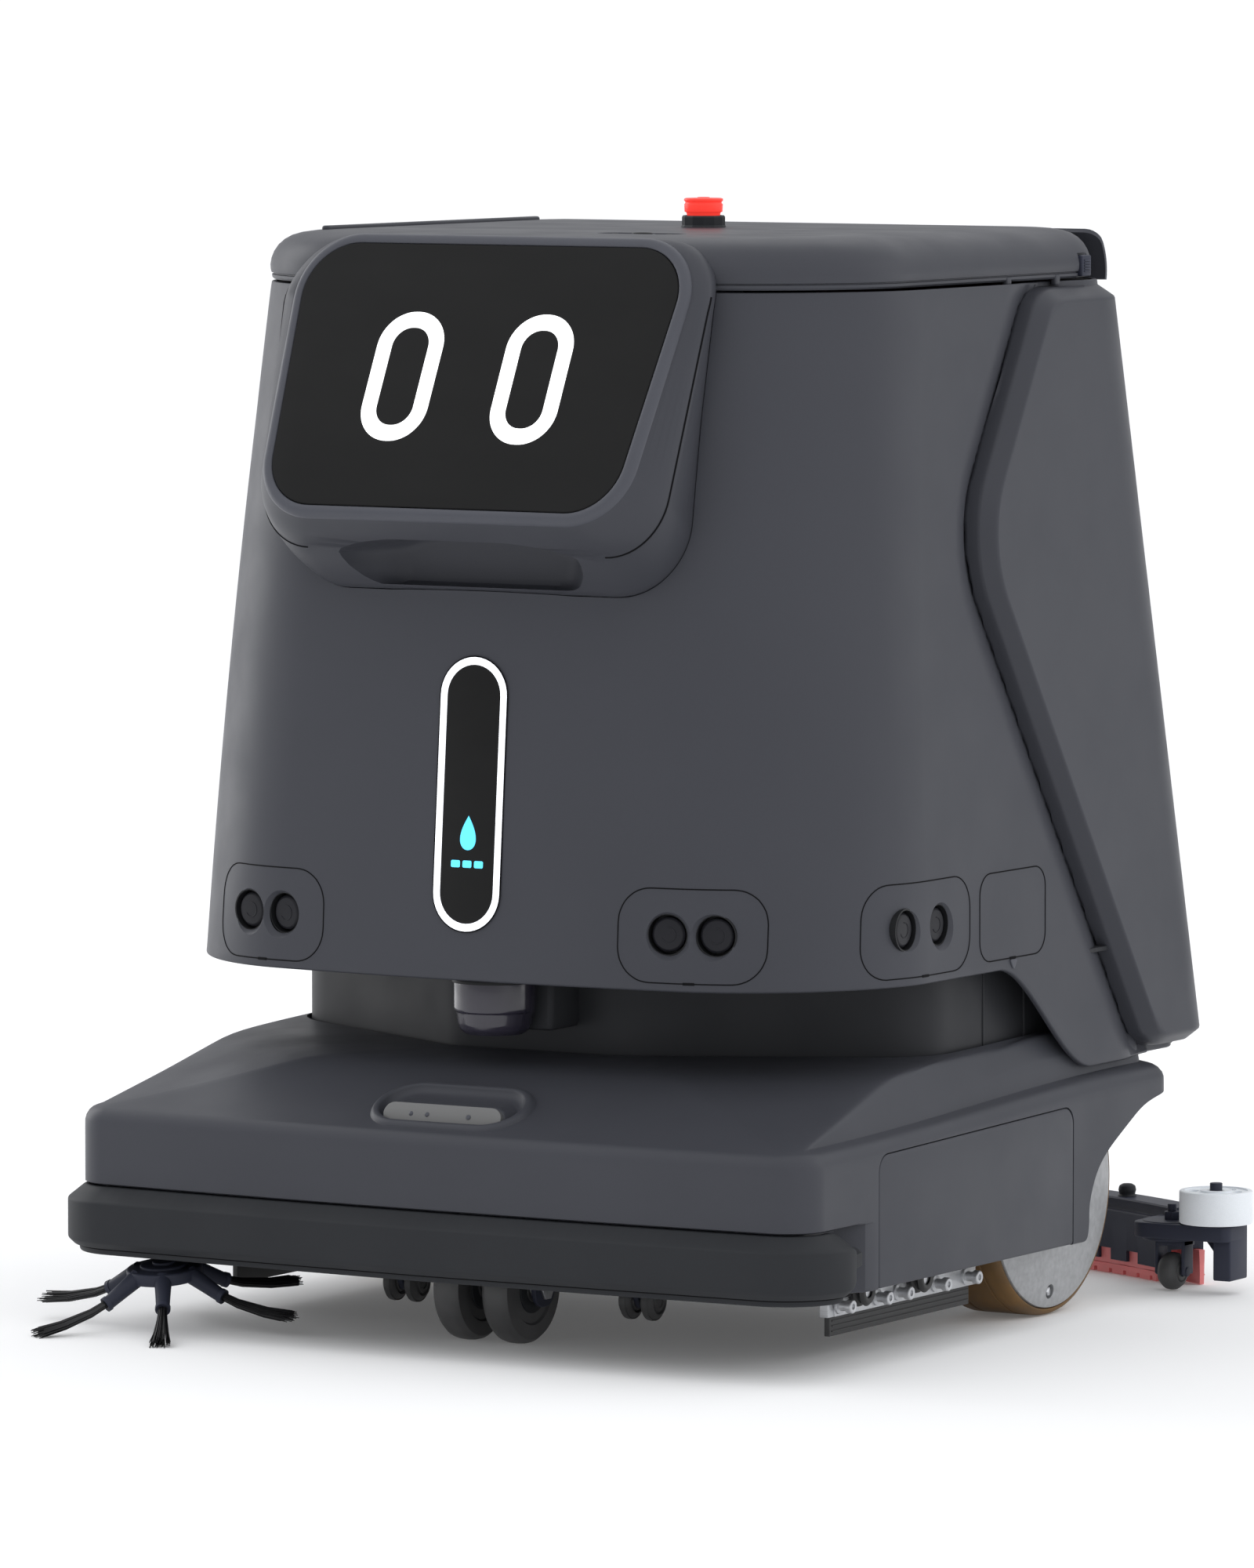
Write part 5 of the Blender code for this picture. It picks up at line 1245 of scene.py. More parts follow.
LID_HALF = 0.222
LID_FRONT_Y = -0.187
LID_BACK_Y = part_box("lid_shell")[1].y
LID_LOW_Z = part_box("lid_shell")[0].z
LID_SHOWN_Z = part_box("lid_shell")[1].z - 0.0017
LID_COUNTS = (24, 28, 40, 20, 18)
HINGE_Y, HINGE_Z = 0.178, 0.648
HINGE_SLOPE = 1.43
HOOD_CLEAR = 0.0306


def lid_ring(inset, z):
    ones = np.ones(sum(LID_COUNTS) + 1)
    pulled = min(inset, 0.052)
    x, y = half_plan((LID_HALF - inset) * ones, LID_FRONT_Y + inset, LID_BACK_Y - inset * 0.6,
                     max(0.100 - inset, 0.03), 0.055 - pulled * 0.98, LID_COUNTS)
    y = bowed(x, y, 1.3)
    low = LID_LOW_Z + 0 * x
    clear = HINGE_Z - 0.0030 + HINGE_SLOPE * (y - HINGE_Y)
    floor_z = np.clip(clear, low, LID_SHOWN_Z - 0.0060)
    lifted = floor_z + (z - low) * (LID_SHOWN_Z - floor_z) / (LID_SHOWN_Z - low)
    reach = np.sqrt(np.maximum(HOOD_CLEAR ** 2 - (lifted - HINGE_Z) ** 2, 0.0))
    return whole(np.column_stack([x, np.minimum(y, HINGE_Y + reach), lifted]))


def lid():
    low, top = LID_LOW_Z, LID_SHOWN_Z
    steps = [(0.0058, low + 0.0036), (0.0050, low + 0.0006), (0.0038, low), (0.0024, low + 0.0002),
             (0.0012, low + 0.0014), (0.0011, low + 0.0030), (0.0021, low + 0.0034), (0.0021, low + 0.0039),
             (0.0007, low + 0.0043), (0.0002, low + 0.0060), (0.0000, low + 0.0090), (0.0008, low + 0.0132),
             (0.0026, low + 0.0172), (0.0056, low + 0.0212), (0.0098, low + 0.0246), (0.0150, low + 0.0272),
             (0.0215, low + 0.0289), (0.0300, low + 0.0300), (0.0400, top - 0.0003), (0.0520, top)]
    rings = [lid_ring(inset, z) for inset, z in steps]
    centre = np.array([0.0, 0.012, top])
    edge = rings[-1]
    for share in (0.25, 0.5, 0.75, 0.9):
        ring = edge + (centre - edge) * share
        ring[:, 2] = top - 0.0002 * share
        rings.append(ring)
    inner = [lid_ring(0.0300, top - 0.0045), lid_ring(0.0105, top - 0.0120), lid_ring(0.0058, low + 0.010)]
    mesh = skin("lid_panel", inner + rings)
    recess = [(y, x) for x, y in reversed(capsule(0.0125, 0.0300, 14))]
    pocket = skin("recess", [flat_ring(inward(recess, 0.0012), top - 0.0022),
                             flat_ring(inward(recess, 0.0010), top - 0.0016),
                             flat_ring(inward(recess, -0.0040), top + 0.004)])
    latch = middle("lid_latch")
    slot = box("slot", (0.008, 0.0145, 0.0160), (latch.x + 0.0012, latch.y, latch.z), 0.0006)
    button = middle("power_button")
    well = disc(0.0070, top - 0.0042, top + 0.0010, 0.0002, 48)
    cutters = [moved(pocket, RECESS), slot, moved(well, (button.x, button.y, 0))]
    piece("lid_panel", carved(mesh, cutters), "shell", "lid", ["lid_shell"], sharp=30)
    liner = [(-0.190, -0.140), (0.190, -0.140), (0.200, -0.100), (0.200, 0.150), (0.170, 0.185),
             (-0.170, 0.185),
             (-0.200, 0.150), (-0.200, -0.100)]
    plate = slab("lid_liner", rounded_polygon(liner, [0.006] * 8, 4), top - 0.0215, top - 0.0185, 0.0008)
    piece("lid_liner", plate, "waist", "lid")
    strip = slab("lid_ridge", rounded_box(0.0030, 0.128, 0.0029, 8), -0.0020, 0.0022, 0.0016, 4)
    piece("lid_ridge", moved(strip, (-0.180, 0.024, top - 0.0002)), "shell", "lid")
    for index, y in enumerate((0.053, 0.116)):
        tab = box("lid_tab", (0.004, 0.0060, 0.0070), (0.2195, y, low - 0.0004), 0.0012)
        piece("lid_tab_%d" % index, tab, "shell", "lid")
    gasket = wall_ring(1.0, WALL + 0.0016)
    ring = whole(gasket)
    open_front = [tuple(point + (0, 0, -0.0030)) for point in ring if point[1] > -0.17]
    open_front.sort(key=lambda p: atan2(p[0], -(p[1] + 0.30)))
    piece("rim_gasket", tube("rim_gasket", open_front, 0.0022, 8), "rubber", "chassis", sharp=80)


RECESS = Vector((0.040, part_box("power_button")[0].y / 2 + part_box("power_button")[1].y / 2, 0.0))


def lid_controls():
    place = middle("power_button")
    cap = softened([(0.0, 0.0004), (0.0040, 0.0002), (0.0054, 0.0008), (0.0064, 0.0004), (0.0066, -0.0030),
                    (0.0, -0.0030)],
                   0.0006)
    piece("power_cap", moved(turned("power_cap", cap, 48), (place.x, place.y, LID_SHOWN_Z - 0.0002)), "dark",
          "button",
          ["power_button"])
    ring = softened([(0.0072, -0.0010), (0.0080, -0.0004), (0.0086, -0.0010), (0.0086, -0.0026),
                     (0.0072, -0.0026),
                     (0.0072, -0.0010)], 0.0003)
    piece("power_ring", moved(turned("power_ring", ring, 48), (place.x, place.y, LID_SHOWN_Z)), "bezel",
          "lid")
    for index, x in enumerate((-0.019, 0.0190)):
        dot = softened([(0, 0.0), (0.0018, -0.0002), (0.0026, -0.0010), (0.0026, -0.0026), (0, -0.0026)],
                       0.0004)
        spot = (place.x + x, place.y, LID_SHOWN_Z)
        piece("recess_dot_%d" % index, moved(turned("recess_dot", dot, 28), spot), "dark", "lid")
    emergency_stop()


def emergency_stop():
    place = middle("estop_button")
    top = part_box("estop_button")[1].z
    low = LID_SHOWN_Z
    collar_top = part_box("estop_collar")[1].z
    collar = [(0.0129, collar_top), (0.0136, collar_top - 0.0010), (0.0136, low + 0.0012), (0.0142, low),
              (0.0127, low), (0.0127, collar_top)]
    piece("stop_collar", moved(turned("stop_collar", collar, 12, closed=True), (place.x, place.y, 0)),
          "bumper", "lid",
          ["estop_collar"], sharp=20)
    base_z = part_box("estop_button")[0].z
    cap = [(0.0, top), (0.0036, top), (0.0042, top - 0.0005), (0.0112, top - 0.0006), (0.0123, top - 0.0011),
           (0.0123, top - 0.0024), (0.0115, top - 0.0028), (0.0115, top - 0.0040), (0.0122, top - 0.0044),
           (0.0120, top - 0.0092), (0.0108, top - 0.0096), (0.0102, base_z), (0.0, base_z)]
    # the red finish gives this cap a painted glow; the button holds no lamp
    button = turned("stop_button", softened(cap, 0.0003), 64)
    piece("stop_button", moved(button, (place.x, place.y, 0)), "red", "estop", ["estop_button"],
          sharp=30)


def latch():
    low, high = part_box("lid_latch")
    place = (low + high) / 2
    size = high - low
    body = box("latch_tab", (size.x, size.y, size.z), (0, 0, 0), 0.0010)
    ribs = [box("rib", (0.0012, size.y * 0.62, 0.0011), (size.x / 2 + 0.0001, 0, size.z * (0.26 - 0.13 * k)),
                0.0004)
            for k in range(5)]
    barrel = turned("barrel", softened([(0, 0.0058), (0.0016, 0.0058), (0.0016, -0.0058), (0, -0.0058)],
                                       0.0005), 20)
    barrel = moved(barrel, (0, 0, size.z / 2 - 0.0014), aim((0, 1, 0)))
    piece("latch_tab", moved(merged("latch_tab", [body, barrel] + ribs), place), "navy", "latch",
          ["lid_latch"])


def hood():
    """Curved cap behind the lid, an arc about the lid's hinge line with rounded ends."""
    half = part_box("rear_hood")[1].x
    outer = 0.0345
    inner = 0.0315
    rings = []
    near = np.array([0.0, 0.4, 1.2, 2.6, 4.6, 7.0, 10.0]) / 1000
    spots = np.concatenate([-half + near, np.linspace(-half + 0.02, half - 0.02, 24), half - near[::-1]])
    for x in spots:
        gap = min(half - abs(x), 0.010)
        fade = 0.010 - (0.010 ** 2 - (0.010 - gap) ** 2) ** 0.5
        top_angle = 50 - degrees_of(fade, outer)
        section = arc(HINGE_Y, HINGE_Z, outer - fade * 0.12, top_angle, -10, 14)
        section += arc(HINGE_Y, HINGE_Z, inner - fade * 0.05, -10, top_angle, 14)
        rings.append([(x, y, z) for y, z in section])
    piece("hood_cap", skin("hood_cap", rings), "shell", "chassis", ["rear_hood"], sharp=40)


def degrees_of(length, radius):
    return length / radius * 180 / pi


# ---------------------------------------------------------------- screen

EYE_STROKE = 0.0104


def housing():
    mesh = carved(skin("screen_housing", housing_rings()), [grip_cutter()])
    piece("screen_housing", mesh, "shell", "lid", ["face_cover"], sharp=35)
    line = [Vector(point) for point in scaled(housing_rings()[6], 1.0004)]
    grip = 0.086
    right = [p for p in line if p.z < 0.6460 and p.x > grip]
    left = [p for p in line if p.z < 0.6460 and p.x < -grip]
    right.sort(key=lambda p: p.z * 3 + p.x)
    left.sort(key=lambda p: p.z * 3 - p.x)
    seam("housing_joint_left", right, "lid", 0.0006, closed=False)
    seam("housing_joint_right", left, "lid", 0.0006, closed=False)


def grip_cutter():
    """Hollow under the screen for the fingers: flat floor, ceiling drooping at both ends."""
    outline = [(-0.0790, 0.4640), (0.0790, 0.4640), (0.0850, 0.4672), (0.0868, 0.4830), (0.0830, 0.4868),
               (0.0640, 0.4915), (0.0420, 0.4940), (-0.0420, 0.4940), (-0.0640, 0.4915), (-0.0830, 0.4868),
               (-0.0868, 0.4830), (-0.0850, 0.4672)]
    outline = resampled(softened(outline + [outline[0]], 0.006, 4), 96)
    rings = []
    for y, squeeze, inset in ((-0.32, 1.0, 0.0), (-0.2380, 1.0, 0.0), (-0.2280, 0.965, 0.0),
                              (-0.2180, 0.90, 0.0),
                              (-0.2100, 0.825, 0.0), (-0.2050, 0.76, 0.0006), (-0.2028, 0.72, 0.0020),
                              (-0.2018, 0.68, 0.0045)):
        ring = inward(outline, inset)
        rings.append(np.column_stack([ring[:, 0] * squeeze, np.full(len(ring), y), ring[:, 1]]))
    return skin("grip_cutter", rings)


def screen():
    outer = np.array(face_outline(FRAME_BORDER))
    inner = np.array(face_outline(0.0))
    steps = ((0.0, 0.0070), (-0.0002, 0.0046), (0.0004, 0.0030), (0.0016, 0.0014), (0.0030, 0.0006),
             (0.0046, 0.0003),
             (0.0062, 0.0004), (0.0071, 0.0009), (0.0074, 0.0018), (0.0074, 0.0070))
    rings = []
    for inset, depth in steps:
        share = inset / 0.0075
        ring = outer + (inner - outer) * share
        rings.append(on_face(ring, depth))
    piece("screen_bezel", skin("screen_bezel", rings, loop=True), "bezel", "lid", ["screen_frame"],
          sharp=50)
    pane_rings = [on_face(inward(inner, 0.0002), 0.0040), on_face(inward(inner, 0.0002), 0.0012),
                  on_face(inward(inner, 0.0006), 0.0007), on_face(inward(inner, 0.0020), 0.0005)]
    piece("screen_pane", skin("screen_pane", pane_rings), "glass", "lid", ["screen_glass"])
    for label, x in (("left", 0.0463), ("right", -0.0457)):
        piece("display_eye_" + label, eye_shape(label, x), "eyes", "lid")


def eye_shape(label, x):
    """A plain closed loop, the same for both sides of the display."""
    outer = resampled(rounded_box(0.0235, 0.0428, 0.0228, 16), 120)
    inner = resampled(rounded_box(0.0235 - EYE_STROKE, 0.0428 - EYE_STROKE, 0.0228 - EYE_STROKE, 16), 120)
    rings = []
    for outline, depth in ((outer, 0.0006), (outer, 0.0002), (inner, 0.0002), (inner, 0.0006)):
        rings.append(on_face([(x + a, b - 0.0014) for a, b in outline], depth))
    return skin("display_eye_" + label, rings, loop=True)


# ---------------------------------------------------------------- wheels and casters

def span(node):
    low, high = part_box(node)
    return high - low


def rides(node):
    return frame["nodes"][node]["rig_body"]


def ring_of(radius, inner, low, high, soft, segments=48):
    """A washer-like ring with softened edges."""
    corners = [(radius, low), (radius, high), (inner, high), (inner, low)]
    line = softened([corners[0], *corners[1:], corners[0], corners[1]], soft)
    return turned("ring", line[1:-1], segments, closed=True)


def disc(radius, low, high, soft=0.0006, segments=40):
    return turned("disc", softened([(0, high), (radius, high), (radius, low), (0, low)], soft), segments)


def hexagon(across_flats, low, high):
    """A bolt head or nut with chamfered corners."""
    corner = across_flats / 3 ** 0.5
    outline = [(corner * cos(k * pi / 3), corner * sin(k * pi / 3)) for k in range(6)]
    rounded = rounded_polygon(outline, [corner * 0.08] * 6, 2)
    return slab("hexagon", rounded, low, high, (high - low) * 0.12, 2)


def drive_wheel(label, side):
    tyre_node = "drive_tyre_" + label
    place = middle(tyre_node)
    half = span(tyre_node).x / 2
    radius = place.z
    turn = aim((side, 0, 0))
    edge = [(0.0752, half - 0.0095), (0.0756, half - 0.0076), (0.0766, half - 0.0072),
            (0.0782, half - 0.0082),
            (radius - 0.0006, half - 0.0108), (radius - 0.0001, half - 0.0130)]
    other = [(r, -h) for r, h in reversed(edge)]
    grooves = [(radius, 0.0130), (radius - 0.0008, 0.0124), (radius - 0.0008, 0.0116), (radius, 0.0110),
               (radius, -0.0110), (radius - 0.0008, -0.0116), (radius - 0.0008, -0.0124), (radius, -0.0130)]
    tyre = turned(tyre_node, edge + grooves + other, 160, closed=True)
    piece("tyre_" + label, moved(tyre, place, turn), "tyre", rides(tyre_node), [tyre_node], sharp=40)
    hub_node = "drive_hub_" + label
    dome = [(0.0, half - 0.0002), (0.0160, half - 0.0004), (0.0320, half - 0.0010), (0.0450, half - 0.0019),
            (0.0560, half - 0.0030), (0.0640, half - 0.0042), (0.0700, half - 0.0053),
            (0.0732, half - 0.0060),
            (0.0746, half - 0.0066), (0.0750, half - 0.0078)]
    back = [(0.0750, -half + 0.012), (0.0660, -half + 0.012), (0.0620, -half + 0.016),
            (0.0260, -half + 0.016),
            (0.0220, -half + 0.004), (0.0, -half + 0.004)]
    hub = turned(hub_node, dome + back, 128)
    bolts = []
    cutters = []
    for angle in (-96.5, 23.5, 143.5):
        spot = Vector((0.0645 * cos(radians(angle)), 0.0645 * sin(radians(angle)), half - 0.0050))
        cutters.append(moved(disc(0.0046, -0.0040, 0.0060, 0.0002), spot))
        bolts.append(moved(hexagon(0.0052, -0.0038, 0.0000), spot))
        bolts.append(moved(ring_of(0.0042, 0.0030, -0.0041, -0.0032, 0.0002, 32), spot))
    stand = aim_side(side)
    piece("hub_" + label, moved(carved(hub, cutters), place, stand), "hub", rides(hub_node), [hub_node],
          30)
    piece("hub_bolts_" + label, moved(merged("hub_bolts", bolts), place, stand), "steel", rides(hub_node))


def aim_side(side):
    """Local X points to the robot's rear, local Y up and local Z out to one side."""
    if side > 0:
        return Matrix(((0, 0, 1, 0), (1, 0, 0, 0), (0, 1, 0, 0), (0, 0, 0, 1)))
    return Matrix(((0, 0, -1, 0), (-1, 0, 0, 0), (0, 1, 0, 0), (0, 0, 0, 1)))


def roller_profile(radius, half, bore, crown=0.0006, tread=0.62):
    """Half section of a small wheel: rounded tread, stepped side and a raised boss round its bore."""
    face = [(bore, half), (bore + 0.0022, half), (bore + 0.0030, half - 0.0012),
            (radius * tread, half - 0.0016),
            (radius * tread + 0.0012, half - 0.0002), (radius - 0.0030, half - 0.0006),
            (radius - 0.0008, half - 0.0032),
            (radius - crown * 0.3, half * 0.4), (radius, 0.0)]
    return face + [(r, -h) for r, h in reversed(face[:-1])]


def front_caster():
    for label, side in SIDES:
        node = "caster_wheel_" + label
        place = middle(node)
        wheel = turned(node, roller_profile(0.0340, span(node).x / 2, 0.0056), 96, closed=True)
        cap = ring_of(0.0150, 0.0058, -span(node).x / 2 + 0.0002, span(node).x / 2 - 0.0003, 0.0005)
        piece("caster_roll_" + label, moved(wheel, place, aim((side, 0, 0))), "caster", rides(node), [node],
              35)
        piece("caster_cap_" + label, moved(cap, place, aim((side, 0, 0))), "bumper", rides(node))
    body = rides("caster_fork")
    axle_y = middle("caster_wheel_left").y
    axle_z = middle("caster_wheel_left").z
    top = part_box("caster_fork")[1].z
    post = turned("post", softened([(0, top), (0.0118, top), (0.0118, 0.0920), (0.0200, 0.0905),
                                    (0.0200, 0.0850),
                                    (0, 0.0850)], 0.0010), 48)
    post = moved(post, (0, stem_y(), 0))
    crown = slab("crown", rounded_box(0.0350, 0.0150, 0.005, 5), -0.003, 0.003, 0.0012)
    parts = [post, moved(crown, (0, axle_y - 0.006, 0.0835))]
    for side in PAIR:
        outline = rounded_polygon([(-0.0105, axle_z - 0.0105), (0.0105, axle_z - 0.0105), (0.0150, 0.0860),
                                   (-0.0190, 0.0860)], [0.0100, 0.0100, 0.003, 0.003], 7)
        cheek = slab("cheek", outline, -0.0016, 0.0016, 0.0007)
        slot_shape = [(x, y + 0.0600) for x, y in capsule(0.0042, 0.0115, 8)]
        cheek = carved(cheek, [slab("slot", slot_shape, -0.004, 0.004, 0.0001)])
        cheek.transform(SIDE_ON.to_4x4())
        parts.append(moved(cheek, (side * 0.0335, axle_y, 0)))
    axle = moved(disc(0.0050, -0.0362, 0.0362, 0.0006), (0, axle_y, axle_z), aim((1, 0, 0)))
    piece("caster_frame", merged("caster_frame", parts), "navy", body, ["caster_fork"])
    nuts = [axle]
    for side in PAIR:
        nuts.append(moved(hexagon(0.0110, 0.0, 0.0022), (side * 0.0351, axle_y, axle_z), aim((side, 0, 0))))
    piece("caster_axle", merged("caster_axle", nuts), "steel", body)


def stem_y():
    """Swivel axis of the front caster: its post stands ahead of the axle."""
    return -0.205


def guide_caster(label):
    fork, rollers = "guide_fork_" + label, "guide_rollers_" + label
    axle = middle(rollers)
    radius = 0.0120
    half = span(rollers).x / 2
    wheels = []
    for way in PAIR:
        profile = roller_profile(radius, (half - 0.0028) / 2, 0.0034, 0.0008, 0.55)
        wheels.append(moved(turned("wheel", profile, 56, closed=True), (0, 0, way * (half + 0.0028) / 2)))
    wheels.append(disc(0.0036, -half + 0.0004, half - 0.0004))
    piece("guide_roll_" + label, moved(merged("guide_roll", wheels), axle, aim((1, 0, 0))), "caster",
          rides(rollers),
          [rollers])
    pivot = Vector((axle.x, axle.y - 0.009, 0.0))
    web = rounded_polygon([(-0.0045, -0.0045), (0.0045, -0.0045), (0.0060, 0.0150), (0.0020, 0.0260),
                           (-0.0160, 0.0260),
                           (-0.0150, 0.0120)], [0.0042, 0.0042, 0.003, 0.002, 0.002, 0.006], 5)
    bore = disc(0.0041, -0.01, 0.01, 0.0001)
    web = carved(slab("web", web, -0.0019, 0.0019, 0.0006), [bore])
    web.transform(SIDE_ON.to_4x4())
    parts = [moved(web, axle)]
    guard = []
    for inset, way in ((0.0, 1), (0.0012, 1)):
        guard.append(arc(0, 0, radius + 0.0022 + 0.0016 * (1 if inset == 0 else 0), 128, 40, 14))
    outline = guard[0] + guard[1][::-1]
    cover = slab("guard", outline, -half + 0.0008, half - 0.0008, 0.0004, 2)
    cover.transform(SIDE_ON.to_4x4())
    parts.append(moved(cover, axle))
    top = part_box(fork)[1].z
    parts.append(moved(turned("post", softened([(0, top), (0.0059, top), (0.0059, 0.0540), (0.0095, 0.0530),
                                                (0.0095, 0.0500), (0, 0.0500)], 0.0006), 32), pivot))
    piece("guide_frame_" + label, merged("guide_frame", parts), "navy", rides(fork), [fork])


# ---------------------------------------------------------------- brush deck

def side_rail(label, side):
    bar_node, blade_node = "side_bar_" + label, "side_blade_" + label
    low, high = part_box(bar_node)
    body = rides(bar_node)
    back = high.y
    front = low.y
    inner_x = 0.2222
    length = back - front
    mid_y = (front + back) / 2
    plates = [box("rail_back", (0.0022, length, 0.0200), (inner_x + 0.0010, mid_y, 0.0500), 0.0005),
              box("rail_front", (0.0040, length, 0.0142), (inner_x + 0.0019, mid_y, 0.0351), 0.0007),
              box("rail_lip", (0.0030, length - 0.040, 0.0016), (inner_x + 0.0022, mid_y + 0.018, 0.0432),
                  0.0004),
              box("rail_end", (0.0064, 0.0080, 0.0195), (inner_x - 0.0001, front - 0.0030, 0.0377), 0.0007),
              box("rail_post", (0.0036, 0.0200, 0.0540), (inner_x + 0.0018, -0.0550, 0.0880), 0.0008)]
    if side > 0:
        studs, rings = (-0.167, -0.121, -0.095, -0.048, -0.009), (-0.146, -0.074)
    else:
        studs, rings = (-0.138, -0.106, -0.075, -0.042, -0.009), (-0.122, -0.058)
    for y in studs:
        shape = [(0.0, 0.0094), (0.0018, 0.0094), (0.0018, 0.0106), (0.0036, 0.0108), (0.0042, 0.0102),
                 (0.0042, 0.0068), (0.0031, 0.0064), (0.0031, 0.0020), (0.0052, 0.0016), (0.0052, 0.0),
                 (0.0, 0.0)]
        plates.append(moved(turned("stud", softened(shape, 0.0002), 28), (inner_x + 0.0038, y, 0.0345),
                            aim((1, 0, 0))))
    rail = merged("rail", plates)
    piece("rail_" + label, mirrored(rail, side), "aluminium", body, [bar_node])
    knobs = []
    for y in rings:
        shape = [(0.0042, 0.0096), (0.0060, 0.0102), (0.0078, 0.0096), (0.0092, 0.0080), (0.0078, 0.0064),
                 (0.0078, 0.0050), (0.0096, 0.0036), (0.0100, 0.0018), (0.0094, 0.0004), (0.0042, 0.0004)]
        knobs.append(moved(turned("knob", shape, 44, closed=True), (inner_x + 0.0038, y, 0.0415),
                           aim((1, 0, 0))))
    piece("rail_knobs_" + label, mirrored(merged("rail_knobs", knobs), side), "bristle", body)
    cores = [moved(disc(0.0043, 0.0, 0.0085, 0.0005), (inner_x + 0.0038, y, 0.0415),
                   aim((1, 0, 0))) for y in rings]
    piece("rail_knob_cores_" + label, mirrored(merged("cores", cores), side), "steel", body)
    blade_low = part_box(blade_node)[0].z
    blade = box("blade", (0.0038, length - 0.002, 0.0250),
                (inner_x - 0.0022, mid_y - 0.0005, blade_low + 0.0125), 0.0006)
    ribs = [box("rib", (0.0008, length - 0.006, 0.0010),
                (inner_x - 0.0001, mid_y, blade_low + 0.0030 + 0.0032 * k), 0.0003)
            for k in range(3)]
    piece("skirt_" + label, mirrored(merged("skirt", [blade] + ribs), side), "rubber", body, [blade_node])


def prisms(stations, sides=5):
    """Many small bars in one mesh.

    stations is bars x levels x (centre, radius) with a shared pair of axes per bar.
    """
    points, faces = [], []
    for centres, radii, across, over in stations:
        start = len(points)
        for centre, radius in zip(centres, radii):
            for k in range(sides):
                a = FULL_TURN * k / sides
                points.append(centre + across * (radius * cos(a)) + over * (radius * sin(a)))
        levels = len(centres)
        for level in range(levels - 1):
            for k in range(sides):
                low = start + level * sides
                j = (k + 1) % sides
                faces.append((low + k, low + j, low + sides + j, low + sides + k))
        faces.append(tuple(start + k for k in reversed(range(sides))))
        faces.append(tuple(start + (levels - 1) * sides + k for k in range(sides)))
    return mesh_of("bristles", points, faces)


def roller():
    """Brush roller: core with end caps and rows of bristle bundles in a gentle helix."""
    place = middle("roller_brush")
    reach = span("roller_brush").z / 2
    half = 0.1960
    chance = random.Random(5)
    bundles = []
    for column in range(62):
        x = -half + 0.003 + (2 * half - 0.006) * column / 61
        for row in range(18):
            angle = FULL_TURN * (row / 18 + column / 62 * 0.5) + (column % 2) * FULL_TURN / 36
            out = Vector((0, cos(angle), sin(angle)))
            side = Vector((0, -sin(angle), cos(angle)))
            lean = Vector((chance.uniform(-0.0008, 0.0008), 0, 0)) + side * chance.uniform(-0.0015, 0.0015)
            root = Vector((x, 0, 0)) + out * 0.0290
            tip = Vector((x, 0, 0)) + out * (reach - 0.0006 - chance.uniform(0, 0.0012)) + lean
            centres = [root, root.lerp(tip, 0.5), tip]
            bundles.append((centres, (0.0013, 0.0016, 0.0021), Vector((1, 0, 0)), side))
    body = rides("roller_brush")
    brush = prisms(bundles)
    piece("roller_bristles", moved(brush, place), "bristle", body, ["roller_brush"], sharp=60)
    core = [(0.0, 0.2045), (0.0078, 0.2045), (0.0086, 0.2035), (0.0086, 0.1985), (0.0300, 0.1985),
            (0.0310, 0.1970),
            (0.0298, 0.1950)]
    core = core + [(r, -h) for r, h in reversed(core)]
    piece("roller_core", moved(turned("roller_core", core, 64), place, aim((1, 0, 0))), "navy", body)


BRUSH_HUB = Vector((-0.206, -0.250, 0.0365))
BRUSH_TURN = Matrix.Rotation(radians(8), 4, "X")


def tuft_path(spin, along):
    """Middle of a tuft, sloping down out of its sleeve and flattening where it meets the floor."""
    stations = ((0.0180, -0.0010), (0.0300, -0.0078), (0.0410, -0.0140), (0.0560, -0.0190),
                (0.0740, -0.0222),
                (0.0930, -0.0236))
    reach = np.interp(along, np.linspace(0, 1, 6), [s[0] for s in stations])
    drop = np.interp(along, np.linspace(0, 1, 6), [s[1] for s in stations])
    return spin @ Vector((reach, 0, drop))


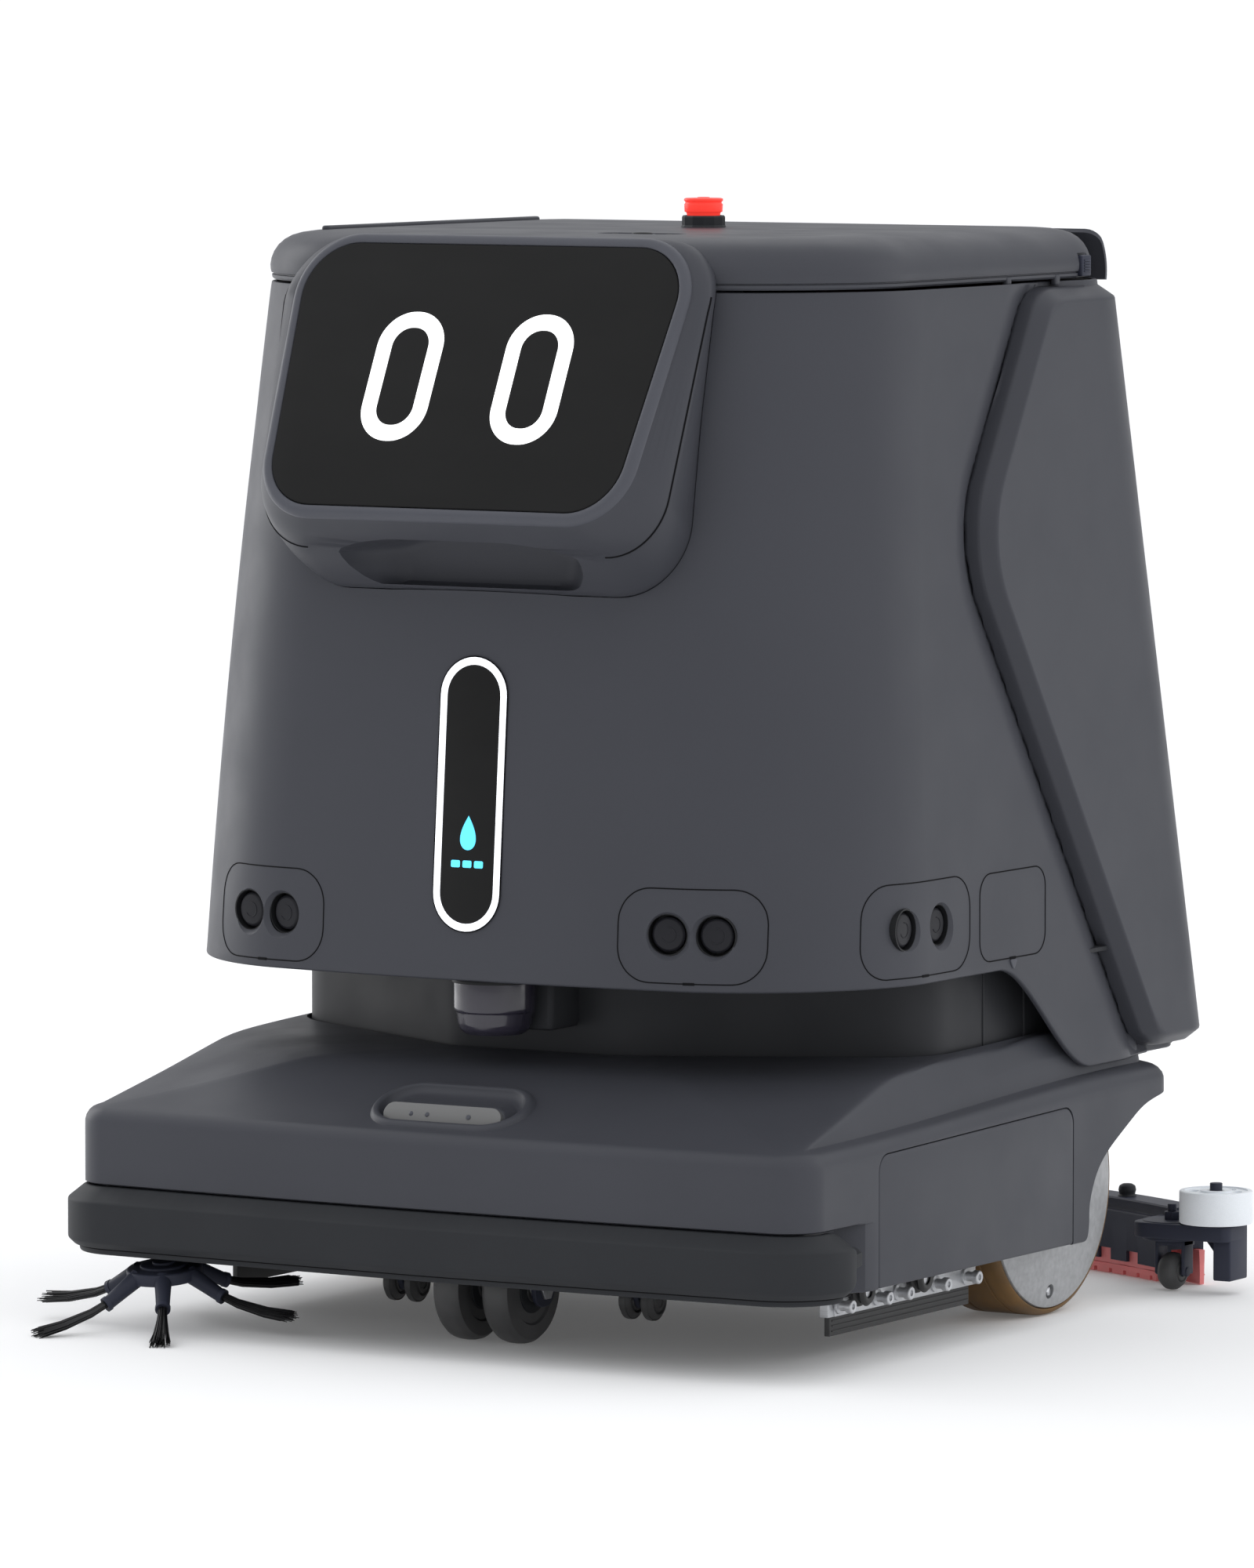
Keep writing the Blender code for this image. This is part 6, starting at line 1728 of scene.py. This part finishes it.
def side_brush():
    body = rides("side_brush_hub")
    hub_parts = [disc(0.0236, -0.0052, 0.0026, 0.0016, 64), disc(0.0150, 0.0020, 0.0044, 0.0010, 48),
                 disc(0.0072, 0.0040, 0.0060, 0.0006, 32)]
    sleeves = []
    chance = random.Random(11)
    hairs = []
    for index in range(6):
        spin = Matrix.Rotation(radians(180 + 60 * index), 3, "Z")
        line = [tuft_path(spin, t) for t in (0.0, 0.10, 0.20, 0.30, 0.38, 0.42)]
        sleeves.append(tube("sleeve", line, 0.0050, 20, radii=[0.0056, 0.0052, 0.0048, 0.0045, 0.0043,
                                                               0.0043]))
        collar = tube("collar", [line[4], line[5]], 0.0048, 20)
        sleeves.append(collar)
        for _ in range(120):
            a = chance.uniform(0, FULL_TURN)
            r = chance.uniform(0, 1) ** 0.5
            wide, tall = r * cos(a), r * sin(a)
            stop = 1.0 - chance.uniform(0, 0.10)
            centres = []
            for t in (0.36, 0.55, 0.78, stop):
                fan = (t - 0.36) / 0.64
                middle_point = tuft_path(spin, t)
                offset = Vector((0, wide * (0.0024 + 0.0050 * fan ** 1.7), tall * (0.0024 + 0.0010 * fan)))
                centres.append(middle_point + spin @ offset)
            along = (centres[-1] - centres[0]).normalized()
            across = along.cross(Vector((0, 0, 1))).normalized()
            hairs.append((centres, (0.00036, 0.00036, 0.00034, 0.00026), across, along.cross(across)))
    hub = merged("brush_hub", hub_parts + sleeves)
    piece("brush_hub", moved(hub, BRUSH_HUB, BRUSH_TURN), "navy", body, ["side_brush_hub"])
    brush = moved(prisms(hairs, 4), BRUSH_HUB, BRUSH_TURN)
    piece("brush_tufts", brush, "bristle", rides("side_brush_tufts"), ["side_brush_tufts"],
          sharp=80)


# ---------------------------------------------------------------- squeegee

SQUEEGEE_RADIUS = 0.450
SQUEEGEE_CENTRE_Y = -0.124


def on_arc(x, offset, z):
    """Point on the squeegee's plan arc, offset outward (to the rear) from its middle line."""
    angle = x / SQUEEGEE_RADIUS
    radius = SQUEEGEE_RADIUS + offset
    return Vector((radius * sin(angle), SQUEEGEE_CENTRE_Y + radius * cos(angle), z))


def arc_sweep(name, section, half):
    """Sweep a section along the bumper's arc."""
    places = [-half + 2 * half * i / ARC_STEPS for i in range(ARC_STEPS + 1)]
    return skin(name, [[on_arc(x, offset, z) for offset, z in section] for x in places])


def arc_block(x, offset, z, size):
    """A small block square to the arc, for notches and fixings."""
    spot = on_arc(x, offset, z)
    return moved(box("block", size, edge=0.0003), spot, Matrix.Rotation(-x / SQUEEGEE_RADIUS, 4, "Z"))


def squeegee():
    body = rides("squeegee_beam")
    section = [(-0.0130, 0.0100), (-0.0130, 0.0408), (-0.0122, 0.0420), (-0.0090, 0.0424), (-0.0086, 0.0432),
               (-0.0086, 0.0488), (-0.0076, 0.0498), (0.0118, 0.0498), (0.0130, 0.0486), (0.0130, 0.0100),
               (0.0106, 0.0100), (0.0106, 0.0230), (-0.0106, 0.0230), (-0.0106, 0.0100)]
    half = 0.2540
    beam = arc_sweep("beam", section, half)
    cutters = [arc_block(-0.21 + 0.030 * k, -0.0125, 0.0125, (0.0125, 0.0050, 0.0095)) for k in range(15)]
    cutters += [arc_block(-0.21 + 0.030 * k, 0.0125, 0.0125, (0.0125, 0.0050, 0.0095)) for k in range(15)]
    boss_place = (0, 0.302, 0)
    cutters.append(moved(disc(0.0083, 0.0, 0.09, 0.0002, 48), boss_place))
    beam = carved(beam, cutters)
    parts = [beam, moved(ring_of(0.0158, 0.0083, 0.0490, 0.0603, 0.0010, 56), boss_place)]
    metal = []
    for side in PAIR:
        parts += squeegee_end(side)
        metal.append(moved(hexagon(0.0095, 0.0435, 0.0500), (side * 0.2430, 0.2330, 0)))
        metal.append(moved(disc(0.0029, 0.0500, 0.0548, 0.0006, 24), (side * 0.2430, 0.2330, 0)))
    piece("squeegee_bar", merged("squeegee_bar", parts + metal), "navy", body, ["squeegee_beam"])
    for index, x in enumerate((-0.185, -0.120, -0.060, 0.060, 0.120, 0.185)):
        spot = on_arc(x, 0.0015, 0.0498)
        knob = [(0, 0.0080), (0.0030, 0.0080), (0.0052, 0.0066), (0.0058, 0.0040), (0.0050, 0.0012),
                (0.0064, 0.0), (0, 0)]
        piece("squeegee_knob_%d" % index, moved(turned("knob", softened(knob, 0.0006), 32), spot), "bumper",
              body)
    squeegee_blades(body)


def squeegee_end(side):
    """End bracket: plate with a round boss over the castor, outer post and gusset."""
    ear = rounded_polygon([(0.2220, 0.2120), (0.2925, 0.2140), (0.2925, 0.2400), (0.2400, 0.2640),
                           (0.2220, 0.2640)],
                          [0.012, 0.006, 0.004, 0.002, 0.002], 8)
    plate = slab("ear", ear, 0.0345, 0.0442, 0.0010)
    boss = moved(disc(0.0190, 0.0325, 0.0448, 0.0010, 64), (0.2430, 0.2330, 0))
    post = box("post", (0.0125, 0.0240, 0.0350), (0.2862, 0.2300, 0.0270), 0.0012)
    gusset = slab("gusset", rounded_polygon([(0.2620, 0.0350), (0.2800, 0.0130), (0.2800, 0.0350)],
                                            [0.001] * 3, 2),
                  -0.0020, 0.0020, 0.0006)
    gusset.transform(Matrix(((1, 0, 0, 0), (0, 0, 1, 0), (0, 1, 0, 0), (0, 0, 0, 1))))
    gusset = moved(gusset, (0, 0.2400, 0))
    stub = moved(disc(0.0040, 0.0430, 0.0708, 0.0006, 32), (0.2770, 0.2280, 0))
    cheeks = [box("cheek", (0.0024, 0.0130, 0.0240), (x, 0.2300, 0.0225), 0.0010) for x in (0.2366, 0.2554)]
    bridge = box("bridge", (0.0212, 0.0150, 0.0050), (0.2460, 0.2310, 0.0312), 0.0010)
    axle = moved(disc(0.0031, -0.0112, 0.0112, 0.0005, 24), (0.2460, 0.2285, 0.0125), aim((1, 0, 0)))
    shaped = [plate, boss, post, gusset, stub, bridge, axle] + cheeks
    return [mirrored(mesh, side) for mesh in shaped]


def squeegee_blades(body):
    rear = [(0.0070, 0.0005), (0.0100, 0.0005), (0.0102, 0.0060), (0.0108, 0.0066), (0.0102, 0.0072),
            (0.0102, 0.0100),
            (0.0105, 0.0225), (0.0065, 0.0225), (0.0070, 0.0100)]
    front = [(-offset, z) for offset, z in reversed(rear)]
    back_blade = arc_sweep("rear_blade", rear, 0.2600)
    front_blade = arc_sweep("front_blade", front, 0.2340)
    slots = [arc_block(-0.228 + 0.0152 * k, -0.0085, 0.0010, (0.0030, 0.0060, 0.0050)) for k in range(31)]
    front_blade = carved(front_blade, slots)
    web = arc_sweep("web", [(-0.0088, 0.0190), (0.0088, 0.0190), (0.0088, 0.0222), (-0.0088, 0.0222)],
                    0.2330)
    blades = merged("squeegee_blades", [back_blade, front_blade, web])
    piece("squeegee_blades", blades, "red_rubber", body, ["squeegee_blade"])


def squeegee_rollers():
    for label, side in SIDES:
        node = "bumper_roller_" + label
        place = middle(node)
        radius = 0.0234
        low, high = 0.0452 - place.z, 0.0662 - place.z
        body = ring_of(radius, 0.0047, low, high, 0.0014, 96)
        face = []
        for k in range(6):
            a = FULL_TURN * k / 6 + 0.3
            spot = Vector((0.0140 * cos(a), 0.0140 * sin(a), 0))
            outline = capsule(0.0026, 0.0046, 8)
            hole = moved(slab("hole", outline, high - 0.0050, high + 0.004, 0.0001), (0, 0, 0),
                         Matrix.Translation(spot) @ Matrix.Rotation(a, 4, "Z"))
            face.append(hole)
        dish = ring_of(0.0200, 0.0100, high - 0.0010, high + 0.004, 0.0002, 72)
        shaped = carved(body, [dish] + face)
        piece("fender_roller_" + label, moved(shaped, place), "white", rides(node), [node],
              sharp=30)
        node = "squeegee_roller_" + label
        place = middle(node)
        wheel = turned(node, roller_profile(0.0120, 0.0070, 0.0034, 0.0010, 0.5), 64, closed=True)
        piece("support_roller_" + label, moved(wheel, (place.x, place.y, 0.0125), aim((side, 0, 0))),
              "rubber",
              rides(node), [node])


def lift_arm():
    node = "squeegee_arm"
    pivot = Vector((0, 0.150, 0.088))
    pin = Vector((0, 0.302, 0.066))
    run = pin - pivot
    tilt = atan2(run.z, run.y)
    outline = [(-0.0350, 0.0), (0.0350, 0.0), (0.0350, 0.060), (0.0190, 0.110), (0.0180, run.length),
               (-0.0180, run.length), (-0.0190, 0.110), (-0.0350, 0.060)]
    plate = slab("arm", rounded_polygon(outline, [0.003, 0.003, 0.012, 0.020, 0.016, 0.016, 0.020, 0.012],
                                        6),
                 -0.0032, 0.0032, 0.0010)
    window = [(x * 0.55, 0.055 + y) for x, y in rounded_box(0.034, 0.030, 0.008, 6)]
    plate = carved(plate, [slab("window", window, -0.01, 0.01, 0.0001)])
    ribs = [box("rib", (0.0030, 0.098, 0.0050), (side * 0.0315, 0.052, 0.0045), 0.0010) for side in PAIR]
    turn = Matrix.Rotation(tilt, 4, "X")
    parts = [moved(merged("arm", [plate] + ribs), pivot, turn)]
    parts.append(moved(disc(0.0100, -0.055, 0.055, 0.0012, 40), pivot, aim((1, 0, 0))))
    parts.append(moved(disc(0.0178, 0.0612, 0.0672, 0.0010, 48), (0, pin.y, 0)))
    piece("lift_arm", merged("lift_arm", parts), "navy", rides(node), [node])
    bolt = [moved(disc(0.0078, 0.0310, 0.0670, 0.0006, 32), (0, pin.y, 0)),
            moved(hexagon(0.0150, 0.0668, 0.0712), (0, pin.y, 0)),
            moved(disc(0.0062, -0.0585, 0.0585, 0.0008, 24), pivot, aim((1, 0, 0)))]
    piece("lift_arm_pins", merged("lift_arm_pins", bolt), "steel", rides(node))


def hose():
    """Ribbed suction hose from the squeegee's port to the chassis."""
    points, radii = [], []
    for i in range(121):
        t = i / 120
        y = 0.278 - 0.106 * t
        z = 0.0800 + 0.008 * sin(pi * t) + 0.004 * t
        points.append((0.052 + 0.006 * sin(pi * t), y, z))
        radii.append(0.0113 + 0.0010 * sin(FULL_TURN * i / 6))
    mesh = tube("hose", points, 0.012, 28, radii=radii)
    cuffs = [tube("cuff", points[:12], 0.0134, 32), tube("cuff", points[-12:], 0.0134, 32)]
    piece("suction_tube", mesh, "bristle", rides("suction_hose"), ["suction_hose"], sharp=70)
    piece("suction_cuffs", merged("suction_cuffs", cuffs), "bumper", rides("suction_hose"))


# ---------------------------------------------------------------- back of the body and tank fittings

def on_back(x, z, proud=0.0):
    """Point on the flat back wall, lifted off it by proud."""
    return Vector((x, body_back(z) + proud, z))


def back_turn():
    """Stands a flat shape on the back wall: local X to the robot's right, local Y up, local Z outward."""
    lean = atan2(body_back(0.2) - body_back(0.6), 0.4)
    return Matrix.Rotation(pi, 4, "Z") @ Matrix.Rotation(pi / 2 - lean, 4, "X")


def service_panel():
    outline = resampled(rounded_box(0.118, 0.150, 0.022, 8), 160)
    seam("service_panel_joint", [on_back(x, 0.440 + z) for x, z in outline], "chassis", 0.0006)
    rings = []
    for inset, height in ((0.0, -0.0010), (0.0, 0.0010), (0.0012, 0.0022), (0.0040, 0.0024),
                          (0.0058, 0.0012),
                          (0.0072, -0.0010)):
        rings.append(flat_ring(inward(rounded_box(0.034, 0.0125, 0.0120, 10), inset), height))
    grip = moved(skin("panel_grip", rings, loop=True), on_back(0.0, 0.560), back_turn())
    piece("service_panel_grip", grip, "bezel", "chassis")
    for index, (x, z) in enumerate(((-0.100, 0.310), (0.100, 0.310), (-0.100, 0.570), (0.100, 0.570))):
        head = disc(0.0042, -0.0008, 0.0012, 0.0006, 28)
        head = carved(head, [box("slot", (0.0062, 0.0010, 0.0014), (0, 0, 0.0012), 0.0001)])
        piece("service_screw_%d" % index, moved(head, on_back(x, z), back_turn()), "steel", "chassis")


def charge_port():
    plate = slab("charge_plate", rounded_box(0.046, 0.0150, 0.005, 6), -0.0010, 0.0030, 0.0010)
    piece("charge_plate", moved(plate, on_back(0.0, 0.2540), back_turn()), "dark", "chassis")
    for index, x in enumerate((-0.022, 0.022)):
        strip = slab("contact", rounded_box(0.0165, 0.0048, 0.0022, 5), 0.0026, 0.0046, 0.0007)
        spot = on_back(x, 0.2540)
        piece("charge_contact_%d" % index, moved(strip, spot, back_turn()), "copper", "chassis")


def drain_hose():
    points = [on_back(-0.134, 0.5700, -0.004), on_back(-0.134, 0.5650, 0.010),
              on_back(-0.134, 0.5550, 0.0135)]
    points += [on_back(-0.134, z, 0.0140) for z in np.linspace(0.545, 0.262, 60)]
    radii = [0.0085 + (0.0005 * sin(FULL_TURN * k / 3) if k > 2 else 0.0) for k in range(len(points))]
    piece("drain_tube", tube("drain_tube", points, 0.0085, 24, radii=radii), "rubber", "chassis", sharp=60)
    low = on_back(-0.134, 0.2620, 0.0140)
    plug = [(0.0, 0.006), (0.0105, 0.006), (0.0110, 0.0), (0.0110, -0.0100), (0.0090, -0.0125),
            (0.0, -0.0125)]
    piece("drain_plug", moved(turned("drain_plug", softened(plug, 0.0010), 40), low), "red", "chassis",
          sharp=35)
    for index, z in enumerate((0.500, 0.330)):
        clip = box("clip", (0.0270, 0.0170, 0.0100), edge=0.0018)
        clip = carved(clip, [disc(0.0088, -0.02, 0.02, 0.0001, 32)])
        piece("drain_clip_%d" % index, moved(clip, on_back(-0.134, z, 0.0120)), "bumper", "chassis")


def tank_fittings():
    """Filler cap and carry handle on the waste tank, seen when the lid is up."""
    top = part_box("waste_water_tank")[1].z
    cap = [(0.0, 0.0120), (0.0300, 0.0120), (0.0345, 0.0110), (0.0360, 0.0085), (0.0360, 0.0020),
           (0.0400, 0.0012),
           (0.0400, -0.0005), (0.0, -0.0005)]
    ribs = [moved(box("rib", (0.0030, 0.0020, 0.0070), (0.0362, 0, 0.0055), 0.0006), (0, 0, 0),
                  Matrix.Rotation(FULL_TURN * k / 20, 4, "Z")) for k in range(20)]
    bar = box("bar", (0.0560, 0.0090, 0.0050), (0, 0, 0.0140), 0.0018)
    mesh = merged("tank_cap", [turned("cap", softened(cap, 0.0010), 64), bar] + ribs)
    piece("tank_cap", moved(mesh, (0.085, -0.020, top)), "dark", "chassis")
    line = softened([(-0.060, -0.001), (-0.060, 0.0150), (0.060, 0.0150), (0.060, -0.001)], 0.012, 8)
    path = [(-0.085, 0.020 + a, top + b) for a, b in line]
    piece("tank_handle", tube("tank_handle", path, 0.0048, 16), "red", "chassis", sharp=60)


REPAINTED = {
    "chassis_plate": "dark", "battery_pack": "internal", "control_box": "internal", "water_pump": "internal",
    "vacuum_motor": "internal", "drive_transaxle": "internal", "clean_water_tank": "tank",
    "waste_water_tank": "tank", "brush_deck": "bumper",
}


# ---------------------------------------------------------------- stage

def world_light():
    """White surroundings: bright overhead and at both sides, dimmer in front and low down behind."""
    world = bpy.data.worlds.new("studio")
    bpy.context.scene.world = world
    world.use_nodes = True
    tree = world.node_tree
    shade = tree.nodes["Background"]
    shade.inputs["Color"].default_value = (0.97, 0.98, 1.0, 1.0)
    place = tree.nodes.new("ShaderNodeTexCoord")
    split = tree.nodes.new("ShaderNodeSeparateXYZ")
    tree.links.new(place.outputs["Generated"], split.inputs["Vector"])

    def spread(axis, start, stop, low, high):
        made = tree.nodes.new("ShaderNodeMapRange")
        made.interpolation_type = "SMOOTHSTEP"
        made.inputs["From Min"].default_value = start
        made.inputs["From Max"].default_value = stop
        made.inputs["To Min"].default_value = low
        made.inputs["To Max"].default_value = high
        tree.links.new(split.outputs[axis], made.inputs["Value"])
        return made.outputs["Result"]

    def times(first, second):
        made = tree.nodes.new("ShaderNodeMath")
        made.operation = "MULTIPLY"
        tree.links.new(first, made.inputs[0])
        tree.links.new(second, made.inputs[1])
        return made.outputs["Value"]

    front = spread(1, -1.0, -0.2, 0.55, 1.0)
    high = spread(2, 0.05, 0.75, 0.0, 1.0)
    back = spread(1, 0.2, 0.9, 1.0, 0.45)
    low_part = times(front, back)
    blend = tree.nodes.new("ShaderNodeMix")
    tree.links.new(high, blend.inputs[0])
    tree.links.new(low_part, blend.inputs[2])
    blend.inputs[3].default_value = 1.15
    seen = tree.nodes.new("ShaderNodeLightPath").outputs["Is Camera Ray"]
    backdrop = tree.nodes.new("ShaderNodeMix")
    tree.links.new(seen, backdrop.inputs[0])
    tree.links.new(blend.outputs[0], backdrop.inputs[2])
    backdrop.inputs[3].default_value = 1.1
    tree.links.new(backdrop.outputs[0], shade.inputs["Strength"])


def area_light(name, place, target, size, power):
    data = bpy.data.lights.new(name, "AREA")
    data.shape = "RECTANGLE"
    data.size, data.size_y = size
    data.energy = power
    made = bpy.data.objects.new(name, data)
    bpy.context.scene.collection.objects.link(made)
    made.location = place
    made.rotation_euler = (Vector(target) - Vector(place)).to_track_quat("-Z", "Y").to_euler()


def stage():
    world_light()
    area_light("left_softbox", (-2.6, 0.2, 1.2), (0, 0, 0.35), (1.6, 2.2), 22)
    area_light("right_softbox", (2.3, 1.5, 1.2), (0, 0, 0.35), (1.6, 2.2), 9)
    floor = bpy.data.objects.new("floor", mesh_of("floor",
                                                  [(-300, -300, 0), (300, -300, 0), (300, 300, 0),
                                                   (-300, 300, 0)],
                                                  [(0, 1, 2, 3)]))
    bpy.context.scene.collection.objects.link(floor)
    paint = Nodes("pale_floor")
    tone = paint.mix(paint.remap(paint.noise(1.5, 2.0), 0, 1), (0.90, 0.90, 0.90), (0.93, 0.93, 0.93))
    paint.link(tone, paint.shader.inputs["Base Color"])
    paint.shader.inputs["Roughness"].default_value = 0.9
    paint.shader.inputs["Emission Color"].default_value = (1.0, 1.0, 1.0, 1.0)
    paint.shader.inputs["Emission Strength"].default_value = 0.08
    paint.shader.inputs["Specular IOR Level"].default_value = 0.1
    floor.data.materials.append(paint.material)


def camera_view():
    """Seen from the front and a little to the robot's left, from far off with a long lens."""
    azimuth, elevation, distance = radians(30.79), radians(4.74), 6.42
    target = Vector((-0.028, 0.010, 0.327))
    data = bpy.data.cameras.new("camera")
    data.lens = 234.4
    data.clip_end = 100
    made = bpy.data.objects.new("camera", data)
    bpy.context.scene.collection.objects.link(made)
    away = Vector((sin(azimuth) * cos(elevation), -cos(azimuth) * cos(elevation), sin(elevation)))
    made.location = target + away * distance
    made.rotation_euler = (-away).to_track_quat("-Z", "Y").to_euler()
    bpy.context.scene.camera = made


def colour_management():
    view = bpy.context.scene.view_settings
    view.view_transform = "Standard"
    view.look = "None"


body_wall()
sensors()
wall_panels()
pods()
light_bar()
lidar()
waist()
base()
camera()
bumper()
lid()
lid_controls()
latch()
hood()
housing()
screen()
for side_label, side_sign in SIDES:
    drive_wheel(side_label, side_sign)
    guide_caster(side_label)
    side_rail(side_label, side_sign)
front_caster()
roller()
side_brush()
squeegee()
squeegee_rollers()
lift_arm()
hose()
service_panel()
charge_port()
drain_hose()
tank_fittings()
for node_name, finish_name in REPAINTED.items():
    repaint(node_name, finish_name)
stage()
camera_view()
colour_management()
